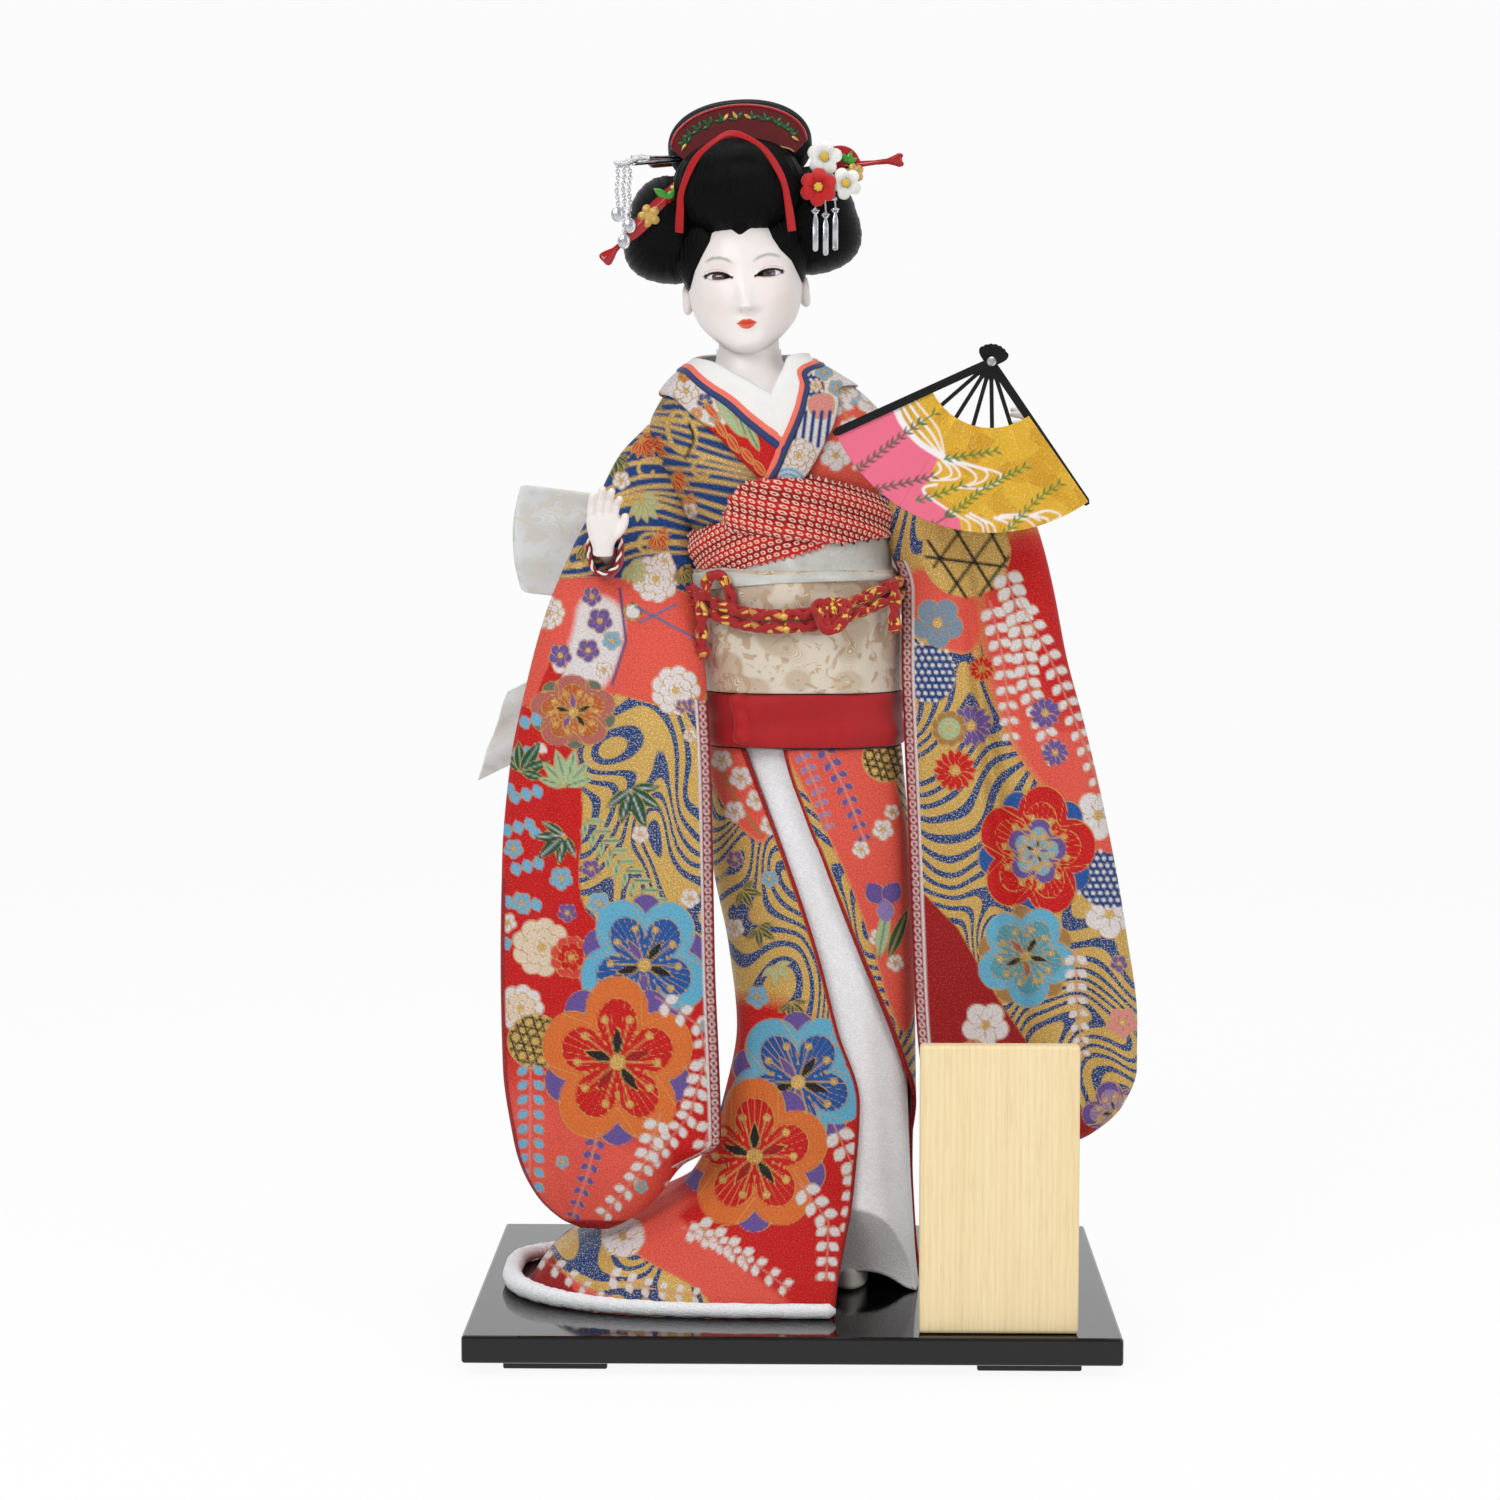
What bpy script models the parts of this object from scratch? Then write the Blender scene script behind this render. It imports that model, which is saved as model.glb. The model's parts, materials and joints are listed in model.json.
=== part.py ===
"""A standing costume doll with a folding fan on a lacquered stand. Metres, +Z up, front towards -Y.

The fan side is +X and the free side is -X. Run it with blender --background --python part.py.
"""

import math

import bmesh
import bpy
from mathutils import Matrix, Vector

# ---------------------------------------------------------------- shared
seat_gap = 0.0003
cut_overrun = 0.002

# Stand
board_width = 0.270
board_depth = 0.210
board_thickness = 0.0115
board_bevel = 0.0012
foot_width = 0.043
foot_depth = 0.036
foot_height = 0.005
foot_bevel = 0.0008
foot_inset_x = 0.016
foot_inset_y = 0.012

# Name plate
plate_width = 0.065
plate_height = 0.119
plate_thickness = 0.008
plate_bevel = 0.0014
plate_side_inset = 0.018
plate_setback = 0.006

# Body: the surface that the clothes are laid on
waist_height = 0.2505
collar_height = 0.417
body_centre_y = 0.005
body_half_width = 0.054
body_half_depth = 0.033
bodice_thickness = 0.003
core_ease = 0.0008
body_room_ease = 0.0006
body_steps = 9
core_steps = 8
# height share, centre share of half width, half width share, half depth share
body_shares = (
    (0.00, 0.09, 0.74, 0.91),
    (0.15, 0.06, 0.74, 0.91),
    (0.52, -0.04, 0.76, 0.94),
    (0.69, -0.15, 0.88, 0.94),
    (0.81, -0.19, 0.96, 0.85),
    (0.90, -0.24, 0.80, 0.73),
    (0.96, -0.30, 0.58, 0.62),
    (1.00, -0.33, 0.40, 0.56),
)
body_squareness = 2.3

# Sash, waist band, scarf and cord
sash_height = 0.0235
sash_thickness = 0.0035
sash_fold_width = 0.007
sash_fold_thickness = 0.003
sash_fold_turn = math.radians(236)
band_height = 0.0520
band_thickness = 0.0050
scarf_thickness = 0.0065
scarf_lift = 0.0008
scarf_low_rise = 0.0110
scarf_high_rise = 0.0370
scarf_back_rise = 0.0180
cord_radius = 0.0026
cord_drop = 0.0110
cord_dip = 0.0075
cord_spacing = 0.0062
cord_tail_length = 0.026
cord_tip_radius = 0.0038
knot_half_width = 0.0085
knot_half_height = 0.0075
knot_half_depth = 0.0045
knot_turn = math.radians(272)

# Skirts
skirt_centre_x = 0.010
skirt_half_width = 0.047
skirt_half_depth = 0.032
skirt_thickness = 0.0022
train_reach = 0.128
train_front = 0.076
hem_lift = 0.0004
skirt_steps = 11
under_ease = 0.0020
# height share, left share of train reach, right share of half width,
# front share of train front, back share of half depth
skirt_shares = (
    (1.00, 0.365, 0.79, 0.395, 1.00),
    (0.81, 0.360, 0.87, 0.420, 1.02),
    (0.62, 0.300, 0.91, 0.400, 1.04),
    (0.48, 0.275, 0.92, 0.405, 1.06),
    (0.35, 0.320, 0.93, 0.470, 1.10),
    (0.20, 0.440, 0.95, 0.640, 1.22),
    (0.125, 0.700, 0.97, 0.780, 1.32),
    (0.060, 0.920, 0.99, 0.920, 1.42),
    (0.000, 1.000, 1.02, 1.000, 1.50),
)
# height share, front edge of the left panel and of the right panel, as x shares of half width
skirt_edge_shares = (
    (1.00, -0.68, -0.34),
    (0.81, -0.30, 0.02),
    (0.62, 0.02, 0.40),
    (0.48, 0.20, 0.70),
    (0.35, 0.40, 0.90),
    (0.20, 0.34, 1.05),
    (0.060, 0.20, 1.10),
    (0.000, 0.16, 1.12),
)
under_front_back = 0.0460
under_left = 0.0600
hem_roll_radius = 0.0030
hem_roll_rise = 0.0040

# Legs and feet
leg_radius = 0.0075
leg_clearance = 0.0006
leg_height = 0.085
fan_leg_x = 0.024
fan_leg_y = 0.004
free_leg_x = -0.008
free_leg_y = 0.014
sole_length = 0.044
sole_half_width = 0.0085
ankle_height = 0.024
toe_height = 0.0085

# Arms and hands
arm_radius = 0.0055
wrist_radius = 0.0036
palm_length = 0.0135
palm_half_width = 0.0056
palm_half_thickness = 0.0027
finger_length = 0.0155
finger_radius = 0.00150
thumb_length = 0.0120
arm_bore_clearance = 0.0006
cuff_length = 0.020
cuff_radius = 0.0110
cuff_thickness = 0.0016
shoulder_x = 0.043
shoulder_z = 0.386
# places from the waist's middle on the body's line: across, forward, up
free_elbow_from_waist = (-0.0760, 0.004, 0.0735)
free_wrist_from_waist = (-0.0800, -0.036, 0.0865)
fan_elbow_from_waist = (0.0860, 0.002, 0.0825)
fan_wrist_from_waist = (0.1022, -0.0414, 0.1255)

# Sleeves: hanging bags with their main folds
free_sleeve_top = 0.388
free_sleeve_drop = 0.342
free_sleeve_width = 0.090
free_sleeve_depth = 0.030
fan_sleeve_top = 0.394
fan_sleeve_drop = 0.320
fan_sleeve_width = 0.098
fan_sleeve_depth = 0.032
sleeve_fold_depth = 0.0060
# drop share, outer x and inner x shares of width from the body line,
# y share of depth at the outer and inner edge, half thickness share of depth, fold share
free_sleeve_line = -0.036
free_sleeve_shares = (
    (0.000, 0.30, 0.12, 0.10, 0.10, 0.16, 0.0),
    (0.040, 0.44, 0.10, 0.05, 0.10, 0.36, 0.0),
    (0.100, 0.55, 0.08, -0.20, 0.05, 0.48, 0.1),
    (0.160, 0.66, 0.06, -0.60, -0.10, 0.46, 0.3),
    (0.240, 0.78, 0.04, -0.80, -0.45, 0.42, 0.5),
    (0.330, 0.87, 0.01, -0.90, -0.80, 0.40, 0.7),
    (0.420, 0.94, -0.01, -0.95, -0.95, 0.38, 0.9),
    (0.540, 0.98, -0.02, -1.00, -1.00, 0.36, 1.0),
    (0.680, 0.99, -0.03, -1.00, -1.00, 0.34, 1.0),
    (0.800, 0.98, -0.05, -1.05, -1.00, 0.32, 1.0),
    (0.890, 0.93, -0.06, -1.10, -1.00, 0.30, 0.9),
    (0.920, 0.90, 0.12, -1.10, -1.05, 0.28, 0.8),
    (0.960, 0.82, 0.24, -1.10, -1.10, 0.24, 0.6),
    (0.990, 0.70, 0.38, -1.10, -1.10, 0.18, 0.4),
    (1.000, 0.62, 0.46, -1.10, -1.10, 0.10, 0.3),
)
fan_sleeve_line = 0.046
fan_sleeve_shares = (
    (0.000, -0.22, 0.06, 0.00, 0.00, 0.26, 0.0),
    (0.030, -0.22, 0.26, 0.00, 0.00, 0.40, 0.0),
    (0.070, -0.20, 0.44, 0.00, -0.20, 0.46, 0.0),
    (0.120, -0.16, 0.54, 0.00, -0.50, 0.50, 0.1),
    (0.170, -0.08, 0.60, -0.10, -0.70, 0.50, 0.3),
    (0.240, 0.00, 0.66, -0.30, -0.60, 0.46, 0.6),
    (0.330, 0.00, 0.72, -0.45, -0.55, 0.42, 0.8),
    (0.420, 0.01, 0.80, -0.55, -0.55, 0.40, 1.0),
    (0.550, 0.03, 0.90, -0.60, -0.55, 0.38, 1.0),
    (0.700, 0.05, 0.99, -0.60, -0.55, 0.36, 1.0),
    (0.820, 0.07, 1.04, -0.60, -0.55, 0.34, 1.0),
    (0.880, 0.09, 1.04, -0.60, -0.55, 0.32, 0.9),
    (0.930, 0.12, 0.98, -0.60, -0.55, 0.30, 0.8),
    (0.970, 0.18, 0.84, -0.60, -0.55, 0.24, 0.6),
    (0.992, 0.30, 0.66, -0.60, -0.55, 0.16, 0.4),
    (1.000, 0.38, 0.56, -0.60, -0.55, 0.10, 0.3),
)
sleeve_folds = 3.5
free_fold_phase = 0.6
fan_fold_phase = 2.2

# Collars
under_collar_width = 0.0065
under_collar_thickness = 0.0016
stripe_width = 0.0020
stripe_thickness = 0.0012
robe_collar_width = 0.0120
robe_collar_thickness = 0.0014
collar_lift = 0.0012
under_collar_low_share = 0.855
stripe_low_share = 0.760
navy_low_share = 0.740
robe_collar_low_share = 0.665

# Head
neck_x = -0.0195
neck_radius = 0.0140
neck_flare_radius = 0.0178
neck_flare_height = 0.0100
neck_stick_radius = 0.0040
neck_stick_length = 0.0300
neck_clearance = 0.0012
head_x = -0.0210
head_y = 0.0060
head_z = 0.4460
head_tilt = math.radians(-3.8)
head_turn_height = 0.405
head_half_width = 0.0245
head_drop = 0.0282
head_rise = 0.0360
head_front = 0.0250
head_back = 0.0300
# height share, half width share, front share, back share
head_shares = (
    (-1.00, 0.10, 0.70, -0.40),
    (-0.94, 0.30, 0.84, -0.25),
    (-0.84, 0.48, 0.91, 0.05),
    (-0.70, 0.66, 0.95, 0.35),
    (-0.48, 0.86, 0.98, 0.62),
    (-0.20, 0.97, 1.00, 0.84),
    (0.05, 1.00, 0.99, 0.95),
    (0.30, 1.00, 0.96, 1.00),
    (0.55, 0.90, 0.86, 0.95),
    (0.78, 0.68, 0.64, 0.74),
    (0.93, 0.38, 0.34, 0.44),
    (1.00, 0.10, 0.08, 0.14),
)
# x share of half width, z share of drop, relief share of half width, widths in x, z up and z down
face_relief_shares = (
    (0.00, -0.31, 0.200, 0.125, 0.360, 0.080),
    (0.00, -0.30, 0.050, 0.250, 0.080, 0.080),
    (-0.47, 0.22, -0.070, 0.230, 0.150, 0.150),
    (0.47, 0.22, -0.070, 0.230, 0.150, 0.150),
    (0.00, -0.500, 0.060, 0.180, 0.050, 0.040),
    (0.00, -0.585, 0.060, 0.150, 0.035, 0.050),
    (0.00, -0.830, 0.045, 0.260, 0.100, 0.100),
    (-0.52, -0.22, 0.040, 0.280, 0.240, 0.240),
    (0.52, -0.22, 0.040, 0.280, 0.240, 0.240),
)
eye_x = 0.0113
eye_z = 0.0054
eye_half_width = 0.0056
eye_half_height = 0.0021
eye_half_depth = 0.0030
eye_sink = 0.0018
ear_half_width = 0.0022
ear_half_depth = 0.0040
ear_half_height = 0.0066
ear_y = 0.0060

# Hair, in the head's own frame
front_roll_z = 0.0430
front_roll_y = -0.0065
front_roll_half_width = 0.0245
front_roll_half_depth = 0.0215
front_roll_half_height = 0.0205
crown_y = 0.0120
crown_z = 0.0240
crown_half_width = 0.0290
crown_half_depth = 0.0300
crown_half_height = 0.0310
wing_x = 0.0325
wing_y = 0.0060
wing_z = 0.0255
wing_half_width = 0.0175
wing_half_depth = 0.0200
wing_half_height = 0.0235
wing_lean = math.radians(12)
nape_y = 0.0300
nape_z = 0.0000
nape_half_width = 0.0200
nape_half_depth = 0.0150
nape_half_height = 0.0210
hair_ease = 0.0009
knot_x = 0.0015
knot_y = 0.0110
knot_z = 0.0615
knot_radius_x = 0.0310
knot_radius_y = 0.0175
knot_radius_z = 0.0195
comb_half_width = 0.0290
comb_rise = 0.0165
comb_z = 0.0605
comb_band = 0.0120
comb_thickness = 0.0028
comb_y = -0.0088
ribbon_radius = 0.0014
ribbon_lift = 0.0004
ribbon_top_share = 1.10
ribbon_end_share = -0.78
bar_half_length = 0.0400
bar_radius = 0.0024
bar_z = 0.0570
bar_y = 0.0130

# Hair ornaments, in the head's own frame
blade_length = 0.0400
blade_root_width = 0.0030
blade_width = 0.0092
blade_tail_length = 0.0100
blade_tail_width = 0.0064
blade_thickness = 0.0014
blade_root = (-0.0220, -0.0095, 0.0470)
blade_tip = (-0.0587, -0.0170, 0.0150)
disc_radius = 0.0088
disc_thickness = 0.0014
disc_arm_length = 0.0185
disc_arm_width = 0.0022
disc_flare_length = 0.0070
disc_flare_width = 0.0060
disc_place = (0.0436, -0.0050, 0.0486)
disc_turn = math.radians(2)
flower_thickness = 0.0016
flower_white_radius = 0.0073
flower_red_radius = 0.0077
flower_places = (
    (0.0372, -0.0150, 0.0520),
    (0.0338, -0.0178, 0.0395),
    (0.0455, -0.0150, 0.0405),
)
flower_stem_radius = 0.0008
flower_root = (0.0385, -0.0118, 0.0455)
flower_anchor = (0.0330, 0.0000, 0.0380)
flower_petals = 5
pendant_ring_radius = 0.0017
pendant_wire = 0.00045
pendant_length = 0.0165
pendant_half_width = 0.0008
pendant_half_thickness = 0.0003
pendant_places = (
    (0.0320, -0.0156, 0.0300),
    (0.0362, -0.0156, 0.0280),
    (0.0404, -0.0156, 0.0298),
)
pin_radius = 0.0009
pin_tip = (-0.0205, 0.0040, 0.0570)
pin_head = (-0.0440, -0.0170, 0.0560)
pin_bar_half_length = 0.0070
tassel_ring_radius = 0.0016
tassel_length = 0.0300
tassel_disc_radius = 0.0026
tassel_disc_thickness = 0.0009
tassel_wire = 0.0007
tassel_spread = 0.0030

# Fan
# from the wrist that holds it: across, forward, up
fan_pivot_from_wrist = (-0.0212, -0.0236, 0.0370)
fan_radius = 0.0710
fan_leaf_inner = 0.0270
fan_open_angle = math.radians(204.4)
fan_held_angle = math.radians(304.5)
fan_inner_ribs = 5
fan_slat_pitch = 0.0009
fan_rib_thickness = 0.0005
fan_guard_thickness = 0.0008
fan_rib_width = 0.0017
fan_guard_width = 0.0034
fan_head_length = 0.0075
fan_head_width = 0.0044
fan_rivet_radius = 0.0009
fan_rivet_hole = 0.00125
fan_rivet_head = 0.0019
fan_rivet_head_thickness = 0.0006
fan_leaf_thickness = 0.0004
fan_pleat_depth = 0.0012
fan_leaf_margin = 0.0010

# Bow behind the waist band
bow_knot_half_width = 0.0150
bow_knot_half_height = 0.0180
bow_knot_half_depth = 0.0080
bow_loop_length = 0.1250
bow_fan_loop_length = 0.0600
bow_loop_width = 0.0480
bow_loop_thickness = 0.0080
bow_loop_rise = 0.0150
bow_tail_length = 0.1500
bow_tail_width = 0.0400
bow_tail_thickness = 0.0040
bow_height = 0.3230
bow_sink = 0.0011

# ---------------------------------------------------------------- worked out
board_bottom = foot_height + seat_gap
board_top = board_bottom + board_thickness
body_rise = collar_height - waist_height
skirt_top = waist_height - seat_gap
skirt_bottom = board_top + hem_lift
skirt_drop = skirt_top - skirt_bottom
band_bottom = waist_height + sash_height + seat_gap
band_top = band_bottom + band_height
scarf_bottom = band_top + seat_gap
free_elbow = (free_elbow_from_waist[0], free_elbow_from_waist[1], waist_height + free_elbow_from_waist[2])
free_wrist = (free_wrist_from_waist[0], free_wrist_from_waist[1], waist_height + free_wrist_from_waist[2])
fan_elbow = (fan_elbow_from_waist[0], fan_elbow_from_waist[1], waist_height + fan_elbow_from_waist[2])
fan_wrist = (fan_wrist_from_waist[0], fan_wrist_from_waist[1], waist_height + fan_wrist_from_waist[2])
fan_pivot = tuple(place + away for place, away in zip(fan_wrist, fan_pivot_from_wrist))

PARTS = "costume_doll"
CUTTERS = "cutters"


# ---------------------------------------------------------------- helpers
def clear_scene():
    for item in list(bpy.data.objects):
        bpy.data.objects.remove(item, do_unlink=True)
    for name in (PARTS, CUTTERS):
        group = bpy.data.collections.new(name)
        bpy.context.scene.collection.children.link(group)


def material(name, colour, roughness, metallic=0.0):
    found = bpy.data.materials.get(name)
    if found:
        return found
    made = bpy.data.materials.new(name)
    made.use_nodes = True
    shader = made.node_tree.nodes["Principled BSDF"]
    shader.inputs["Base Color"].default_value = (*colour, 1.0)
    shader.inputs["Roughness"].default_value = roughness
    shader.inputs["Metallic"].default_value = metallic
    made.diffuse_color = (*colour, 1.0)
    return made


def add(name, data, finish=None, parent=None, smooth=True):
    item = bpy.data.objects.new(name, data)
    bpy.data.collections[PARTS].objects.link(item)
    if finish:
        data.materials.append(finish)
    if smooth and isinstance(data, bpy.types.Mesh):
        data.shade_smooth()
        data.set_sharp_from_angle(angle=math.radians(40))
    item.parent = parent
    return item


def as_cutter(item):
    bpy.data.collections[PARTS].objects.unlink(item)
    bpy.data.collections[CUTTERS].objects.link(item)
    item.hide_render = True
    item.display_type = "WIRE"
    return item


def empty(name, place, parent=None, turn=(0, 0, 0)):
    item = bpy.data.objects.new(name, None)
    bpy.data.collections[PARTS].objects.link(item)
    item.location = place
    item.rotation_euler = turn
    item.parent = parent
    return item


def mesh_from(name, build):
    shape = bmesh.new()
    build(shape)
    bmesh.ops.recalc_face_normals(shape, faces=shape.faces)
    data = bpy.data.meshes.new(name)
    shape.to_mesh(data)
    shape.free()
    return data


def smooth_row(table, height):
    """A row of the table at this height, on a smooth curve through its rows."""
    rows = sorted(table)
    if height <= rows[0][0]:
        return list(rows[0])
    if height >= rows[-1][0]:
        return list(rows[-1])
    at = max(i for i in range(len(rows) - 1) if rows[i][0] <= height)
    low, high = rows[at], rows[at + 1]
    span = high[0] - low[0]
    share = (height - low[0]) / span
    before = rows[at - 1] if at > 0 else low
    after = rows[at + 2] if at + 2 < len(rows) else high
    out = [height]
    for column in range(1, len(low)):
        step = (high[column] - low[column]) / span
        first = (low[column] - before[column]) / (low[0] - before[0]) if at > 0 else step
        last = (after[column] - high[column]) / (after[0] - high[0]) if after is not high else step
        start = 0.0 if first * step <= 0 else 2 * first * step / (first + step)
        end = 0.0 if last * step <= 0 else 2 * last * step / (last + step)
        if at == 0:
            start = step
        if after is high:
            end = step
        a = 2 * share**3 - 3 * share**2 + 1
        b = share**3 - 2 * share**2 + share
        c = -2 * share**3 + 3 * share**2
        d = share**3 - share**2
        out.append(a * low[column] + b * span * start + c * high[column] + d * span * end)
    return out


def rounded(turn, squareness):
    """The unit point of a superellipse at this turn."""
    x = math.cos(turn)
    y = math.sin(turn)
    power = 2.0 / squareness
    return (
        math.copysign(abs(x) ** power, x),
        math.copysign(abs(y) ** power, y),
    )


def loft_mesh(name, rings, ends=True, closed=True):
    """Faces between rings of as many points each. With ends, the first and last ring are capped."""

    def build(shape):
        rows = [[shape.verts.new(point) for point in ring] for ring in rings]
        count = len(rows[0])
        steps = count if closed else count - 1
        for low, high in zip(rows, rows[1:]):
            for i in range(steps):
                j = (i + 1) % count
                shape.faces.new((low[i], low[j], high[j], high[i]))
        if ends:
            shape.faces.new(list(reversed(rows[0])))
            shape.faces.new(rows[-1])

    return mesh_from(name, build)


def ellipsoid_mesh(name, half_sizes, segments=20, rings=12):
    def build(shape):
        bmesh.ops.create_uvsphere(shape, u_segments=segments, v_segments=rings, radius=1.0)
        bmesh.ops.transform(shape, matrix=Matrix.Diagonal((*half_sizes, 1.0)), verts=shape.verts)

    return mesh_from(name, build)


def ellipsoid(name, half_sizes, place, finish=None, parent=None, turn=(0, 0, 0), segments=20, rings=12):
    item = add(name, ellipsoid_mesh(name, half_sizes, segments, rings), finish, parent)
    item.location = place
    item.rotation_euler = turn
    return item


def block(name, size, place, finish, bevel=0.0, steps=2):
    def build(shape):
        bmesh.ops.create_cube(shape, size=1.0)
        bmesh.ops.transform(shape, matrix=Matrix.Diagonal((*size, 1.0)), verts=shape.verts)

    item = add(name, mesh_from(name, build), finish)
    item.location = place
    if bevel:
        edge = item.modifiers.new("edges", "BEVEL")
        edge.width = bevel
        edge.segments = steps
        edge.limit_method = "ANGLE"
    return item


def turned(name, profile, finish, parent=None, steps=24):
    """A Screw around Z of a profile that runs down its outer side, with both ends on the axis."""

    def build(shape):
        row = [shape.verts.new((radius, 0, height)) for radius, height in profile]
        for first, second in zip(row, row[1:]):
            shape.edges.new((first, second))

    item = add(name, mesh_from(name, build), finish, parent, smooth=False)
    screw = item.modifiers.new("turn", "SCREW")
    screw.steps = steps
    screw.render_steps = steps
    screw.use_merge_vertices = True
    screw.merge_threshold = 0.00001
    return item


def tube(name, points, radius, finish, parent=None, sides=2, cyclic=False, radii=None):
    curve = bpy.data.curves.new(name, "CURVE")
    curve.dimensions = "3D"
    curve.bevel_depth = radius
    curve.bevel_resolution = sides
    curve.use_fill_caps = True
    line = curve.splines.new("POLY")
    line.points.add(len(points) - 1)
    for i, point in enumerate(points):
        line.points[i].co = (*point, 1.0)
        line.points[i].radius = radii[i] if radii else 1.0
    line.use_cyclic_u = cyclic
    return add(name, curve, finish, parent)


def plate(name, outlines, thickness, finish, parent=None):
    """A flat outline, with any holes in it, in its own XY plane."""
    curve = bpy.data.curves.new(name, "CURVE")
    curve.dimensions = "2D"
    curve.fill_mode = "BOTH"
    curve.extrude = thickness / 2
    for outline in outlines:
        line = curve.splines.new("POLY")
        line.points.add(len(outline) - 1)
        for i, (x, y) in enumerate(outline):
            line.points[i].co = (x, y, 0, 1.0)
        line.use_cyclic_u = True
    return add(name, curve, finish, parent)


def to_mesh(item):
    """The same piece as a mesh, with the caps of its curve welded on."""
    bpy.context.view_layer.update()
    graph = bpy.context.evaluated_depsgraph_get()
    data = bpy.data.meshes.new_from_object(item.evaluated_get(graph))
    shape = bmesh.new()
    shape.from_mesh(data)
    bmesh.ops.remove_doubles(shape, verts=shape.verts, dist=0.000001)
    bmesh.ops.recalc_face_normals(shape, faces=shape.faces)
    shape.to_mesh(data)
    shape.free()
    name = item.name
    place = item.matrix_local.copy()
    parent = item.parent
    bpy.data.objects.remove(item, do_unlink=True)
    data.shade_smooth()
    data.set_sharp_from_angle(angle=math.radians(40))
    made = bpy.data.objects.new(name, data)
    bpy.data.collections[PARTS].objects.link(made)
    made.parent = parent
    made.matrix_local = place
    return made


def boolean(item, other, operation="DIFFERENCE", solver="EXACT"):
    change = item.modifiers.new(operation.lower(), "BOOLEAN")
    change.operation = operation
    change.solver = solver
    change.object = other
    return item


def spline(points, count):
    """Points along a smooth curve through the given ones."""
    ends = [Vector(points[0]) * 2 - Vector(points[1])]
    tail = [Vector(points[-1]) * 2 - Vector(points[-2])]
    line = ends + [Vector(point) for point in points] + tail
    out = []
    spans = len(points) - 1
    for i in range(count):
        along = i / (count - 1) * spans
        at = min(int(along), spans - 1)
        t = along - at
        a, b, c, d = line[at : at + 4]
        out.append(
            0.5
            * (
                2 * b
                + (c - a) * t
                + (2 * a - 5 * b + 4 * c - d) * t * t
                + (3 * b - a - 3 * c + d) * t**3
            )
        )
    return out


# ---------------------------------------------------------------- body surface
def body_row(height):
    share = (height - waist_height) / body_rise
    _, centre, width, depth = smooth_row(body_shares, share)
    return centre * body_half_width, width * body_half_width, depth * body_half_depth


def body_point(turn, height, lift=0.0):
    """A point on the dressed body, this far outside its surface. Turn 270 degrees is the front."""
    centre, width, depth = body_row(height)
    x, y = rounded(turn, body_squareness)
    return Vector((centre + (width + lift) * x, body_centre_y + (depth + lift) * y, height))


def core_top():
    return waist_height + seat_gap + (body_rise - seat_gap) * core_steps / body_steps


def body_ring(height, lift, count=24):
    return [body_point(2 * math.pi * i / count, height, lift) for i in range(count)]


def band_round_body(name, bottom, top, lift, thickness, finish, count=24, rows=2, crown=0.25):
    """A belt round the body. Bottom and top are functions of the turn."""
    rings = []
    turns = [2 * math.pi * i / count for i in range(count)]
    for step in range(rows + 1):
        share = step / rows
        bulge = thickness * (1 - crown + crown * math.sin(math.pi * share))
        rings.append([
            body_point(turn, bottom(turn) + (top(turn) - bottom(turn)) * share, lift + bulge)
            for turn in turns
        ])
    for step in range(rows, -1, -1):
        share = step / rows
        rings.append([
            body_point(turn, bottom(turn) + (top(turn) - bottom(turn)) * share, lift)
            for turn in turns
        ])
    rings.append(rings[0])
    data = loft_mesh(name, rings[:-1], ends=False)
    shape = bmesh.new()
    shape.from_mesh(data)
    shape.verts.ensure_lookup_table()
    last = len(rings) - 2
    for i in range(count):
        j = (i + 1) % count
        shape.faces.new((
            shape.verts[last * count + i],
            shape.verts[last * count + j],
            shape.verts[j],
            shape.verts[i],
        ))
    bmesh.ops.recalc_face_normals(shape, faces=shape.faces)
    shape.to_mesh(data)
    shape.free()
    return add(name, data, finish)


# ---------------------------------------------------------------- stand
def make_stand():
    lacquer = material("black_lacquer", (0.01, 0.01, 0.012), 0.08)
    board = (board_width, board_depth, board_thickness)
    block("stand_board", board, (0, 0, board_bottom + board_thickness / 2), lacquer, board_bevel)
    reach_x = board_width / 2 - foot_inset_x - foot_width / 2
    reach_y = board_depth / 2 - foot_inset_y - foot_depth / 2
    for end, y in (("front", -reach_y), ("back", reach_y)):
        for side, x in (("free", -reach_x), ("fan", reach_x)):
            size = (foot_width, foot_depth, foot_height)
            place = (x, y, foot_height / 2)
            block(f"stand_foot_{end}_{side}", size, place, lacquer, foot_bevel)


def make_name_plate():
    wood = material("bare_wood", (0.80, 0.66, 0.44), 0.55)
    size = (plate_width, plate_thickness, plate_height)
    y = -board_depth / 2 + plate_setback + plate_thickness / 2
    z = board_top + seat_gap + plate_height / 2
    item = block("name_plate", size, (0, 0, 0), wood, plate_bevel)
    x = board_width / 2 - plate_side_inset - plate_width / 2
    item.location = (x, y, z)


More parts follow.
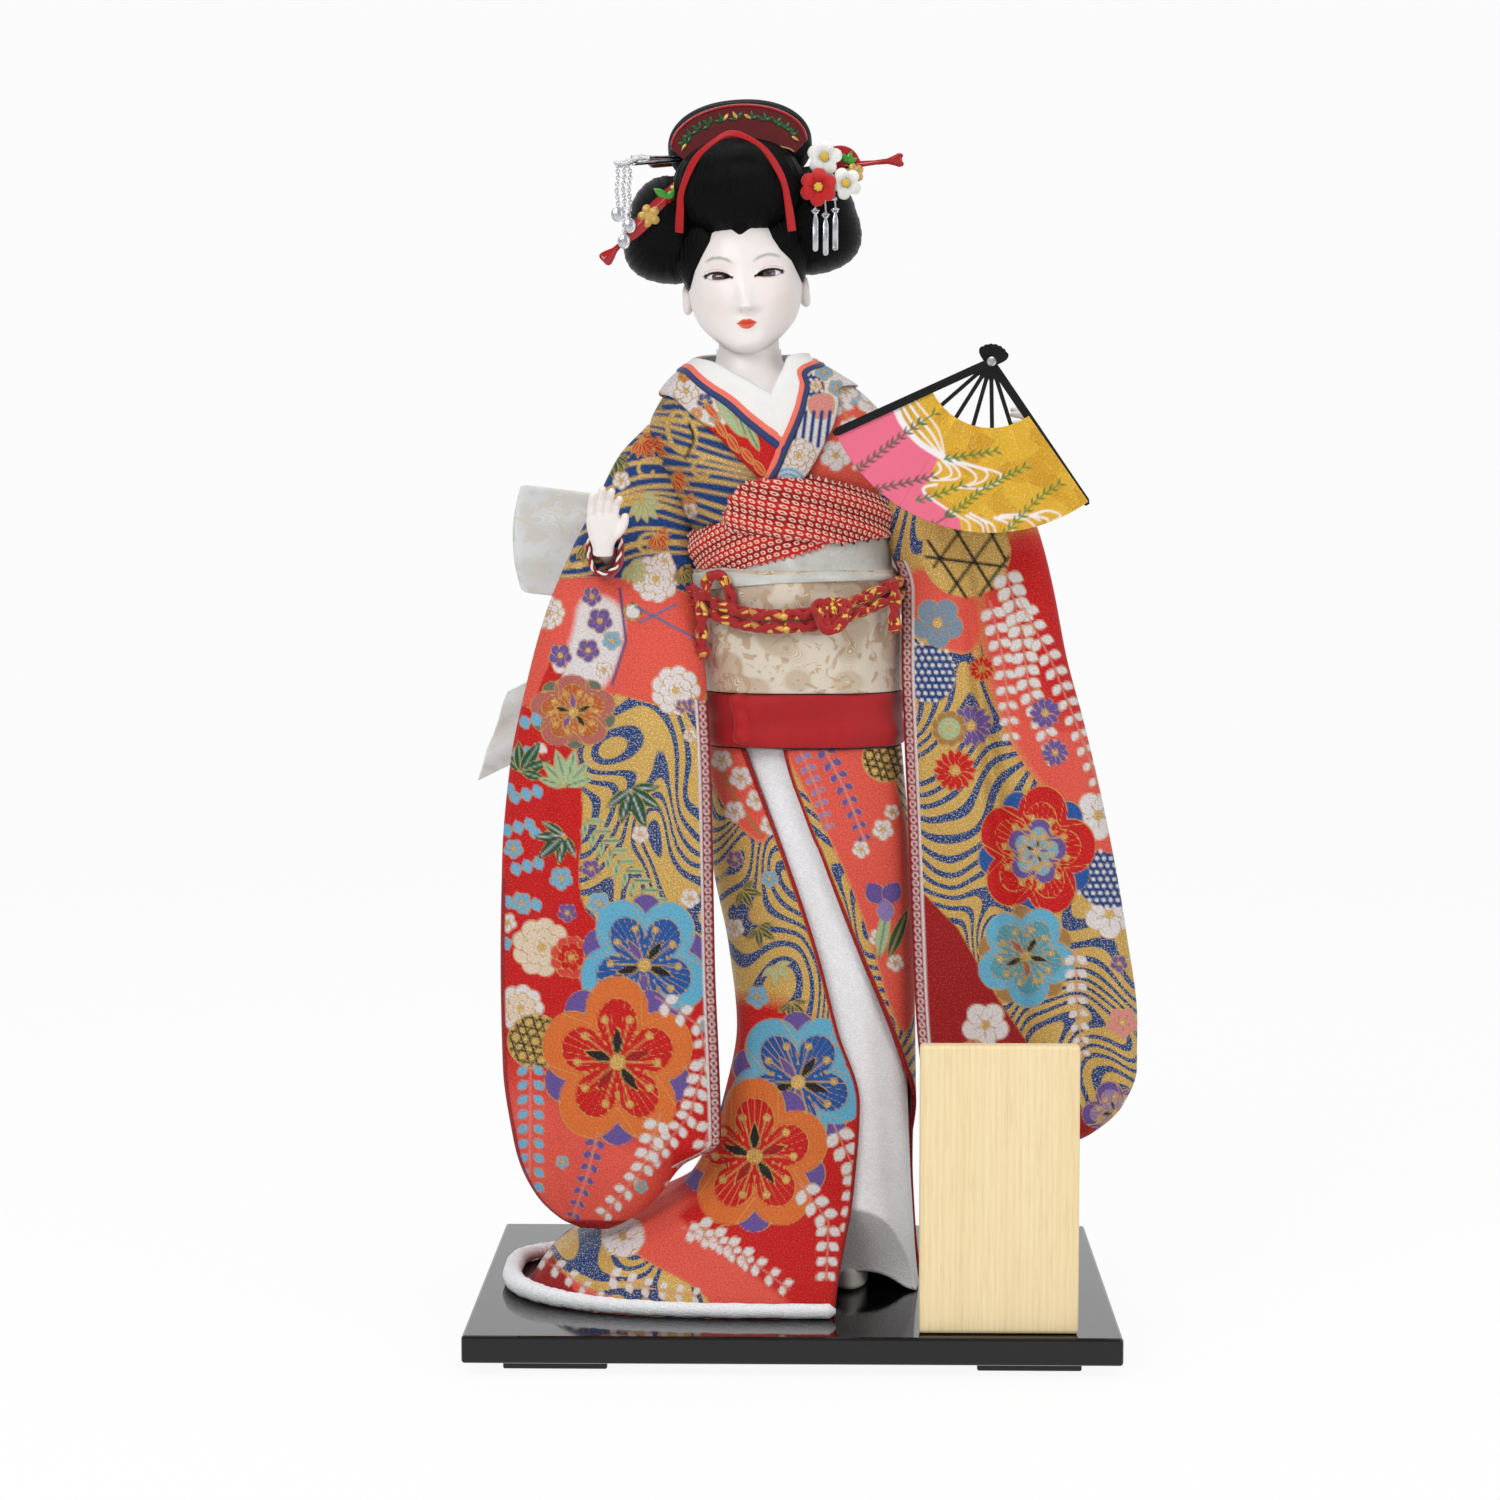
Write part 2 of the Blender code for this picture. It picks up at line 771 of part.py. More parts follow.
# ---------------------------------------------------------------- body and clothes
def make_core():
    wood = material("core_wood", (0.62, 0.48, 0.30), 0.7)
    inset = bodice_thickness + core_ease
    top = core_top()
    rings = []
    for step in range(core_steps + 1):
        height = waist_height + seat_gap + (body_rise - seat_gap) * step / body_steps
        rings.append(body_ring(height, -inset))
    core = add("body_core", loft_mesh("body_core", rings), wood)
    socket = turned(
        "neck_socket",
        (
            (0, cut_overrun),
            (neck_flare_radius + neck_clearance, cut_overrun),
            (neck_flare_radius + neck_clearance, -neck_flare_height),
            (neck_stick_radius + neck_clearance, -neck_flare_height),
            (neck_stick_radius + neck_clearance, -neck_flare_height - neck_stick_length),
            (0, -neck_flare_height - neck_stick_length),
        ),
        None,
    )
    socket.location = (neck_x, body_centre_y, top)
    boolean(core, as_cutter(socket))


def make_bodice():
    robe = material("printed_silk", (0.72, 0.20, 0.12), 0.6)
    band_round_body(
        "robe_bodice",
        lambda turn: waist_height + seat_gap,
        lambda turn: collar_height,
        -bodice_thickness,
        bodice_thickness,
        robe,
        rows=body_steps,
        crown=0,
    )


def collar_band(name, low_share, start, width, thickness, finish, low_turn, grow=0.0):
    """A collar that goes round the neck and comes down to a point on the chest."""
    count = 28
    sections = []
    low = waist_height + body_rise * low_share
    high = collar_height - start
    for i in range(count + 1):
        along = -1 + 2 * i / count
        turn = math.pi / 2 + along * (math.pi - low_turn)
        fall = max(0.0, (abs(along) - 0.45) / 0.55)
        height = high - (high - low) * fall**1.25
        drop = width * (1 + 0.5 * fall)
        corners = []
        for down, lift in (
            (-grow, -grow),
            (-grow, thickness + grow),
            (drop + grow, thickness + grow),
            (drop + grow, -grow),
        ):
            corners.append(body_point(turn, height - down, collar_lift + lift))
        sections.append(corners)
    return add(name, loft_mesh(name, sections), finish)


def make_collars(body, scarf):
    white = material("white_collar", (0.88, 0.87, 0.86), 0.75)
    coral = material("coral_collar", (0.85, 0.30, 0.20), 0.65)
    navy = material("navy_collar", (0.03, 0.09, 0.30), 0.65)
    robe = material("printed_silk", (0.72, 0.20, 0.12), 0.6)
    lean = 2 * seat_gap / body_half_depth
    start = 0.0
    places = []
    for name, low_share, width, thickness, finish in (
        ("collar_under", under_collar_low_share, under_collar_width, under_collar_thickness, white),
        ("collar_stripe_coral", stripe_low_share, stripe_width, stripe_thickness, coral),
        ("collar_stripe_navy", navy_low_share, stripe_width, stripe_thickness, navy),
        ("collar_robe", robe_collar_low_share, robe_collar_width, robe_collar_thickness, robe),
    ):
        collar = collar_band(name, low_share, start, width, thickness, finish, lean)
        boolean(collar, body)
        if name == "collar_robe":
            boolean(collar, scarf)
            room = collar_band("collar_room", low_share, start, width, thickness, None, lean, seat_gap)
            places.append(as_cutter(room))
        start = start + width + seat_gap
    return places[0]


def facing(turn, centre, spread):
    """One at this turn round the body, falling smoothly to zero this far to each side."""
    away = abs((turn - centre + math.pi) % (2 * math.pi) - math.pi)
    if away >= spread:
        return 0.0
    return 0.5 + 0.5 * math.cos(math.pi * away / spread)


def scarf_top(turn):
    front = facing(turn, math.radians(290), math.radians(95))
    side = facing(turn, math.radians(200), math.radians(60))
    rise = scarf_back_rise + (scarf_high_rise - scarf_back_rise) * front
    rise += (scarf_low_rise - scarf_back_rise) * side
    return scarf_bottom + rise


def cord_height(turn, strand):
    front = facing(turn, math.radians(262), math.radians(80))
    return band_top - cord_drop - cord_dip * front - strand * cord_spacing


def scarf_room():
    """The room that the scarf takes, with its gap."""
    return as_cutter(band_round_body(
        "scarf_room",
        lambda turn: scarf_bottom - seat_gap,
        lambda turn: scarf_top(turn) + seat_gap,
        -seat_gap,
        scarf_lift + scarf_thickness + 2 * seat_gap,
        None,
        rows=3,
    ))


def belt_room():
    """The room that the waist band and its cord take, with their gap."""
    return as_cutter(band_round_body(
        "belt_room",
        lambda turn: waist_height - seat_gap,
        lambda turn: band_top + seat_gap,
        -seat_gap,
        band_thickness + 2 * cord_radius + cord_radius * 1.4 + 4 * seat_gap,
        None,
        rows=2,
        crown=0.1,
    ))


def make_waist():
    sash = material("scarlet_sash", (0.55, 0.01, 0.015), 0.75)
    brocade = material("pale_brocade", (0.74, 0.70, 0.62), 0.5, 0.15)
    shibori = material("dotted_scarf", (0.72, 0.12, 0.08), 0.8)
    bottom = waist_height + seat_gap
    belt = band_round_body(
        "waist_sash",
        lambda turn: bottom,
        lambda turn: bottom + sash_height - seat_gap,
        seat_gap,
        sash_thickness,
        sash,
        rows=1,
        crown=0,
    )
    band_round_body(
        "waist_band",
        lambda turn: band_bottom,
        lambda turn: band_top,
        seat_gap,
        band_thickness,
        brocade,
        rows=2,
    )
    band_round_body(
        "bust_scarf", lambda turn: scarf_bottom, scarf_top, scarf_lift, scarf_thickness, shibori, rows=3
    )
    place = body_point(
        sash_fold_turn,
        bottom + sash_height / 2,
        seat_gap + sash_thickness + sash_fold_thickness * 0.2,
    )
    size = (sash_fold_width, sash_fold_thickness, sash_height * 0.96)
    fold = block("sash_fold", size, place, None, sash_fold_thickness / 3)
    centre, width, depth = body_row(bottom + sash_height / 2)
    slope = math.atan2(math.cos(sash_fold_turn) * depth, -math.sin(sash_fold_turn) * width)
    fold.rotation_euler = (0, 0, slope)
    boolean(belt, as_cutter(fold), "UNION")


def make_cord():
    """One tied cord: two turns round the waist band, a knot in front and two hanging tails."""
    braid = material("red_gold_cord", (0.55, 0.02, 0.02), 0.6)
    lift = seat_gap * 2 + band_thickness + cord_radius
    count = 24
    turns = []
    for strand in (0, 1):
        points = []
        for i in range(count):
            turn = 2 * math.pi * i / count
            points.append(body_point(turn, cord_height(turn, strand), lift))
        turns.append(to_mesh(tube("waist_cord", points, cord_radius, braid, cyclic=True, sides=1)))
    cord, second = turns
    second.name = "cord_second_turn"
    cord.name = "waist_cord"
    boolean(cord, as_cutter(second), "UNION")
    height = (cord_height(knot_turn, 0) + cord_height(knot_turn, 1)) / 2
    sizes = (knot_half_width, knot_half_depth, knot_half_height)
    place = body_point(knot_turn, height, lift + cord_radius * 1.3)
    knot = ellipsoid("cord_knot", sizes, place, segments=10, rings=6)
    boolean(cord, as_cutter(knot), "UNION")
    for name, turn, drop in (
        ("cord_tail_free", math.radians(222), cord_tail_length),
        ("cord_tail_fan", math.radians(322), cord_tail_length * 0.8),
    ):
        top = cord_height(turn, 0) + cord_radius
        points = [body_point(turn, top - drop * i / 5, lift + cord_radius * 1.5) for i in range(6)]
        tip = cord_tip_radius / cord_radius
        radii = [1.0, 1.0, 1.0, tip, 1.0, 1.15]
        tail = to_mesh(tube(name, points, cord_radius, None, radii=radii, sides=1))
        boolean(cord, as_cutter(tail), "UNION")


# ---------------------------------------------------------------- skirts and legs
def skirt_row(height):
    return smooth_row(skirt_shares, (height - skirt_bottom) / skirt_drop)


def skirt_point(turn, height, inset=0.0):
    _, left, right, front, back = skirt_row(height)
    squareness = 2.2 + 0.8 * max(0.0, 1 - (height - skirt_bottom) / skirt_drop * 5)
    x, y = rounded(turn, squareness)
    half_x = left * train_reach if x < 0 else right * skirt_half_width
    half_y = front * train_front if y < 0 else back * skirt_half_depth
    return Vector((
        skirt_centre_x + (half_x - inset) * x,
        body_centre_y + (half_y - inset) * y,
        height,
    ))


def skirt_turn_at(x_share, height):
    """The turn on the front of the skirt that lies at this share of half width from its centre."""
    _, left, right, _, _ = skirt_row(height)
    squareness = 2.2 + 0.8 * max(0.0, 1 - (height - skirt_bottom) / skirt_drop * 5)
    x = x_share * skirt_half_width
    half = left * train_reach if x < 0 else right * skirt_half_width
    share = max(-0.999, min(0.999, x / half))
    flat = math.copysign(abs(share) ** (squareness / 2.0), share)
    return 1.5 * math.pi + math.asin(max(-1.0, min(1.0, flat)))


def skirt_ends(height):
    """Where the outer skirt starts and stops going round, from its right panel's edge by the back."""
    share = (height - skirt_bottom) / skirt_drop
    _, left_edge, right_edge = smooth_row(skirt_edge_shares, share)
    start = skirt_turn_at(left_edge, height)
    _, _, right, _, _ = skirt_row(height)
    if right_edge >= right * 0.985:
        stop = 2 * math.pi + math.radians(8 + 60 * (right_edge - right))
    else:
        stop = skirt_turn_at(right_edge, height)
    return stop, start


def skirt_sections():
    """The outer skirt as sections that go round from one front edge by the back to the other."""
    around = 22
    sections = []
    for step in range(skirt_steps + 1):
        share = 1 - step / skirt_steps
        height = skirt_bottom + skirt_drop * share**1.25
        stop, start = skirt_ends(height)
        sweep = (start - stop) % (2 * math.pi)
        turns = [stop + sweep * i / around for i in range(around + 1)]
        outer = [skirt_point(turn, height) for turn in turns]
        inner = [skirt_point(turn, height, skirt_thickness) for turn in reversed(turns)]
        sections.append(outer + inner)
    return sections


def make_skirts():
    robe = material("printed_silk", (0.72, 0.20, 0.12), 0.6)
    white = material("white_crepe", (0.86, 0.86, 0.88), 0.8)
    add("robe_skirt", loft_mesh("robe_skirt", skirt_sections()), robe)
    rings = []
    for step in range(skirt_steps + 1):
        share = 1 - step / skirt_steps
        height = skirt_bottom + skirt_drop * share**1.25
        inset = skirt_thickness + under_ease
        rings.append([under_point(2 * math.pi * i / 22, height, inset) for i in range(22)])
    return add("under_skirt", loft_mesh("under_skirt", rings), white)


def under_point(turn, height, inset):
    """The white under-skirt: inside the outer one, and drawn back at the front lower right."""
    point = skirt_point(turn, height, inset)
    low = max(0.0, 1 - (height - skirt_bottom) / skirt_drop / 0.42)
    low = low * low * (3 - 2 * low)
    x = point.x - skirt_centre_x
    y = point.y - body_centre_y
    if x < 0:
        x = max(x, -(train_reach + (under_left - train_reach) * low))
    if y < 0:
        limit = train_front + (train_front - under_front_back - train_front) * low
        y = max(y, -limit)
    return Vector((skirt_centre_x + x, body_centre_y + y, height))


def make_legs(under):
    cotton = material("white_socks", (0.90, 0.90, 0.90), 0.6)
    for name, x, y in (("leg_fan", fan_leg_x, fan_leg_y), ("leg_free", free_leg_x, free_leg_y)):
        rings = []
        base = board_top + seat_gap
        rows = (
            (0.00, 0.86, 0.90),
            (0.10, 1.00, 1.00),
            (0.32, 1.00, 1.00),
            (0.60, 0.86, 0.82),
            (0.85, 0.78, 0.52),
            (1.00, 0.80, 0.36),
        )
        heel = y + sole_length * 0.28
        for share, width_share, length_share in rows:
            height = base + ankle_height * share
            front = heel - sole_length * length_share
            if share > 0.35:
                front = min(front, heel - leg_radius * 2)
            middle = (heel + front) / 2
            half = (heel - front) / 2
            ring = []
            for i in range(12):
                cx, cy = rounded(2 * math.pi * i / 12, 2.3)
                ring.append(Vector((x + sole_half_width * width_share * cx, middle + half * cy, height)))
            rings.append(ring)
        top = base + leg_height
        for share in (0.30, 1.0):
            height = base + ankle_height + (top - base - ankle_height) * share
            ring = []
            for i in range(12):
                turn = 2 * math.pi * i / 12
                ring.append(Vector((x + leg_radius * math.cos(turn), y + leg_radius * math.sin(turn), height)))
            rings.append(ring)
        add(name, loft_mesh(name, rings), cotton)
        hole = []
        for ring in rings:
            middle = sum(ring, Vector()) / len(ring)
            grown = []
            for point in ring:
                away = Vector((point.x - middle.x, point.y - middle.y, 0))
                grown.append(point + away.normalized() * leg_clearance)
            hole.append(grown)
        hole[0] = [point - Vector((0, 0, cut_overrun)) for point in hole[0]]
        hole[-1] = [point + Vector((0, 0, cut_overrun)) for point in hole[-1]]
        cutter = add(f"{name}_room", loft_mesh(f"{name}_room", hole), None)
        boolean(under, as_cutter(cutter))


def make_hem_roll():
    white = material("white_crepe", (0.86, 0.86, 0.88), 0.8)
    points = []
    count = 26
    height = board_top + hem_roll_radius + seat_gap
    stop, start = skirt_ends(skirt_bottom)
    sweep = (start - stop) % (2 * math.pi)
    out = hem_roll_radius + seat_gap
    for i in range(count):
        turn = stop + sweep * (0.30 + 0.70 * i / (count - 1))
        points.append(skirt_point(turn, skirt_bottom, -out) + Vector((0, 0, height - skirt_bottom)))
    tube("hem_roll", points, hem_roll_radius, white, sides=1)


# ---------------------------------------------------------------- arms, hands, sleeves
def arm_route(side, elbow, wrist):
    shoulder = (side * shoulder_x + body_row(shoulder_z)[0], body_centre_y, shoulder_z)
    return spline((shoulder, elbow, wrist), 12)


def make_arm(name, side, elbow, wrist):
    cloth = material("core_wood", (0.62, 0.48, 0.30), 0.7)
    points = arm_route(side, elbow, wrist)
    count = len(points)
    thin = wrist_radius / arm_radius
    radii = [1 + (thin - 1) * max(0.0, (i - 5) / (count - 6)) for i in range(count)]
    arm = to_mesh(tube(name, points, arm_radius, cloth, radii=radii, sides=1))
    room = to_mesh(tube(
        f"{name}_room", points, arm_radius + arm_bore_clearance, None,
        radii=[value + arm_bore_clearance / arm_radius for value in radii],
    ))
    rings = []
    for step in range(9):
        height = waist_height + body_rise * (0.55 + 0.45 * step / 8)
        rings.append(body_ring(height, seat_gap, 32))
    shade = add(f"{name}_seat", loft_mesh(f"{name}_seat", rings), None)
    return as_cutter(arm), as_cutter(shade), as_cutter(room)


def sleeve_rings(table, top, drop, width, depth, line, side, phase):
    rings = []
    across = 12
    for row in table:
        share, outer, inner, outer_y, inner_y, half, fold = row
        height = top - drop * share
        ring = []
        for face in (-1, 1):
            for i in range(across):
                along = i / (across - 1)
                if face > 0:
                    along = 1 - along
                x = line + side * width * (outer + (inner - outer) * along)
                bow = depth * (outer_y + (inner_y - outer_y) * along)
                wave = fold * sleeve_fold_depth * math.sin(2 * math.pi * sleeve_folds * along + phase)
                round_end = (1 - abs(2 * along - 1) ** 5) ** 0.5
                inside = 0.35 * wave if face > 0 else wave
                y = body_centre_y + bow + inside + face * half * depth * (0.08 + 0.92 * round_end)
                ring.append(Vector((x, y, height)))
        rings.append(ring)
    return rings


def make_sleeve(name, table, top, drop, width, depth, line, side, phase, rooms):
    robe = material("printed_silk", (0.72, 0.20, 0.12), 0.6)
    rings = sleeve_rings(table, top, drop, width, depth, line, side, phase)
    item = add(name, loft_mesh(name, rings), robe)
    for room in rooms:
        boolean(item, room, solver="MANIFOLD" if side > 0 else "EXACT")
    return item


def body_room(name):
    """The room that the bodice takes, for cutting what lies against it."""
    rings = []
    for step in range(body_steps + 1):
        height = waist_height + seat_gap + (body_rise - seat_gap) * step / body_steps
        rings.append(body_ring(height, body_room_ease))
    rings[-1] = [point + Vector((0, 0, seat_gap)) for point in rings[-1]]
    return as_cutter(add(name, loft_mesh(name, rings), None))


def hand_frame(place, forward, palm_out):
    """Axes of a hand: Y along the fingers, Z out of the palm, X across it."""
    along = Vector(forward).normalized()
    across = along.cross(Vector(palm_out)).normalized()
    out = across.cross(along).normalized()
    frame = Matrix((across, along, out)).transposed().to_4x4()
    frame.translation = Vector(place)
    return frame


def make_hand(name, frame, curls, spread, thumb_side, thumb_bend):
    skin = material("white_skin", (0.93, 0.90, 0.88), 0.25)
    rings = []
    rows = ((0.0, 0.62, 1.15), (0.25, 0.80, 1.10), (0.6, 1.0, 1.0), (1.0, 0.96, 0.80))
    for share, width_share, thick_share in rows:
        ring = []
        for i in range(14):
            x, z = rounded(2 * math.pi * i / 14, 2.6)
            ring.append(Vector((
                palm_half_width * width_share * x,
                palm_length * share,
                palm_half_thickness * thick_share * z,
            )))
        rings.append(ring)
    hand = add(name, loft_mesh(name, rings), skin)
    hand.matrix_world = frame
    lengths = (0.86, 1.0, 0.96, 0.78)
    for i in range(4):
        offset = (i - 1.5) / 1.5
        base = Vector((offset * (palm_half_width - finger_radius * 1.05), palm_length * 0.88, 0))
        angle = spread * offset
        bend = curls[i]
        points = [base]
        radii = [1.0]
        heading = 0.0
        for joint, part in enumerate((0.45, 0.32, 0.23)):
            heading += bend * (0.6 if joint == 0 else 1.0)
            step = Vector((math.sin(angle), math.cos(angle) * math.cos(heading), math.sin(heading)))
            points.append(points[-1] + step * finger_length * lengths[i] * part)
            radii.append(0.98 - 0.13 * (joint + 1))
        finger = to_mesh(tube(f"{name}_finger_{i}", points, finger_radius, None, sides=1, radii=radii))
        finger.matrix_world = frame
        boolean(hand, as_cutter(finger), "UNION")
    root = Vector((thumb_side * palm_half_width * 0.55, palm_length * 0.28, palm_half_thickness * 0.2))
    points = [root]
    for joint, part in enumerate((0.42, 0.34, 0.24)):
        heading = math.radians(48) - math.radians(20) * joint
        lift = math.sin(thumb_bend * (joint + 1) / 2)
        step = Vector((thumb_side * math.sin(heading), math.cos(heading), lift))
        points.append(points[-1] + step.normalized() * thumb_length * part)
    thumb = to_mesh(tube(
        f"{name}_thumb", points, finger_radius * 1.2, None, sides=1, radii=[1.05, 1.0, 0.9, 0.7]
    ))
    thumb.matrix_world = frame
    boolean(hand, as_cutter(thumb), "UNION")
    return hand


def make_cuff(name, elbow, wrist, room):
    lining = material("red_lining", (0.60, 0.02, 0.03), 0.7)
    start = Vector(elbow)
    end = Vector(wrist)
    along = (end - start).normalized()
    across = along.cross(Vector((0, 0, 1))).normalized()
    up = across.cross(along).normalized()
    rings = []
    for step in range(4):
        share = step / 3
        middle = end + along * (cuff_length * (share - 1.25))
        radius = cuff_radius * (0.60 + 0.40 * share)
        rings.append([
            middle
            + across * (radius * 0.62 * math.cos(2 * math.pi * i / 18))
            + up * (radius * math.sin(2 * math.pi * i / 18))
            for i in range(18)
        ])
    cuff = add(name, loft_mesh(name, rings), lining)
    boolean(cuff, room)
    outer = []
    for ring in rings:
        middle = sum(ring, Vector()) / len(ring)
        outer.append([middle + (point - middle) * (1 + seat_gap * 2 / cuff_radius) for point in ring])
    outer[0] = [point - along * seat_gap for point in outer[0]]
    outer[-1] = [point + along * cut_overrun for point in outer[-1]]
    return as_cutter(add(f"{name}_room", loft_mesh(f"{name}_room", outer), None))


# ---------------------------------------------------------------- head
def head_ring_row(share):
    return smooth_row(head_shares, share)


def face_relief(x, z):
    total = 0.0
    for centre_x, centre_z, height, wide, up, down in face_relief_shares:
        dx = (x / head_half_width - centre_x) / wide
        dz = z / head_drop - centre_z
        dz = dz / (up if dz > 0 else down)
        total += height * math.exp(-dx * dx - dz * dz)
    return total * head_half_width


def head_point(turn, share, grow=0.0):
    """A point of the head in its own frame. Turn 270 degrees looks forward."""
    _, width, front, back = head_ring_row(share)
    z = share * (head_rise if share > 0 else head_drop)
    near = -front * head_front
    far = back * head_back
    x, y = rounded(turn, 2.15)
    px = (width * head_half_width + grow) * x
    py = (near + far) / 2 + ((far - near) / 2 + grow) * y
    if y < 0:
        py -= face_relief(px, z) * min(1.0, -y * 1.6)
    return Vector((px, py, z + grow * math.copysign(min(1.0, abs(share)) ** 4, share)))


def head_mesh(name, grow, around, up):
    rings = []
    for step in range(up + 1):
        share = -math.cos(math.pi * step / up)
        rings.append([
            head_point(2 * math.pi * i / around + math.pi / around, share, grow) for i in range(around)
        ])
    return loft_mesh(name, rings)


def make_head(frame):
    skin = material("white_skin", (0.93, 0.90, 0.88), 0.25)
    glass = material("dark_glass", (0.03, 0.012, 0.008), 0.06)
    head = add("head_shell", head_mesh("head_shell", 0.0, 24, 20), skin, frame)
    neck_top = -head_drop * 0.30
    low = core_top() - head_z
    neck = turned(
        "neck",
        (
            (0, neck_top),
            (neck_radius * 0.92, neck_top),
            (neck_radius * 0.96, -head_drop),
            (neck_radius, -head_drop * 1.18),
            (neck_flare_radius * 0.93, low + seat_gap),
            (neck_flare_radius, low - neck_flare_height * 0.6),
            (neck_flare_radius * 0.9, low - neck_flare_height + seat_gap * 2),
            (neck_stick_radius, low - neck_flare_height + seat_gap * 2),
            (neck_stick_radius, low - neck_flare_height - neck_stick_length + seat_gap),
            (0, low - neck_flare_height - neck_stick_length + seat_gap),
        ),
        None,
        steps=14,
    )
    neck.location = (neck_x, body_centre_y, head_z)
    boolean(head, as_cutter(neck), "UNION")
    for side, name in ((-1, "free"), (1, "fan")):
        sizes, place = ear_shape(side)
        ear = ellipsoid(f"ear_{name}", sizes, place, None, frame, (0, 0, side * 0.5), 10, 6)
        boolean(head, as_cutter(ear), "UNION")
        front = head_point(1.5 * math.pi + side * math.asin(eye_x / head_half_width) * 0.92, eye_z / head_rise)
        place = (side * eye_x, front.y + eye_sink, eye_z)
        turn = (0, 0, side * math.radians(20))
        sizes = (eye_half_width, eye_half_depth, eye_half_height)
        ellipsoid(f"eye_{name}", sizes, place, glass, frame, turn, 12, 6)
        grown = tuple(size + seat_gap for size in sizes)
        socket = ellipsoid(f"eye_{name}_socket", grown, place, None, frame, turn, 12, 6)
        boolean(head, as_cutter(socket))
    return head


def ear_shape(side):
    sizes = (ear_half_width, ear_half_depth, ear_half_height)
    return sizes, (side * (head_half_width + ear_half_width * 0.1), ear_y, -head_drop * 0.10)


def hair_shapes():
    """Each mass of hair: half sizes, place, turn."""
    return {
        "roll": (
            (front_roll_half_width, front_roll_half_depth, front_roll_half_height),
            (0, front_roll_y, front_roll_z),
            (0, 0, 0),
        ),
        "crown": (
            (crown_half_width, crown_half_depth, crown_half_height),
            (0, crown_y, crown_z),
            (0, 0, 0),
        ),
        "wing_free": (
            (wing_half_width, wing_half_depth, wing_half_height),
            (-wing_x, wing_y, wing_z),
            (0, wing_lean, 0),
        ),
        "wing_fan": (
            (wing_half_width, wing_half_depth, wing_half_height),
            (wing_x, wing_y, wing_z),
            (0, -wing_lean, 0),
        ),
        "nape": (
            (nape_half_width, nape_half_depth, nape_half_height),
            (0, nape_y, nape_z),
            (0, 0, 0),
        ),
        "knot": (
            (knot_radius_x, knot_radius_y, knot_radius_z),
            (knot_x, knot_y, knot_z),
            (0, 0, 0),
        ),
    }


def hair_mass(name, kind, frame, grow=0.0, finish=None):
    sizes, place, turn = hair_shapes()[kind]
    grown = tuple(size + grow for size in sizes)
    return ellipsoid(name, grown, place, finish, frame, turn, 14, 8)


def make_hair(frame):
    silk = material("black_hair", (0.004, 0.004, 0.005), 0.35)
    room = as_cutter(add("head_room", head_mesh("head_room", hair_ease, 20, 14), None, frame))
    rooms = {"head": room}
    for side, name in ((-1, "ear_low"), (1, "ear_high")):
        sizes, place = ear_shape(side)
        grown = tuple(size + seat_gap for size in sizes)
        rooms[name] = as_cutter(ellipsoid(f"{name}_room", grown, place, None, frame, (0, 0, side * 0.5), 10, 6))
    neck = turned(
        "neck_room",
        (
            (0, 0),
            (neck_radius + seat_gap, 0),
            (neck_flare_radius + seat_gap, -head_drop * 1.5),
            (0, -head_drop * 1.5),
        ),
        None,
        steps=14,
    )
    neck.location = (neck_x, body_centre_y, head_z)
    rooms["neck"] = as_cutter(neck)
    for kind in ("roll", "crown", "nape", "wing_free", "wing_fan", "knot"):
        rooms[kind] = as_cutter(hair_mass(f"{kind}_room", kind, frame, seat_gap))
    bar = turned(
        "bar_room",
        (
            (0, bar_half_length + cut_overrun),
            (bar_radius + seat_gap, bar_half_length + cut_overrun),
            (bar_radius + seat_gap, -bar_half_length - cut_overrun),
            (0, -bar_half_length - cut_overrun),
        ),
        None,
        frame,
        12,
    )
    bar.location = (knot_x, bar_y, bar_z)
    bar.rotation_euler = (0, math.pi / 2, 0)
    rooms["bar"] = as_cutter(bar)
    cap = hair_mass("hair_crown", "crown", frame, 0.0, silk)
    nape = hair_mass("nape", "nape", frame)
    boolean(cap, as_cutter(nape), "UNION")
    for kind in ("head", "ear_low", "ear_high", "neck", "bar"):
        boolean(cap, rooms[kind])
    roll = hair_mass("hair_front_roll", "roll", frame, 0.0, silk)
    for kind in ("head", "crown", "bar"):
        boolean(roll, rooms[kind])
    knot = hair_mass("hair_topknot", "knot", frame, 0.0, silk)
    for kind in ("crown", "roll", "bar"):
        boolean(knot, rooms[kind])
    for side in ("free", "fan"):
        wing = hair_mass(f"hair_wing_{side}", f"wing_{side}", frame, 0.0, silk)
        for kind in ("head", "ear_low", "ear_high", "crown", "nape", "roll", "knot", "bar"):
            boolean(wing, rooms[kind])
    return rooms


def make_comb(frame, rooms):
    lacquer = material("red_lacquer", (0.42, 0.01, 0.01), 0.15)
    outline = []
    steps = 16
    for i in range(steps + 1):
        turn = math.pi * i / steps
        outline.append((comb_half_width * math.cos(turn), comb_rise * math.sin(turn)))
    for i in range(steps, -1, -1):
        turn = math.pi * i / steps
        outline.append((
            (comb_half_width - comb_band * 0.5) * math.cos(turn),
            (comb_rise - comb_band) * math.sin(turn) - comb_band * 0.5,
        ))
    comb = plate("comb", [outline], comb_thickness, lacquer, frame)
    comb.location = (knot_x, comb_y, comb_z)
    comb.rotation_euler = (math.pi / 2, 0, 0)
    comb = to_mesh(comb)
    for kind in ("roll", "knot", "crown"):
        boolean(comb, rooms[kind])


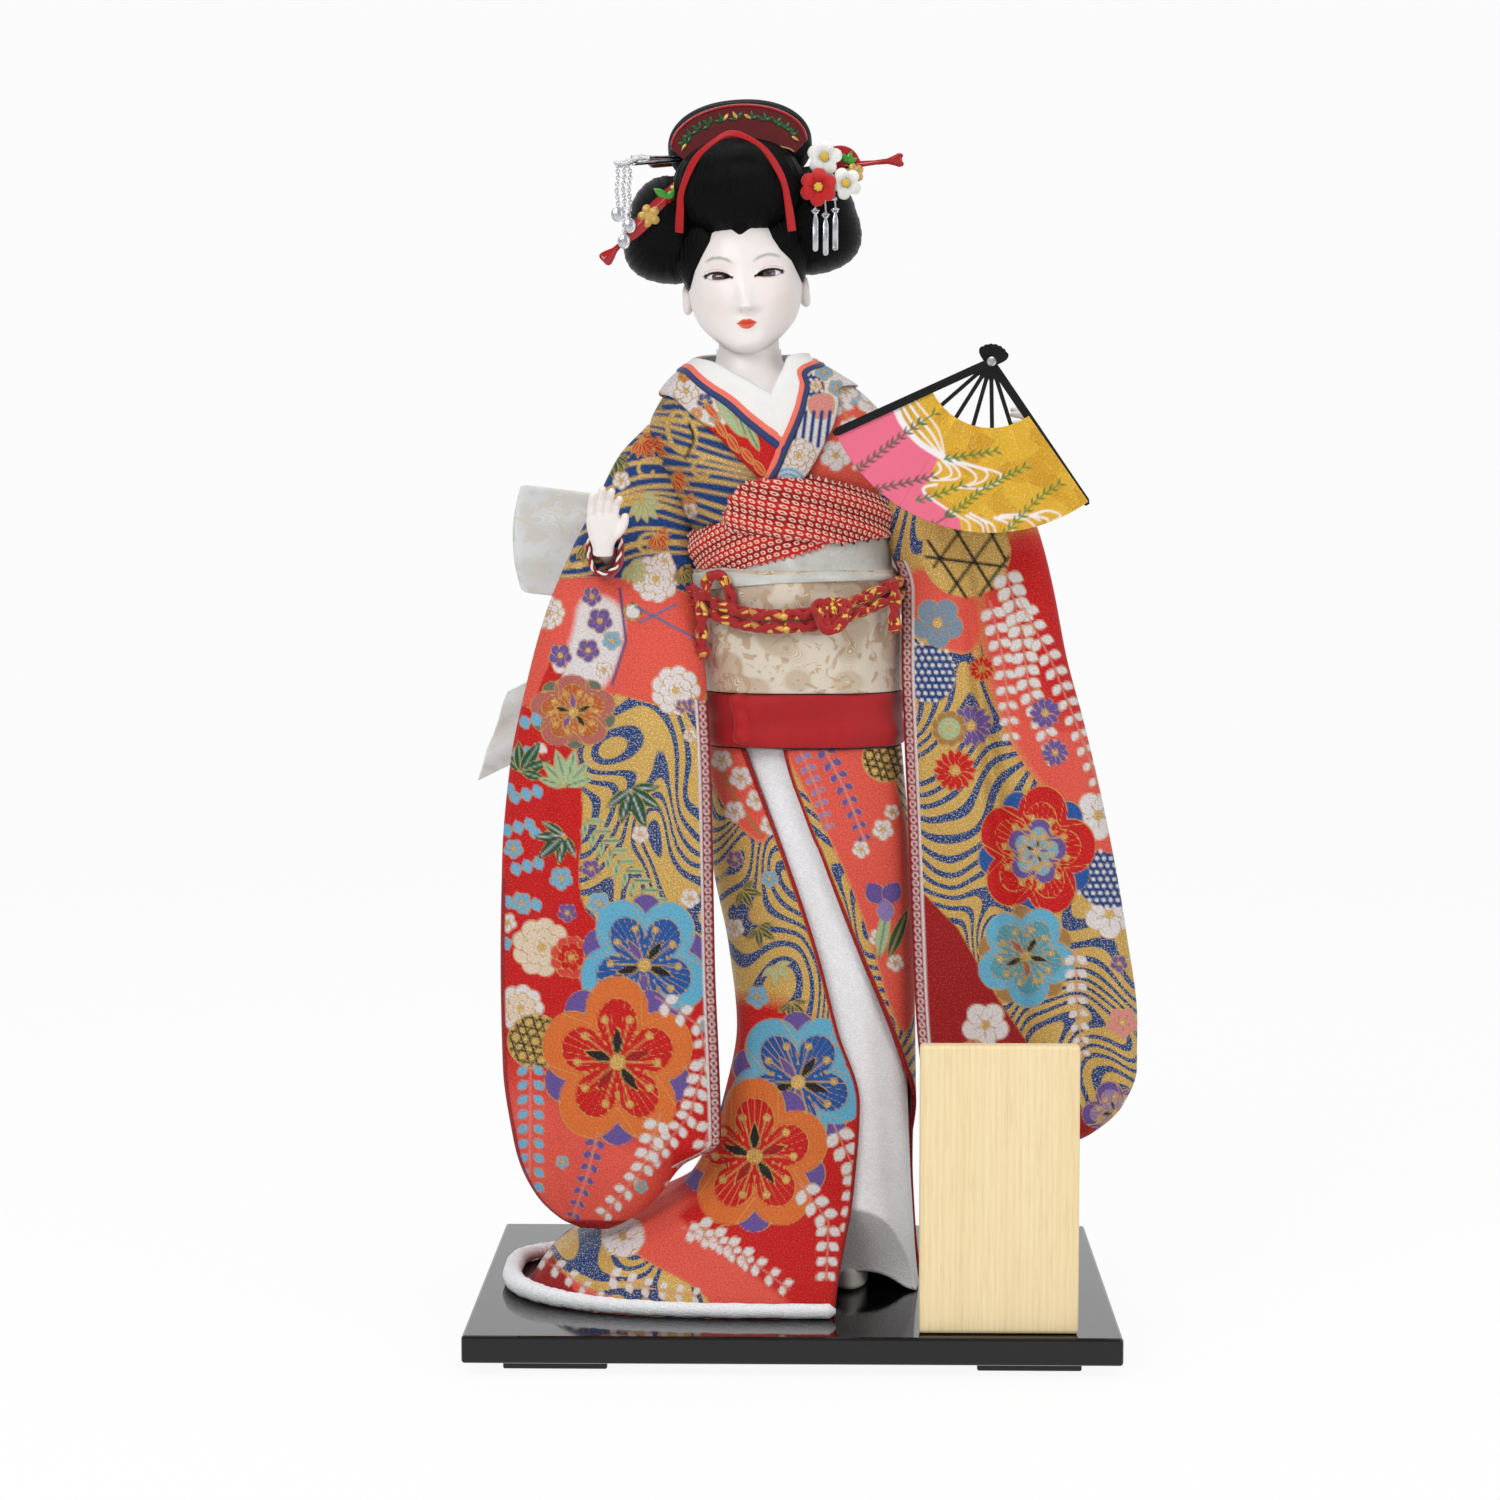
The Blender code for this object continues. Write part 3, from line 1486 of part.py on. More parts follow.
def roll_point(turn, share, lift):
    """A point in front of the front roll of hair."""
    x = math.cos(turn) * share
    z = math.sin(turn) * share
    depth = math.sqrt(max(0.0, 1 - min(1.0, x * x + z * z)))
    return Vector((
        (front_roll_half_width + lift) * x,
        front_roll_y - (front_roll_half_depth + lift) * depth,
        front_roll_z + (front_roll_half_height + lift) * z,
    ))


def make_ribbon(frame, rooms):
    silk = material("red_ribbon", (0.62, 0.01, 0.02), 0.5)
    points = []
    count = 20
    lift = ribbon_radius + ribbon_lift
    for i in range(count):
        along = -1 + 2 * i / (count - 1)
        turn = math.pi / 2 - along * math.radians(128)
        points.append(roll_point(turn, 0.93, lift))
    ribbon = to_mesh(tube("ribbon", points, ribbon_radius, silk, frame))
    for kind in ("wing_free", "wing_fan", "roll", "knot", "crown", "head"):
        boolean(ribbon, rooms[kind])


def make_bar(frame):
    shell = material("brown_shell", (0.20, 0.05, 0.03), 0.2)
    bar = turned(
        "hair_bar",
        (
            (0, bar_half_length),
            (bar_radius * 0.9, bar_half_length),
            (bar_radius, bar_half_length - bar_radius * 0.3),
            (bar_radius, -bar_half_length + bar_radius * 0.3),
            (bar_radius * 0.9, -bar_half_length),
            (0, -bar_half_length),
        ),
        shell,
        frame,
        12,
    )
    bar.location = (knot_x, bar_y, bar_z)
    bar.rotation_euler = (0, math.pi / 2, 0)


def blade_outline(length, root, width, tail, tail_width):
    """A long leaf that ends in a small flared tail, along +X from its root."""
    upper = [
        (0.0, root / 2),
        (length * 0.25, width * 0.40),
        (length * 0.55, width * 0.50),
        (length * 0.80, width * 0.40),
        (length * 0.95, width * 0.16),
        (length + tail * 0.45, tail_width * 0.22),
        (length + tail * 0.75, tail_width * 0.50),
        (length + tail, tail_width * 0.30),
    ]
    middle = [(length + tail * 0.86, 0.0)]
    return upper + middle + [(x, -y) for x, y in reversed(upper)]


def make_pins(frame, rooms):
    lacquer = material("red_lacquer", (0.42, 0.01, 0.01), 0.15)
    silver = material("silver_metal", (0.75, 0.76, 0.78), 0.25, 1.0)
    outline = blade_outline(blade_length, blade_root_width, blade_width, blade_tail_length, blade_tail_width)
    blade = plate("pin_blade", [outline], blade_thickness, lacquer, frame)
    along = (Vector(blade_tip) - Vector(blade_root)).normalized()
    across = Vector((0, -1, 0)).cross(along).normalized()
    lie = Matrix((along, across, along.cross(across))).transposed().to_4x4()
    lie.translation = Vector(blade_root)
    blade.matrix_local = lie
    blade = to_mesh(blade)
    for kind in ("roll", "wing_free", "crown"):
        boolean(blade, rooms[kind])
    disc = []
    for i in range(7, 42):
        turn = 2 * math.pi * i / 48
        disc.append((disc_radius * math.cos(turn), disc_radius * math.sin(turn)))
    arm = disc_radius + disc_arm_length
    low = [
        (disc_radius * 0.98, -disc_arm_width / 2),
        (arm - disc_flare_length, -disc_arm_width / 2),
        (arm - disc_flare_length * 0.3, -disc_flare_width / 2),
        (arm, -disc_flare_width * 0.30),
    ]
    disc = disc + low + [(arm - disc_flare_length * 0.2, 0.0)] + [(x, -y) for x, y in reversed(low)]
    paddle = plate("pin_paddle", [disc], disc_thickness, lacquer, frame)
    paddle.location = disc_place
    paddle.rotation_euler = (math.pi / 2, -disc_turn, 0)
    paddle = to_mesh(paddle)
    for kind in ("roll", "wing_fan", "crown", "knot"):
        boolean(paddle, rooms[kind])
    rod = tube("pin_silver", [pin_tip, pin_head], pin_radius, silver, frame)
    rod = to_mesh(rod)
    head = Vector(pin_head)
    across = Vector((pin_bar_half_length, 0, 0))
    bar = to_mesh(tube("pin_bar", [head - across, head + across], pin_radius * 1.2, None, frame))
    boolean(rod, as_cutter(bar), "UNION")
    for kind in ("roll", "wing_free", "crown", "knot"):
        boolean(rod, rooms[kind])


def flower_outline(radius):
    outline = []
    steps = 8 * flower_petals
    for i in range(steps):
        turn = 2 * math.pi * i / steps
        lobe = abs(math.cos(flower_petals * turn / 2)) ** 0.7
        reach = radius * (0.55 + 0.45 * lobe)
        outline.append((reach * math.cos(turn + math.pi / 2), reach * math.sin(turn + math.pi / 2)))
    return outline


def make_flowers(frame, rooms):
    white = material("white_petals", (0.90, 0.89, 0.85), 0.6)
    red = material("red_petals", (0.62, 0.01, 0.01), 0.6)
    named = (("flower_white_high", flower_white_radius, white), ("flower_red", flower_red_radius, red),
             ("flower_white_low", flower_white_radius * 0.9, white))
    for (name, radius, finish), place in zip(named, flower_places):
        flower = plate(name, [flower_outline(radius)], flower_thickness, finish, frame)
        flower.location = place
        flower.rotation_euler = (math.pi / 2, 0, 0)
    gap = flower_thickness / 2 + seat_gap
    root = Vector(flower_root)
    silver = material("silver_metal", (0.75, 0.76, 0.78), 0.25, 1.0)
    past = (root - Vector(flower_anchor)).normalized() * flower_stem_radius
    stem = to_mesh(tube("flower_stem", [flower_anchor, root + past], flower_stem_radius, silver, frame, sides=1))
    for i, place in enumerate(flower_places):
        end = Vector(place) + Vector((0, gap + flower_stem_radius * (1.2, 2.3, 3.1)[i], 0))
        past = (root - end).normalized() * flower_stem_radius * 0.5
        line = [root + past, end]
        piece = to_mesh(tube(f"flower_stem_{i}", line, flower_stem_radius, None, frame, sides=1))
        boolean(stem, as_cutter(piece), "UNION")
    return stem


def make_pendants(frame, stem):
    silver = material("silver_metal", (0.75, 0.76, 0.78), 0.25, 1.0)
    low = Vector(flower_places[1]) + Vector((0, flower_thickness / 2 + seat_gap + flower_stem_radius * 1.5, 0))
    first = Vector(pendant_places[0])
    last = Vector(pendant_places[2])
    reach = Vector((pendant_ring_radius * 0.6, 0, 0))
    middle = (first + last) / 2
    rail_z = middle.z + pendant_ring_radius * 2.6
    holder = [low, Vector((low.x, middle.y, rail_z))]
    piece = to_mesh(tube("pendant_drop", holder, flower_stem_radius, None, frame, sides=1))
    boolean(stem, as_cutter(piece), "UNION")
    rail = [Vector((first.x, first.y, rail_z)) - reach, Vector((last.x, last.y, rail_z)) + reach]
    piece = to_mesh(tube("pendant_rail", rail, flower_stem_radius, None, frame, sides=1))
    boolean(stem, as_cutter(piece), "UNION")
    for i, place in enumerate(pendant_places):
        centre = Vector(place)
        post = [Vector((centre.x, centre.y, rail_z)), centre]
        hook = to_mesh(tube(f"pendant_hook_{i}", post, pendant_wire, None, frame, sides=1))
        boolean(stem, as_cutter(hook), "UNION")
        across = Vector((pendant_ring_radius, 0, 0))
        line = [centre - across, centre + across]
        axle = to_mesh(tube(f"pendant_axle_{i}", line, pendant_wire, None, frame, sides=1))
        boolean(stem, as_cutter(axle), "UNION")


def make_pendant_strips(frame):
    silver = material("silver_metal", (0.75, 0.76, 0.78), 0.25, 1.0)
    for i, place in enumerate(pendant_places):
        pivot = empty(f"pendant_pivot_{i + 1}", place, frame, (0, -head_tilt, 0))
        top = -pendant_wire - seat_gap
        outline = [
            (-pendant_half_width * 0.6, top),
            (pendant_half_width * 0.6, top),
            (pendant_half_width, top - pendant_half_width * 2),
            (pendant_half_width * 1.5, top - pendant_length + pendant_half_width),
            (pendant_half_width * 0.9, top - pendant_length),
            (-pendant_half_width * 0.9, top - pendant_length),
            (-pendant_half_width * 1.5, top - pendant_length + pendant_half_width),
            (-pendant_half_width, top - pendant_half_width * 2),
        ]
        strip = plate(f"pendant_strip_{i + 1}", [outline], pendant_half_thickness * 2, silver, pivot)
        strip.rotation_euler = (math.pi / 2, 0, 0)


def make_tassel(frame):
    silver = material("silver_metal", (0.75, 0.76, 0.78), 0.25, 1.0)
    place = Vector(pin_head) + Vector((-pin_bar_half_length * 0.55, 0, 0))
    pivot = empty("tassel_pivot", place, frame, (0, -head_tilt, 0))
    top = -pin_radius * 1.2 - seat_gap - tassel_wire
    yoke = [Vector((-tassel_spread, 0, top)), Vector((tassel_spread, 0, top))]
    tassel = to_mesh(tube("chain_tassel", yoke, tassel_wire, silver, pivot, sides=1))
    for i, share in enumerate((-0.8, 0.1, 0.9)):
        length = tassel_length * (0.62, 1.0, 0.78)[i]
        x = tassel_spread * share
        points = []
        radii = []
        count = 5
        for k in range(count):
            points.append(Vector((x, 0, top - length * k / (count - 1))))
            radii.append(1.0 if k % 2 else 0.6)
        strand = to_mesh(tube(f"tassel_strand_{i}", points, tassel_wire, None, pivot, sides=1, radii=radii))
        boolean(tassel, as_cutter(strand), "UNION")
        disc = turned(
            f"tassel_disc_{i}",
            (
                (0, tassel_disc_thickness / 2),
                (tassel_disc_radius, tassel_disc_thickness / 2),
                (tassel_disc_radius, -tassel_disc_thickness / 2),
                (0, -tassel_disc_thickness / 2),
            ),
            None,
            pivot,
            10,
        )
        disc.location = (x, 0, top - length - tassel_disc_radius * 0.6)
        disc.rotation_euler = (math.pi / 2, 0, 0)
        boolean(tassel, as_cutter(disc), "UNION")


# ---------------------------------------------------------------- fan
def slat_outline(length, width, head_length, head_width):
    """A slat along +X, with its rounded head behind the rivet at the origin."""
    outline = []
    for i in range(7):
        turn = math.radians(90 + 30 * i)
        outline.append((
            -head_length * 0.55 + head_length * 0.45 * math.cos(turn),
            head_width / 2 * math.sin(turn),
        ))
    outline += [
        (0.0, -head_width / 2),
        (head_width * 0.5, -head_width * 0.38),
        (fan_leaf_inner * 0.3, -width / 2),
        (length - width / 2, -width / 2),
        (length, -width * 0.25),
        (length, width * 0.25),
        (length - width / 2, width / 2),
        (fan_leaf_inner * 0.3, width / 2),
        (head_width * 0.5, head_width * 0.38),
        (0.0, head_width / 2),
    ]
    return outline


def circle_outline(radius, count=12):
    return [
        (radius * math.cos(2 * math.pi * i / count), radius * math.sin(2 * math.pi * i / count))
        for i in range(count)
    ]


def slat_layer(index):
    """How far this slat's middle plane lies behind the front guard's."""
    if index == 0:
        return 0.0
    first = fan_guard_thickness / 2 + fan_leaf_thickness + 2 * seat_gap + fan_rib_thickness / 2
    extra = (fan_guard_thickness - fan_rib_thickness) / 2 if index == fan_inner_ribs + 1 else 0.0
    return first + fan_slat_pitch * (index - 1) + extra


def slat_angle(index):
    share = index / (fan_inner_ribs + 1)
    return fan_open_angle + (fan_held_angle - fan_open_angle) * share


def make_fan():
    black = material("black_ribs", (0.012, 0.012, 0.012), 0.3)
    gold = material("gold_leaf", (0.80, 0.55, 0.12), 0.35, 0.7)
    silver = material("silver_metal", (0.75, 0.76, 0.78), 0.25, 1.0)
    pivot = Vector(fan_pivot)
    last = fan_inner_ribs + 1
    for index in range(last + 1):
        guard = index in (0, last)
        width = fan_guard_width if guard else fan_rib_width
        thickness = fan_guard_thickness if guard else fan_rib_thickness
        length = fan_radius if guard else fan_radius - fan_leaf_margin
        name = {0: "fan_guard_front", last: "fan_guard_held"}.get(index, f"fan_rib_{index}")
        head_width = fan_head_width
        outline = slat_outline(length, width, fan_head_length, head_width)
        slat = plate(name, [outline, circle_outline(fan_rivet_hole)], thickness, black)
        slat.location = pivot + Vector((0, slat_layer(index), 0))
        slat.rotation_euler = (math.pi / 2, -slat_angle(index), 0)
    front = -fan_guard_thickness / 2 - seat_gap
    back = slat_layer(last) + fan_guard_thickness / 2 + seat_gap
    rivet = turned(
        "fan_rivet",
        (
            (0, -front + fan_rivet_head_thickness),
            (fan_rivet_head * 0.7, -front + fan_rivet_head_thickness),
            (fan_rivet_head, -front),
            (fan_rivet_radius, -front),
            (fan_rivet_radius, -back),
            (fan_rivet_head, -back),
            (fan_rivet_head * 0.7, -back - fan_rivet_head_thickness),
            (0, -back - fan_rivet_head_thickness),
        ),
        silver,
        None,
        16,
    )
    rivet.location = pivot
    rivet.rotation_euler = (math.pi / 2, 0, 0)
    make_leaf(pivot, gold)


def leaf_seat(index):
    """How far the leaf's middle plane lies behind the front guard's where this slat carries it."""
    if index == 0:
        return (fan_guard_thickness + fan_leaf_thickness) / 2 + seat_gap
    held = index == fan_inner_ribs + 1
    thickness = fan_guard_thickness if held else fan_rib_thickness
    return slat_layer(index) - (thickness + fan_leaf_thickness) / 2 - seat_gap


def leaf_depth(share):
    """The leaf's depth along the spread, with a pleat standing forward between slats."""
    last = fan_inner_ribs + 1
    at = share * last
    low = int(min(last - 1, at))
    seat = leaf_seat(low) + (leaf_seat(low + 1) - leaf_seat(low)) * (at - low)
    pleat = abs(math.sin(math.pi * (at - low)))
    return seat - fan_pleat_depth * pleat * min(1.0, at)


def make_leaf(pivot, gold):
    sections = []
    steps = 36
    edge = fan_guard_width * 0.25 / fan_radius
    for i in range(steps + 1):
        share = i / steps
        angle = fan_open_angle - edge + (fan_held_angle + 2 * edge - fan_open_angle) * share
        y = leaf_depth(share)
        section = []
        for reach, side in (
            (fan_leaf_inner, -1),
            (fan_radius - fan_leaf_margin, -1),
            (fan_radius - fan_leaf_margin, 1),
            (fan_leaf_inner, 1),
        ):
            section.append(pivot + Vector((
                reach * math.cos(angle),
                y + side * fan_leaf_thickness / 2,
                reach * math.sin(angle),
            )))
        sections.append(section)
    add("fan_leaf", loft_mesh("fan_leaf", sections), gold)


# ---------------------------------------------------------------- bow
def bow_back():
    """The Y of the bow's middle plane, behind the waist band and its cord."""
    _, _, depth = body_row(bow_height)
    behind = seat_gap * 3 + band_thickness + 2 * cord_radius - bow_sink
    return body_centre_y + depth + behind + bow_knot_half_depth


def bow_loop_rings(middle_x, y, side, length):
    rings = []
    for step in range(7):
        share = step / 6
        x = middle_x + side * length * share
        half = bow_loop_width / 2 * (0.30 + 0.70 * math.sin(min(1.0, share * 1.7 + 0.05) * math.pi / 2))
        thick = bow_loop_thickness / 2 * (0.5 + 0.5 * math.sin(math.pi * min(1.0, share * 0.9 + 0.1)))
        z = bow_height + bow_loop_rise * share * (1 if side < 0 else 0.4)
        ring = []
        for i in range(12):
            cy, cz = rounded(2 * math.pi * i / 12, 2.8)
            ring.append(Vector((x, y + thick * cy, z + half * cz)))
        rings.append(ring)
    return rings


def make_bow():
    brocade = material("pale_brocade", (0.74, 0.70, 0.62), 0.5, 0.15)
    middle_x = body_row(bow_height)[0]
    y = bow_back()
    sizes = (bow_knot_half_width, bow_knot_half_depth, bow_knot_half_height)
    place = (middle_x, y, bow_height)
    knot = ellipsoid("bow", sizes, place, brocade, segments=12, rings=6)
    for side, length in ((-1, bow_loop_length), (1, bow_fan_loop_length)):
        loop = add(f"bow_loop_{side}", loft_mesh("bow_loop", bow_loop_rings(middle_x, y, side, length)), None)
        boolean(knot, as_cutter(loop), "UNION")
    rings = []
    tail_y = y + (bow_loop_thickness + bow_tail_thickness) / 2 + seat_gap
    for step in range(9):
        share = step / 8
        x = middle_x - bow_tail_length * 0.90 * share
        z = bow_height - bow_knot_half_height * 0.6 - bow_tail_length * 0.42 * share
        half = bow_tail_width / 2 * (0.5 + 0.5 * min(1.0, share * 2))
        ring = []
        for i in range(12):
            cy, cz = rounded(2 * math.pi * i / 12, 3.0)
            ring.append(Vector((
                x + half * 0.35 * cz,
                tail_y + bow_tail_thickness / 2 * cy,
                z + half * cz,
            )))
        rings.append(ring)
    tail = add("bow_tail", loft_mesh("bow_tail", rings), brocade)
    grown = tuple(size + seat_gap for size in sizes)
    room = ellipsoid("bow_room", grown, place, segments=12, rings=6)
    boolean(tail, as_cutter(room))


# ---------------------------------------------------------------- whole
def make_arms_and_sleeves(body, scarf, belt, collar):
    arms = {}
    for side, word, elbow, wrist in (
        (-1, "free", free_elbow, free_wrist),
        (1, "fan", fan_elbow, fan_wrist),
    ):
        arm, shade, room = make_arm(f"arm_{word}", side, elbow, wrist)
        arms[word] = (arm, shade)
        cuff_room = make_cuff(f"inner_cuff_{word}", elbow, wrist, room)
        if side < 0:
            make_sleeve(
                "sleeve_free", free_sleeve_shares, free_sleeve_top, free_sleeve_drop,
                free_sleeve_width, free_sleeve_depth, free_sleeve_line, -1, free_fold_phase,
                (body, scarf, belt, collar, room, cuff_room),
            )
        else:
            make_sleeve(
                "sleeve_fan", fan_sleeve_shares, fan_sleeve_top, fan_sleeve_drop,
                fan_sleeve_width, fan_sleeve_depth, fan_sleeve_line, 1, fan_fold_phase,
                (collar, body, scarf, belt, room, cuff_room),
            )
    return arms


def make_hands(arms):
    """Each hand with the arm that carries it from the dressed shoulder."""
    frame = hand_frame(free_wrist, (0.05, -0.30, 0.95), (0.35, -0.9, 0.0))
    hand = make_hand("hand_free", frame, (0.10, 0.12, 0.16, 0.22), 0.08, 1, 0.2)
    boolean(hand, arms["free"][0], "UNION")
    boolean(hand, arms["free"][1])
    frame = hand_frame(fan_wrist, (-0.20, -0.62, 0.72), (-0.9, -0.1, -0.3))
    hand = make_hand("hand_fan", frame, (0.30, 0.35, 0.42, 0.50), 0.05, -1, 0.5)
    boolean(hand, arms["fan"][0], "UNION")
    boolean(hand, arms["fan"][1])


def main():
    clear_scene()
    make_stand()
    make_name_plate()
    make_core()
    make_bodice()
    body = body_room("body_room")
    scarf = scarf_room()
    collar = make_collars(body, scarf)
    make_waist()
    make_cord()
    under = make_skirts()
    make_legs(under)
    make_hem_roll()
    make_hands(make_arms_and_sleeves(body, scarf, belt_room(), collar))
    turn = empty("head_pivot", (neck_x, body_centre_y, head_turn_height))
    frame = empty(
        "head_frame",
        (head_x - neck_x, head_y - body_centre_y, head_z - head_turn_height),
        turn,
        (0, head_tilt, 0),
    )
    make_head(frame)
    rooms = make_hair(frame)
    make_comb(frame, rooms)
    make_ribbon(frame, rooms)
    make_bar(frame)
    make_pins(frame, rooms)
    stem = make_flowers(frame, rooms)
    make_pendants(frame, stem)
    for kind in ("wing_fan", "roll", "crown"):
        boolean(stem, rooms[kind])
    make_pendant_strips(frame)
    make_tassel(frame)
    make_fan()
    make_bow()


main()
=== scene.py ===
"""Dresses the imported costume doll: cloth, hair, face, ornaments, fan, stand and the studio round it."""

import json
import math

import bmesh
import bpy
import numpy as np
from mathutils import Matrix, Vector

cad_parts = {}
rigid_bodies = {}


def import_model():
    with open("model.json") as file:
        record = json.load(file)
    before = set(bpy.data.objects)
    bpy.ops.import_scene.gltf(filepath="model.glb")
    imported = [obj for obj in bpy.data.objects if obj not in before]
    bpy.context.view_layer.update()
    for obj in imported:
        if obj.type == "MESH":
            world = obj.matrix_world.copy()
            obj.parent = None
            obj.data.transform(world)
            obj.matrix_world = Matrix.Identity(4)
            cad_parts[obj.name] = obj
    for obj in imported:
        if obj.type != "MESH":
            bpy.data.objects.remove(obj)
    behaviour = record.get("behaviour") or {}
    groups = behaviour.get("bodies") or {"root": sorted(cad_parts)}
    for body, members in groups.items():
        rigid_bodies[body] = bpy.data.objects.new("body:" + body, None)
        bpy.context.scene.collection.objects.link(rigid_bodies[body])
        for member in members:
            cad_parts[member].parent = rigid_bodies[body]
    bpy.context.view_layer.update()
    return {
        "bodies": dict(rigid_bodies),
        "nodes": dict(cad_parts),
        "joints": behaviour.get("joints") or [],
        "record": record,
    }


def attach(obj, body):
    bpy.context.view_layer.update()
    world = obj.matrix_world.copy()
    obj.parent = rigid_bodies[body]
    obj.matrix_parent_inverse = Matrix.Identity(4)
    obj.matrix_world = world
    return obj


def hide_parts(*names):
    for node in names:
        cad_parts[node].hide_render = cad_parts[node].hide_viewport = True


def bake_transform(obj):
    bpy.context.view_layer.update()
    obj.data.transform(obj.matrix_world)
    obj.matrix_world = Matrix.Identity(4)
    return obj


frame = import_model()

bl_info = {
    "name": "Costume doll with a fan",
    "version": (1, 0, 0),
    "blender": (4, 5, 0),
    "location": "View3D > Sidebar > Doll",
    "description": "Builds a dressed costume doll, its fan and its stand round a fixed frame",
    "category": "Object",
}

MM = 0.001


# ---------------------------------------------------------------- colours and sockets
def ink(red, green, blue):
    """A colour given as it looks on a screen, 0 to 255, as a linear colour."""
    parts = []
    for part in (red, green, blue):
        part = part / 255.0
        parts.append(part / 12.92 if part <= 0.04045 else ((part + 0.055) / 1.055) ** 2.4)
    return (*parts, 1.0)


class Wire:
    """One output of a node. Arithmetic on it adds Math nodes to its finish."""

    def __init__(self, finish, socket):
        self.finish = finish
        self.socket = socket

    def math(self, operation, *others):
        return self.finish.node("ShaderNodeMath", {"operation": operation}, [self, *others])

    def __add__(self, other):
        return self.math("ADD", other)

    __radd__ = __add__

    def __sub__(self, other):
        return self.math("SUBTRACT", other)

    def __rsub__(self, other):
        return self.finish.node("ShaderNodeMath", {"operation": "SUBTRACT"}, [other, self])

    def __mul__(self, other):
        return self.math("MULTIPLY", other)

    __rmul__ = __mul__

    def below(self, edge, soft=0.0):
        """One under the edge and zero over it, with a soft step of this width."""
        if not soft:
            return self.math("LESS_THAN", edge)
        return self.finish.spread(self, edge + soft / 2, edge - soft / 2)

    def above(self, edge, soft=0.0):
        if not soft:
            return self.math("GREATER_THAN", edge)
        return self.finish.spread(self, edge - soft / 2, edge + soft / 2)

    def clamp(self):
        return self.finish.node("ShaderNodeClamp", {}, [self])


class Finish:
    """A material that is put together node by node."""

    def __init__(self, name, **constants):
        self.material = bpy.data.materials.new(name)
        self.material.use_nodes = True
        self.tree = self.material.node_tree
        self.shader = self.tree.nodes["Principled BSDF"]
        self.known = {}
        for socket, value in constants.items():
            self.set(socket.replace("_", " ").title().replace("Ior", "IOR"), value)

    def node(self, kind, settings=None, inputs=(), output=0):
        made = self.tree.nodes.new(kind)
        for key, value in (settings or {}).items():
            if key == "stops":
                for i, (place, colour) in enumerate(value):
                    while len(made.color_ramp.elements) <= i:
                        made.color_ramp.elements.new(place)
                    made.color_ramp.elements[i].position = place
                    made.color_ramp.elements[i].color = colour
            else:
                setattr(made, key, value)
        pairs = inputs.items() if isinstance(inputs, dict) else enumerate(inputs)
        for key, value in pairs:
            if isinstance(value, Wire):
                self.tree.links.new(value.socket, made.inputs[key])
            elif value is not None:
                made.inputs[key].default_value = value
        return Wire(self, made.outputs[output])

    def set(self, socket, value):
        if isinstance(value, Wire):
            self.tree.links.new(value.socket, self.shader.inputs[socket])
        else:
            self.shader.inputs[socket].default_value = value

    def mix(self, factor, first, second, blend="MIX"):
        return self.node(
            "ShaderNodeMix", {"data_type": "RGBA", "blend_type": blend}, {0: factor, 6: first, 7: second}, 2
        )

    def spread(self, value, low, high, start=0.0, end=1.0):
        return self.node("ShaderNodeMapRange", {"clamp": True}, [value, low, high, start, end])

    def place(self):
        """The point on the piece, in metres, that stays with it when it moves."""
        if "place" not in self.known:
            self.known["place"] = self.node("ShaderNodeTexCoord", {}, (), "Object")
        return self.known["place"]

    def stored(self, name, output="Vector"):
        key = (name, output)
        if key not in self.known:
            self.known[key] = self.node("ShaderNodeAttribute", {"attribute_name": name}, (), output)
        return self.known[key]

    def parts(self, vector):
        """The three numbers of a vector."""
        split = self.node("ShaderNodeSeparateXYZ", {}, [vector])
        outs = split.socket.node.outputs
        return [Wire(self, outs[i]) for i in range(3)]

    def vector(self, *values):
        return self.node("ShaderNodeCombineXYZ", {}, values)

    def stretch(self, vector, scale, shift=(0, 0, 0), turn=(0, 0, 0)):
        return self.node("ShaderNodeMapping", {}, {0: vector, 1: shift, 2: turn, 3: scale})

    def noise(self, vector, scale, detail=2.0, rough=0.5, warp=0.0):
        return self.node(
            "ShaderNodeTexNoise", {},
            {"Vector": vector, "Scale": scale, "Detail": detail, "Roughness": rough, "Distortion": warp},
        )

    def cells(self, vector, scale, feature="F1", random=1.0, output="Distance"):
        return self.node(
            "ShaderNodeTexVoronoi", {"feature": feature},
            {"Vector": vector, "Scale": scale, "Randomness": random}, output,
        )

    def wave(self, vector, scale, warp=0.0, direction="X", detail=0.0, detail_scale=1.0):
        return self.node("ShaderNodeTexWave", {"bands_direction": direction},
            {"Vector": vector, "Scale": scale, "Distortion": warp, "Detail": detail,
            "Detail Scale": detail_scale}, "Fac",)

    def bump(self, height, strength=0.3, depth=0.0003):
        self.set("Normal", self.node(
            "ShaderNodeBump", {}, {"Strength": strength, "Distance": depth, "Height": height}
        ))


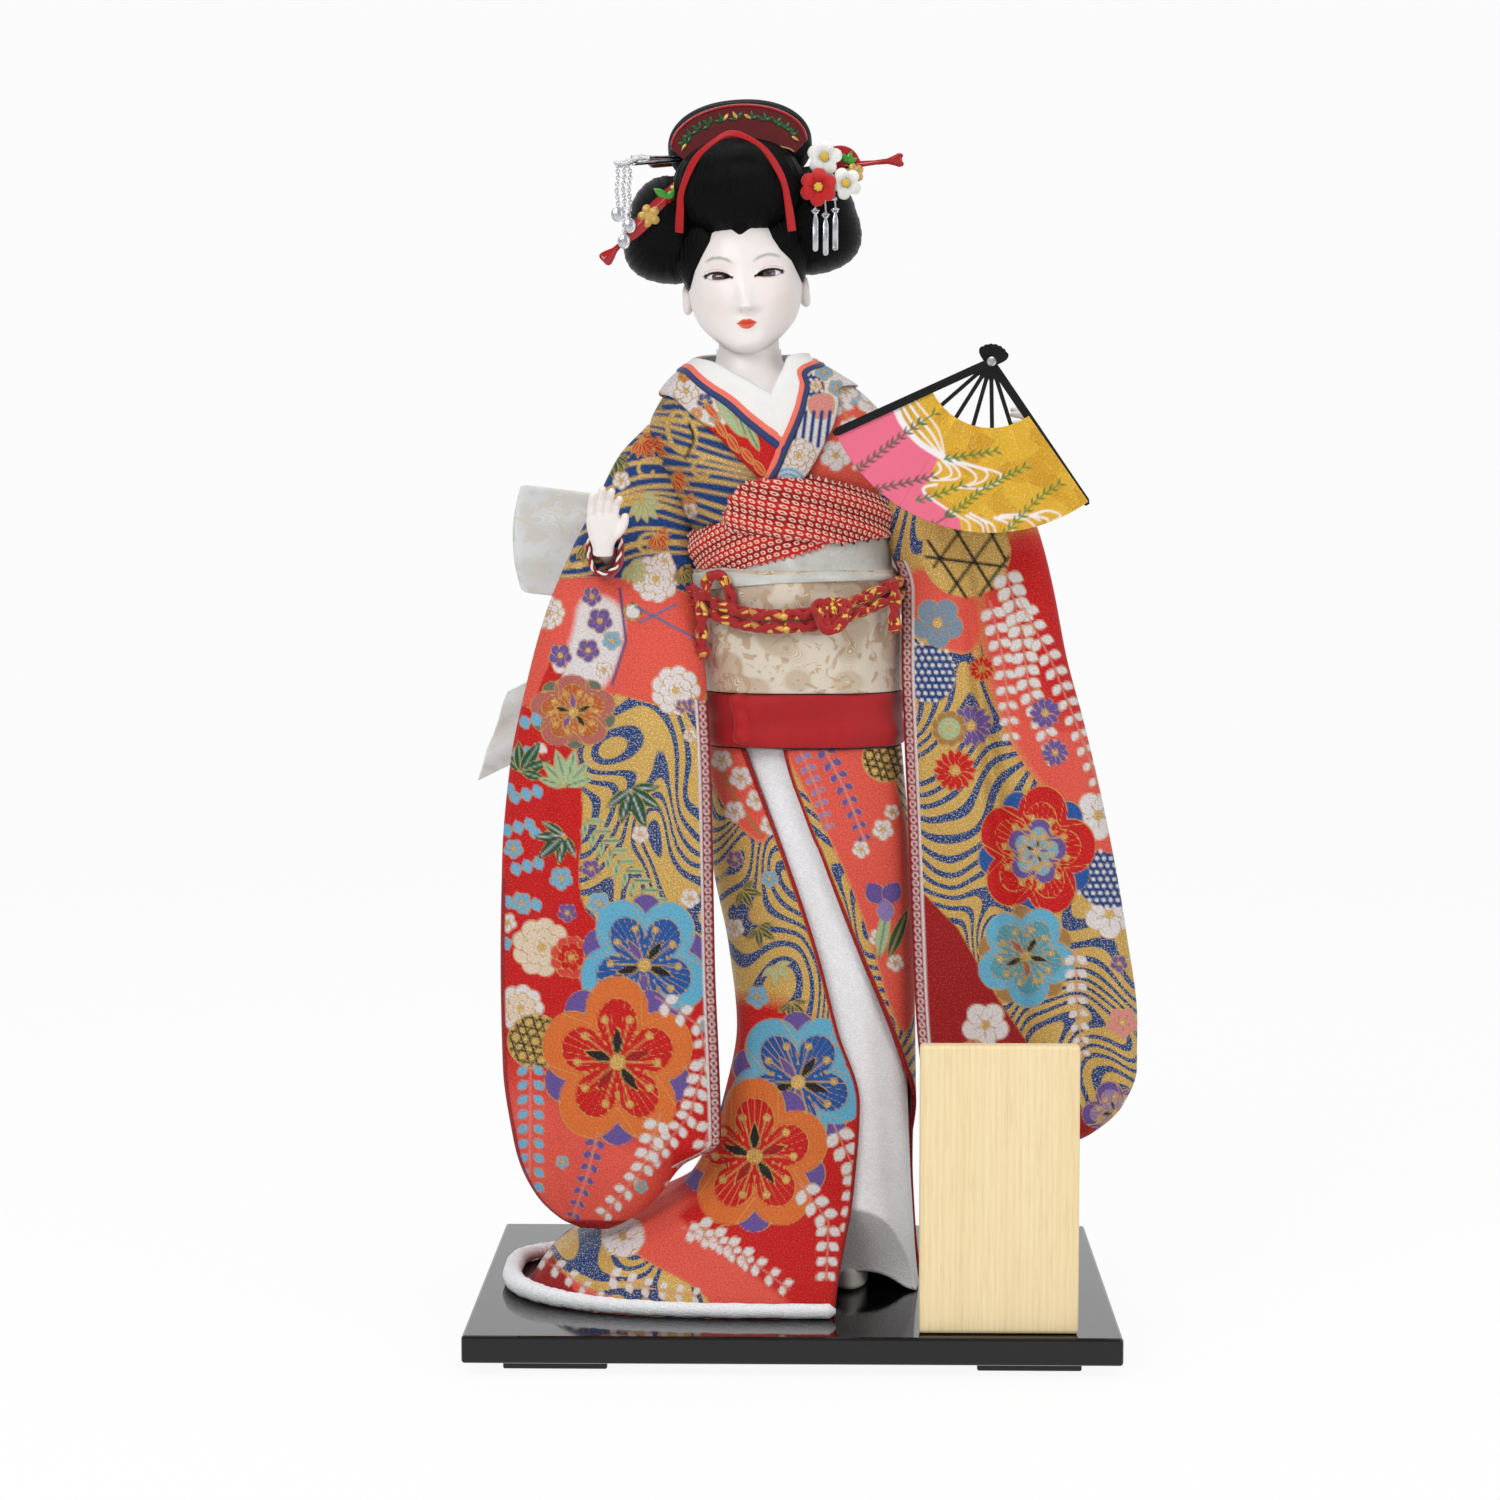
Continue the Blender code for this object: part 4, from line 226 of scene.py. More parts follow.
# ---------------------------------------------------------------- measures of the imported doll
WAIST = 0.2505
NECK_TOP = 0.417
BODY_Y = 0.005
BODY_HALF = (0.054, 0.033)
SASH_HIGH = 0.0235
BAND_HIGH = 0.0520
BOARD_TOP = 0.0168
SKIRT_X = 0.010
SKIRT_HALF = (0.047, 0.032)
TRAIN = (0.128, 0.076)
HEAD_AT = Vector((-0.0210, 0.0060, 0.4460))
HEAD_TILT = math.radians(-3.8)
HEAD_FRAME = Matrix.Translation(HEAD_AT) @ Matrix.Rotation(HEAD_TILT, 4, "Y")
FAN_AT = Vector((0.081, -0.065, 0.413))
FAN_ANGLES = (math.radians(204.4), math.radians(304.5))
BODY_ROWS = ((0.00, 0.09, 0.74, 0.91), (0.15, 0.06, 0.74, 0.91), (0.52, -0.04, 0.76, 0.94),
    (0.69, -0.15, 0.88, 0.94), (0.81, -0.19, 0.96, 0.85), (0.90, -0.24, 0.80, 0.73),
    (0.96, -0.30, 0.58, 0.62), (1.00, -0.33, 0.40, 0.56),)
SKIRT_ROWS = (
    (1.00, 0.365, 0.79, 0.395, 1.00), (0.81, 0.360, 0.87, 0.420, 1.02), (0.62, 0.300, 0.91, 0.400, 1.04),
    (0.48, 0.275, 0.92, 0.405, 1.06), (0.35, 0.320, 0.93, 0.470, 1.10), (0.20, 0.440, 0.95, 0.640, 1.22),
    (0.125, 0.700, 0.97, 0.780, 1.32), (0.060, 0.920, 0.99, 0.920, 1.42), (0.000, 1.000, 1.02, 1.000, 1.50),
)
HEAD_ROWS = ((-1.00, 0.10, 0.70, -0.40), (-0.94, 0.30, 0.84, -0.25), (-0.84, 0.48, 0.91, 0.05),
    (-0.70, 0.66, 0.95, 0.35), (-0.48, 0.86, 0.98, 0.62), (-0.20, 0.97, 1.00, 0.84), (0.05, 1.00, 0.99, 0.95),
    (0.30, 1.00, 0.96, 1.00), (0.55, 0.90, 0.86, 0.95), (0.78, 0.68, 0.64, 0.74), (0.93, 0.38, 0.34, 0.44),
    (1.00, 0.10, 0.08, 0.14),)


# ---------------------------------------------------------------- curves and grids
def row_at(table, at):
    """The table's columns at each place, on smooth curves through its rows."""
    rows = np.array(sorted(table), float)
    at = np.clip(np.asarray(at, float), rows[0, 0], rows[-1, 0])
    keys = rows[:, 0]
    steps = np.diff(keys)[:, None]
    slopes = np.diff(rows[:, 1:], axis=0) / steps
    low, high = slopes[:-1], slopes[1:]
    total = np.where(np.abs(low + high) < 1e-12, 1.0, low + high)
    middle = np.where(low * high > 0, 2 * low * high / total, 0.0)
    tangents = np.vstack([slopes[:1], middle, slopes[-1:]])
    i = np.clip(np.searchsorted(keys, at, side="right") - 1, 0, len(keys) - 2)
    span = steps[i, 0]
    t = ((at - keys[i]) / span)[..., None]
    span = span[..., None]
    first, last = rows[i, 1:], rows[i + 1, 1:]
    found = (
        (2 * t**3 - 3 * t**2 + 1) * first + (t**3 - 2 * t**2 + t) * span * tangents[i]
        + (3 * t**2 - 2 * t**3) * last + (t**3 - t**2) * span * tangents[i + 1]
    )
    return np.moveaxis(found, -1, 0)


def rounded(turn, squareness=2.0):
    """Unit points of a superellipse."""
    x, y = np.cos(turn), np.sin(turn)
    power = 2.0 / squareness
    return np.sign(x) * np.abs(x) ** power, np.sign(y) * np.abs(y) ** power


def ease(value, low, high):
    """A smooth step from 0 at low to 1 at high."""
    t = np.clip((value - low) / (high - low), 0.0, 1.0)
    return t * t * (3 - 2 * t)


def bell(value, centre, width):
    return np.exp(-(((value - centre) / width) ** 2))


def stack(*parts):
    """One array of points from arrays of their three coordinates."""
    return np.stack(np.broadcast_arrays(*parts), axis=-1)


def path_points(points, count):
    """Points along a smooth curve through the given ones, evenly spaced."""
    points = np.array([tuple(point) for point in points], float)
    keys = np.arange(len(points), dtype=float)
    fine = row_at(np.column_stack([keys, points]).tolist(), np.linspace(0, len(points) - 1, count * 8)).T
    if len(points) > 2:
        before = np.vstack([points[:1] * 2 - points[1:2], points, points[-1:] * 2 - points[-2:-1]])
        t = np.linspace(0, len(points) - 1, count * 8)
        at = np.minimum(t.astype(int), len(points) - 2)
        t = (t - at)[:, None]
        a, b, c, d = (before[at + k] for k in range(4))
        square, cube = 2 * a - 5 * b + 4 * c - d, 3 * b - a - 3 * c + d
        fine = 0.5 * (2 * b + (c - a) * t + square * t**2 + cube * t**3)
    run = np.concatenate([[0], np.cumsum(np.linalg.norm(np.diff(fine, axis=0), axis=1))])
    even = np.linspace(0, run[-1], count)
    return np.stack([np.interp(even, run, fine[:, k]) for k in range(3)], axis=1)


def normals_of(grid, around=False):
    """The unit normal at each point of a grid of points."""
    down = np.gradient(grid, axis=0)
    if around:
        across = np.roll(grid, -1, axis=1) - np.roll(grid, 1, axis=1)
    else:
        across = np.gradient(grid, axis=1)
    normal = np.cross(down, across)
    size = np.linalg.norm(normal, axis=-1, keepdims=True)
    return normal / np.where(size < 1e-12, 1.0, size)


def grid_faces(rows, columns, start=0, around=False, flip=False):
    """The quads of a grid of points that are numbered row by row."""
    i = np.arange(rows - 1)[:, None]
    j = np.arange(columns if around else columns - 1)[None, :]
    k = (j + 1) % columns
    corners = np.stack(np.broadcast_arrays(i * columns + j, i * columns + k, (i + 1) * columns + k,
        (i + 1) * columns + j), -1)
    corners = corners.reshape(-1, 4) + start
    return corners[:, ::-1] if flip else corners


def add_mesh(name, points, quads, fans=(), finish=None, smooth=True, more=()):
    """A mesh object from quads and, where wanted, faces of other sizes."""
    mesh = bpy.data.meshes.new(name)
    faces = [tuple(face) for face in np.asarray(quads).tolist()] + [tuple(face) for face in fans]
    mesh.from_pydata([tuple(point) for point in np.asarray(points, float).tolist()], [], faces)
    mesh.update()
    if smooth:
        mesh.shade_smooth()
    item = bpy.data.objects.new(name, mesh)
    bpy.context.scene.collection.objects.link(item)
    for material in (finish, *more):
        if material:
            mesh.materials.append(material.material if isinstance(material, Finish) else material)
    return item


def cloth(name, grid, thick, finish, lining=None, around=False, out=1):
    """A sheet whose face is a grid of points, with its back this far behind and its rim closed."""
    rows, columns = grid.shape[:2]
    back = grid - normals_of(grid, around) * thick * out
    count = rows * columns
    points = np.vstack([grid.reshape(-1, 3), back.reshape(-1, 3)])
    face = grid_faces(rows, columns, 0, around, out < 0)
    behind = grid_faces(rows, columns, count, around, out > 0)
    index = np.arange(count).reshape(rows, columns)
    rims = [(index[0], around, out > 0), (index[-1], around, out < 0)]
    if not around:
        rims += [(index[:, 0], False, out < 0), (index[:, -1], False, out > 0)]
    sides = []
    for line, closed, turned in rims:
        after = np.roll(line, -1) if closed else line[1:]
        before = line if closed else line[:-1]
        quad = np.stack([before, after, after + count, before + count], -1)
        sides.append(quad[:, ::-1] if turned else quad)
    quads = np.vstack([face, behind, *sides])
    item = add_mesh(name, points, quads, (), finish, True, (lining,) if lining else ())
    if lining:
        slots = np.zeros(len(quads), np.int32)
        slots[len(face):len(face) + len(behind)] = 1
        item.data.polygons.foreach_set("material_index", slots)
    return mirror_fix(item)


def solid(name, grid, finish, caps=True, out=1):
    """A closed body from rings of points, each ring a row of the grid."""
    rows, columns = grid.shape[:2]
    quads = grid_faces(rows, columns, 0, True, out < 0)
    fans = []
    if caps:
        top = list(range(columns))
        low = [(rows - 1) * columns + i for i in range(columns)]
        fans = [top if out < 0 else top[::-1], low[::-1] if out < 0 else low]
    return add_mesh(name, grid.reshape(-1, 3), quads, fans, finish)


def mirror_fix(item):
    """Turns every face of a closed piece outward."""
    shape = bmesh.new()
    shape.from_mesh(item.data)
    bmesh.ops.recalc_face_normals(shape, faces=shape.faces)
    shape.to_mesh(item.data)
    shape.free()
    return item


def frames_along(points):
    """Two directions across a path at each of its points, without twist."""
    ahead = np.gradient(points, axis=0)
    ahead /= np.linalg.norm(ahead, axis=1, keepdims=True)
    side = np.cross(ahead[0], (0.0, 0.0, 1.0) if abs(ahead[0][2]) < 0.9 else (0.0, 1.0, 0.0))
    sides = []
    for way in ahead:
        side = side - way * np.dot(side, way)
        side = side / np.linalg.norm(side)
        sides.append(side)
    sides = np.array(sides)
    return sides, np.cross(ahead, sides)


def tube_grid(points, radius, sides=12, flat=1.0, spin=0.0):
    """Rings round a path. The radius may be one number or one for each point."""
    points = np.asarray(points, float)
    across, up = frames_along(points)
    radius = np.broadcast_to(np.asarray(radius, float), (len(points),))[:, None, None]
    turn = np.linspace(0, 2 * math.pi, sides, endpoint=False)[None, :] + np.asarray(spin)[..., None]
    turn = np.broadcast_to(turn, (len(points), sides))[..., None]
    return points[:, None, :] + radius * (across[:, None, :] * np.cos(turn) + up[:, None, :] * np.sin(turn)
        * flat)


def tube(name, points, radius, finish, sides=12, flat=1.0):
    return mirror_fix(solid(name, tube_grid(points, radius, sides, flat), finish))


def join(name, pieces):
    """Several mesh pieces as one."""
    for item in pieces:
        item.select_set(True)
    with bpy.context.temp_override(active_object=pieces[0], selected_editable_objects=pieces,
            object=pieces[0]):
        bpy.ops.object.join()
    pieces[0].name = name
    pieces[0].data.name = name
    pieces[0].select_set(False)
    return pieces[0]


def store(item, name, values, kind="FLOAT"):
    """Keeps a number, a vector or a colour with each point of a mesh."""
    values = np.asarray(values, np.float32)
    count = len(item.data.vertices)
    if len(values) * 2 == count:
        values = np.concatenate([values, values])
    field = item.data.attributes.new(name, kind, "POINT")
    key = {"FLOAT": "value", "FLOAT_VECTOR": "vector", "FLOAT_COLOR": "color"}[kind]
    field.data.foreach_set(key, values.reshape(-1))


def in_head(item):
    """Moves a piece that was made in the head's own frame to the tilted head."""
    item.data.transform(HEAD_FRAME)
    return item


def settle(item, body, *nodes):
    """The piece rides on this body and stands for these nodes, which it hides; the first node's slot is only
    looked up.
    """
    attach(item, body)
    if nodes:
        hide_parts(*nodes)
        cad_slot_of(nodes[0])
    return item


# ---------------------------------------------------------------- surfaces that the clothes lie on
def body_row(height):
    centre, width, depth = row_at(BODY_ROWS, (height - WAIST) / (NECK_TOP - WAIST))
    return centre * BODY_HALF[0], width * BODY_HALF[0], depth * BODY_HALF[1]


def body_point(turn, height, lift=0.0):
    """Points on the dressed body. A turn of 270 degrees is the front."""
    centre, width, depth = body_row(height)
    x, y = rounded(turn, 2.3)
    return stack(centre + (width + lift) * x, BODY_Y + (depth + lift) * y, np.asarray(height, float))


def skirt_share(height):
    top, low = WAIST - 0.0003, BOARD_TOP + 0.0004
    return (height - low) / (top - low)


def skirt_point(turn, height, inset=0.0):
    left, right, front, back = row_at(SKIRT_ROWS, skirt_share(height))
    squareness = 2.2 + 0.8 * np.maximum(0.0, 1 - skirt_share(height) * 5)
    x, y = rounded(turn, squareness)
    half_x = np.where(x < 0, left * TRAIN[0], right * SKIRT_HALF[0])
    half_y = np.where(y < 0, front * TRAIN[1], back * SKIRT_HALF[1])
    return stack(SKIRT_X + (half_x - inset) * x, BODY_Y + (half_y - inset) * y, np.asarray(height, float))


# ---------------------------------------------------------------- the printed pattern
EYE_X, EYE_Y, EYE_Z = 0.0086, -1.503, 0.3753
EYE_DROP, EYE_TURN, EYE_LENS = 4.84, 1.05, 83.88
CHART_MIDDLE = (814.4, 453.8)
SQUARES_PER_REACH = 3495
SQUARE = 0.001503 / 3.495
SCARLET = ink(212, 8, 16)
CRIMSON = ink(168, 10, 20)
CORAL = ink(240, 92, 76)
GOLD = ink(216, 174, 88)
NAVY = ink(0, 62, 128)
TURQUOISE = ink(104, 184, 216)
ROYAL = ink(26, 88, 164)
VIOLET = ink(108, 84, 160)
ORANGE = ink(232, 118, 50)
WHITE = ink(236, 228, 226)
CREAM = ink(238, 216, 190)
SKY = ink(122, 184, 216)
LEAF = ink(26, 84, 62)
PALE_LEAF = ink(178, 202, 156)
BLACK = ink(24, 22, 26)
PINK = ink(232, 150, 140)
TAN = ink(176, 128, 70)


def chart_places(points):
    """Where points fall on the pattern's chart, which is drawn as seen from the front.

    X goes to the fan side and Y down, both in squares of about a thread."""
    square = (points[..., 1] - EYE_Y) / SQUARES_PER_REACH
    return CHART_MIDDLE[0] + (points[..., 0] - EYE_X) / square, CHART_MIDDLE[1] + (EYE_Z
        - points[..., 2]) / square


def round_places(grid, middle, half):
    """Chart places for a cloth that goes round the body.

    They are straight on in front and drawn out by the cloth's depth at the sides."""
    x, y = chart_places(grid)
    side = np.clip(1.3 * (grid[..., 0] - middle) / half, -1, 1)
    return x + 0.9 * np.maximum(0.0, grid[..., 1] - BODY_Y + 0.006) / SQUARE * side, y


FAR = 9.0
CHART_STEP = 0.00042


class Print:
    """The colours, outlines and gold of a cloth's points, laid on shape by shape."""

    def __init__(self, x, y, ground):
        self.x, self.y = x.reshape(-1), y.reshape(-1)
        count = len(self.x)
        self.colour = np.tile(np.array(ground[:3]), (count, 1))
        self.line = np.full(count, FAR)
        self.wave = np.zeros(count)
        self.gold = np.zeros(count)

    def near(self, x, y, reach):
        return np.nonzero((np.abs(self.x - x) < reach) & (np.abs(self.y - y) < reach))[0]

    def lay(self, at, away, colour, edge=True, gold=0.0, wave=0.0, soft=1.6):
        """Lays a shape on the points numbered at, given how far each lies outside it."""
        cover = np.clip(0.5 - away / soft, 0, 1)
        inside = cover > 0.5
        shade = np.asarray(colour, float)[..., :3]
        self.colour[at] += (shade - self.colour[at]) * cover[:, None]
        self.gold[at] += (gold - self.gold[at]) * cover
        self.wave[at] += (wave - self.wave[at]) * cover
        if edge:
            away = np.abs(away)
            self.line[at] = np.where(inside, away, np.minimum(self.line[at], away))
        else:
            self.line[at] = np.where(inside, FAR, self.line[at])

    def trace(self, at, away):
        """Adds an outline only."""
        self.line[at] = np.minimum(self.line[at], np.abs(away))

    def disc(self, x, y, radius, colour, squash=1.0, **how):
        at = self.near(x, y, radius * max(1, squash) + 4)
        away = np.hypot(self.x[at] - x, (self.y[at] - y) / squash) - radius
        self.lay(at, away, colour, **how)

    def shape(self, corners, colour, **how):
        """A closed outline with straight sides."""
        corners = np.array(corners, float)
        middle = (corners.min(0) + corners.max(0)) / 2
        reach = (corners.max(0) - corners.min(0)).max() / 2 + 6
        at = self.near(*middle, reach)
        if not len(at):
            return
        x, y = self.x[at], self.y[at]
        away = np.full(len(at), 1e9)
        inside = np.zeros(len(at), bool)
        for a, b in zip(corners, np.roll(corners, -1, axis=0)):
            ex, ey = b - a
            px, py = x - a[0], y - a[1]
            t = np.clip((px * ex + py * ey) / max(1e-9, ex * ex + ey * ey), 0, 1)
            away = np.minimum(away, np.hypot(px - ex * t, py - ey * t))
            crosses = (a[1] > y) != (b[1] > y)
            with np.errstate(divide="ignore", invalid="ignore"):
                side = (b[0] - a[0]) * (y - a[1]) / (b[1] - a[1]) + a[0]
            inside ^= crosses & (x < side)
        self.lay(at, np.where(inside, -away, away), colour, **how)

    def smooth(self, corners, colour, rounds=2, **how):
        """The same with its corners rounded."""
        points = np.array(corners, float)
        for _ in range(rounds):
            after = np.roll(points, -1, axis=0)
            points = np.stack([points * 0.75 + after * 0.25, points * 0.25 + after * 0.75], 1).reshape(-1, 2)
        self.shape(points, colour, **how)

    def stroke(self, line, width, colour, taper=0.0, **how):
        """A line of this width, which may thin to its end."""
        line = np.array(line, float)
        middle = (line.min(0) + line.max(0)) / 2
        at = self.near(*middle, (line.max(0) - line.min(0)).max() / 2 + width + 4)
        if not len(at):
            return
        away = np.full(len(at), 1e9)
        for i, (a, b) in enumerate(zip(line, line[1:])):
            ex, ey = b - a
            px, py = self.x[at] - a[0], self.y[at] - a[1]
            t = np.clip((px * ex + py * ey) / max(1e-9, ex * ex + ey * ey), 0, 1)
            thin = 1 - taper * (i + t) / (len(line) - 1)
            away = np.minimum(away, np.hypot(px - ex * t, py - ey * t) - width / 2 * thin)
        self.lay(at, away, colour, **{"edge": False, **how})

    def petal(self, x, y, turn, length, width, colour, fat=0.5, **how):
        """A drop from (x, y) on: pointed at its root and round at its far end."""
        at = self.near(x + math.cos(turn) * length / 2, y + math.sin(turn) * length / 2, length * 0.75 + 4)
        dx, dy = self.x[at] - x, self.y[at] - y
        along = dx * math.cos(turn) + dy * math.sin(turn)
        across = np.abs(-dx * math.sin(turn) + dy * math.cos(turn))
        share = np.clip(along / length, 0, 1)
        half = width / 2 * np.sin(math.pi * share**fat) ** 0.8
        ends = np.maximum(-along, along - length)
        self.lay(at, np.maximum(across - half, ends), colour, **how)

    def plum(self, x, y, radius, turn=0.0, tall=1.0, outer=TURQUOISE, inner=ROYAL, heart=VIOLET, between=None,
             petals=5, veins=True):
        """A big layered plum blossom: petals with inner petals, seeds and stamens."""
        at = self.near(x, y, radius * max(1, tall) + 8)
        if not len(at):
            return
        dx, dy = (self.x[at] - x), (self.y[at] - y) / tall
        far = np.hypot(dx, dy)
        angle = np.arctan2(dy, dx)
        part = 2 * math.pi / petals
        if between is not None:
            lobe = np.mod(angle - turn, part) - part / 2
            away = np.hypot(far * np.cos(lobe) - radius * 0.72, far * np.sin(lobe)) - radius * 0.26
            self.lay(at, away, between)
        lobe = np.mod(angle - turn + part / 2, part) - part / 2
        along, across = far * np.cos(lobe), far * np.sin(lobe)
        away = np.hypot(along - radius * 0.60, across * 0.98) - radius * 0.40
        self.lay(at, np.minimum(away, far - radius * 0.42), outer)
        self.trace(at[(away < 0) & (far > radius * 0.45)],
            (radius * 0.43 * np.tan(part / 2) - np.abs(across))[(away < 0) & (far > radius * 0.45)])
        inset = np.hypot(along - radius * 0.46, across * 1.1) - radius * 0.29
        self.lay(at, np.minimum(inset, far - radius * 0.25), inner)
        if veins:
            comb = np.abs(np.mod(lobe * 9 / part + 0.5, 1) - 0.5) * part / 9 * far
            keep = (inset < -1) & (far > radius * 0.34)
            self.trace(at[keep], comb[keep] + 0.15)
        for i in range(petals):
            way = turn + i * part
            self.petal(x + math.cos(way) * radius * 0.10, y + math.sin(way) * radius * 0.10 * tall, way,
                       radius * 0.36, radius * 0.15, heart if i % 2 else BLACK)
        self.disc(x, y, radius * 0.10, GOLD, gold=1.0)
        for i in range(petals * 2):
            way = turn + (i + 0.5) * part / 2
            tip = (x + math.cos(way) * radius * 0.52, y + math.sin(way) * radius * 0.52 * tall)
            self.stroke([(x + math.cos(way) * radius * 0.12, y + math.sin(way) * radius * 0.12 * tall), tip],
                1.1, GOLD, gold=1.0)
            self.disc(*tip, radius * 0.035 + 0.8, GOLD, gold=1.0)

    def blossom(self, x, y, radius, colour=WHITE, centre=GOLD, turn=0.3, petals=5):
        """A small plum blossom with a dotted heart."""
        for i in range(petals):
            way = turn + i * 2 * math.pi / petals
            self.disc(x + math.cos(way) * radius * 0.55, y + math.sin(way) * radius * 0.55, radius * 0.45,
                colour)
        self.disc(x, y, radius * 0.42, colour, edge=False)
        for i in range(petals):
            way = turn + i * 2 * math.pi / petals
            self.stroke([(x, y), (x + math.cos(way) * radius * 0.5, y + math.sin(way) * radius * 0.5)], 0.9,
                TAN)
        self.disc(x, y, radius * 0.16 + 0.5, centre, gold=1.0)

    def leaf(self, x, y, turn, length, width, colour=LEAF, rib=WHITE):
        self.petal(x, y, turn, length, width, colour, fat=0.85)
        tip = (x + math.cos(turn) * length * 0.85, y + math.sin(turn) * length * 0.85)
        self.stroke([(x, y), tip], 1.1, rib)

    def sprig(self, x, y, turn, length, count=5, colour=LEAF, rib=WHITE):
        """Leaves in a fan from one foot."""
        for i in range(count):
            spread = (i / (count - 1) - 0.5) * 2.6
            size = length * (1 - 0.28 * abs(spread) / 1.3)
            self.leaf(x, y, turn + spread, size, size * 0.36, colour, rib)

    def raceme(self, line, count, size, colour=WHITE, stem=PINK, lean=0.9):
        """Drops hanging in pairs along a stem."""
        line = np.array(line, float)
        run = np.concatenate([[0], np.cumsum(np.hypot(*np.diff(line, axis=0).T))])
        if stem is not None:
            self.stroke(line, 1.3, stem)
        for i in range(count):
            at = run[-1] * (i + 0.5) / count
            x, y = np.interp(at, run, line[:, 0]), np.interp(at, run, line[:, 1])
            ahead = np.interp(min(run[-1], at + 2), run, line[:, 0]) - x, np.interp(min(run[-1], at + 2), run,
                line[:, 1]) - y
            way = math.atan2(ahead[1], ahead[0])
            small = size * (1 - 0.35 * i / count)
            for side in (-1, 1):
                turn = way + side * lean
                self.petal(x + math.cos(turn) * 1.5, y + math.sin(turn) * 1.5, turn, small, small * 0.72,
                    colour, fat=1.0)

    def peony(self, x, y, radius, colour=CREAM, edge_colour=WHITE, rings=3):
        """A full flower of scalloped rings."""
        for ring in range(rings):
            size = radius * (1 - ring / rings)
            lobes = 9 - 2 * ring
            for i in range(lobes):
                way = 2 * math.pi * (i + 0.5 * (ring % 2)) / lobes
                self.disc(x + math.cos(way) * size * 0.66, y + math.sin(way) * size * 0.66, size * 0.34,
                          edge_colour if ring % 2 == 0 else colour)
            self.disc(x, y, size * 0.62, colour, edge=False)
        self.disc(x, y, radius * 0.14, GOLD, gold=1.0)

    def aster(self, x, y, radius, colour=WHITE, petals=16, centre=GOLD):
        """A round flower of narrow petals."""
        for i in range(petals):
            way = 2 * math.pi * i / petals
            self.petal(x + math.cos(way) * radius * 0.15, y + math.sin(way) * radius * 0.15, way,
                radius * 0.85, radius * 5.2 / petals, colour, fat=1.2)
        self.disc(x, y, radius * 0.2, centre, gold=1.0)

    def dotted(self, corners, colour=SCARLET, pitch=7.0):
        """A patch of tied dots."""
        self.smooth(corners, colour)
        points = np.array(corners, float)
        low, high = points.min(0), points.max(0)
        for row, y in enumerate(np.arange(low[1] + pitch / 2, high[1], pitch)):
            for x in np.arange(low[0] + pitch / 2 + (row % 2) * pitch / 2, high[0], pitch):
                if inside_of(points, x, y):
                    self.disc(x, y, pitch * 0.30, WHITE, edge=False, soft=1.2)

    def basket(self, x, y, radius, turn=0.0):
        """A basket's open weave, a disc crossed by pairs of canes."""
        self.disc(x, y, radius, GOLD, gold=1.0)
        at = self.near(x, y, radius)
        dx, dy = self.x[at] - x, self.y[at] - y
        inside = np.hypot(dx, dy) - radius
        for step in range(3):
            way = turn + step * math.pi / 3
            across = np.abs(np.mod(dx * math.sin(way) - dy * math.cos(way), radius * 0.62) - radius * 0.31)
            self.lay(at, np.maximum(np.abs(across - radius * 0.13) - 0.9, inside + 1), BLACK, edge=False,
                soft=1.2)
        self.trace(at, inside)

    def keep(self, item, places):
        """Stores the print with the cloth."""
        count = len(self.x)
        store(item, "print", np.column_stack([self.colour, np.ones(count)]), "FLOAT_COLOR")
        store(item, "marks", np.column_stack([self.line, self.wave, self.gold]), "FLOAT_VECTOR")
        x, y = places
        store(item, "chart", np.column_stack([x.reshape(-1) * CHART_STEP, -y.reshape(-1) * CHART_STEP,
            np.zeros(count)]), "FLOAT_VECTOR")


def inside_of(corners, x, y):
    found = False
    for (ax, ay), (bx, by) in zip(corners, np.roll(corners, -1, axis=0)):
        if (ay > y) != (by > y) and x < (bx - ax) * (y - ay) / (by - ay) + ax:
            found = not found
    return found


def scatter(count, low, high, seed):
    """Places spread evenly over a rectangle, the same on each run."""
    spots = []
    for i in range(count):
        a = (0.5 + (i + seed) * 0.7548776662466927) % 1
        b = (0.5 + (i + seed) * 0.5698402909980532) % 1
        spots.append((low[0] + (high[0] - low[0]) * a, low[1] + (high[1] - low[1]) * b))
    return spots


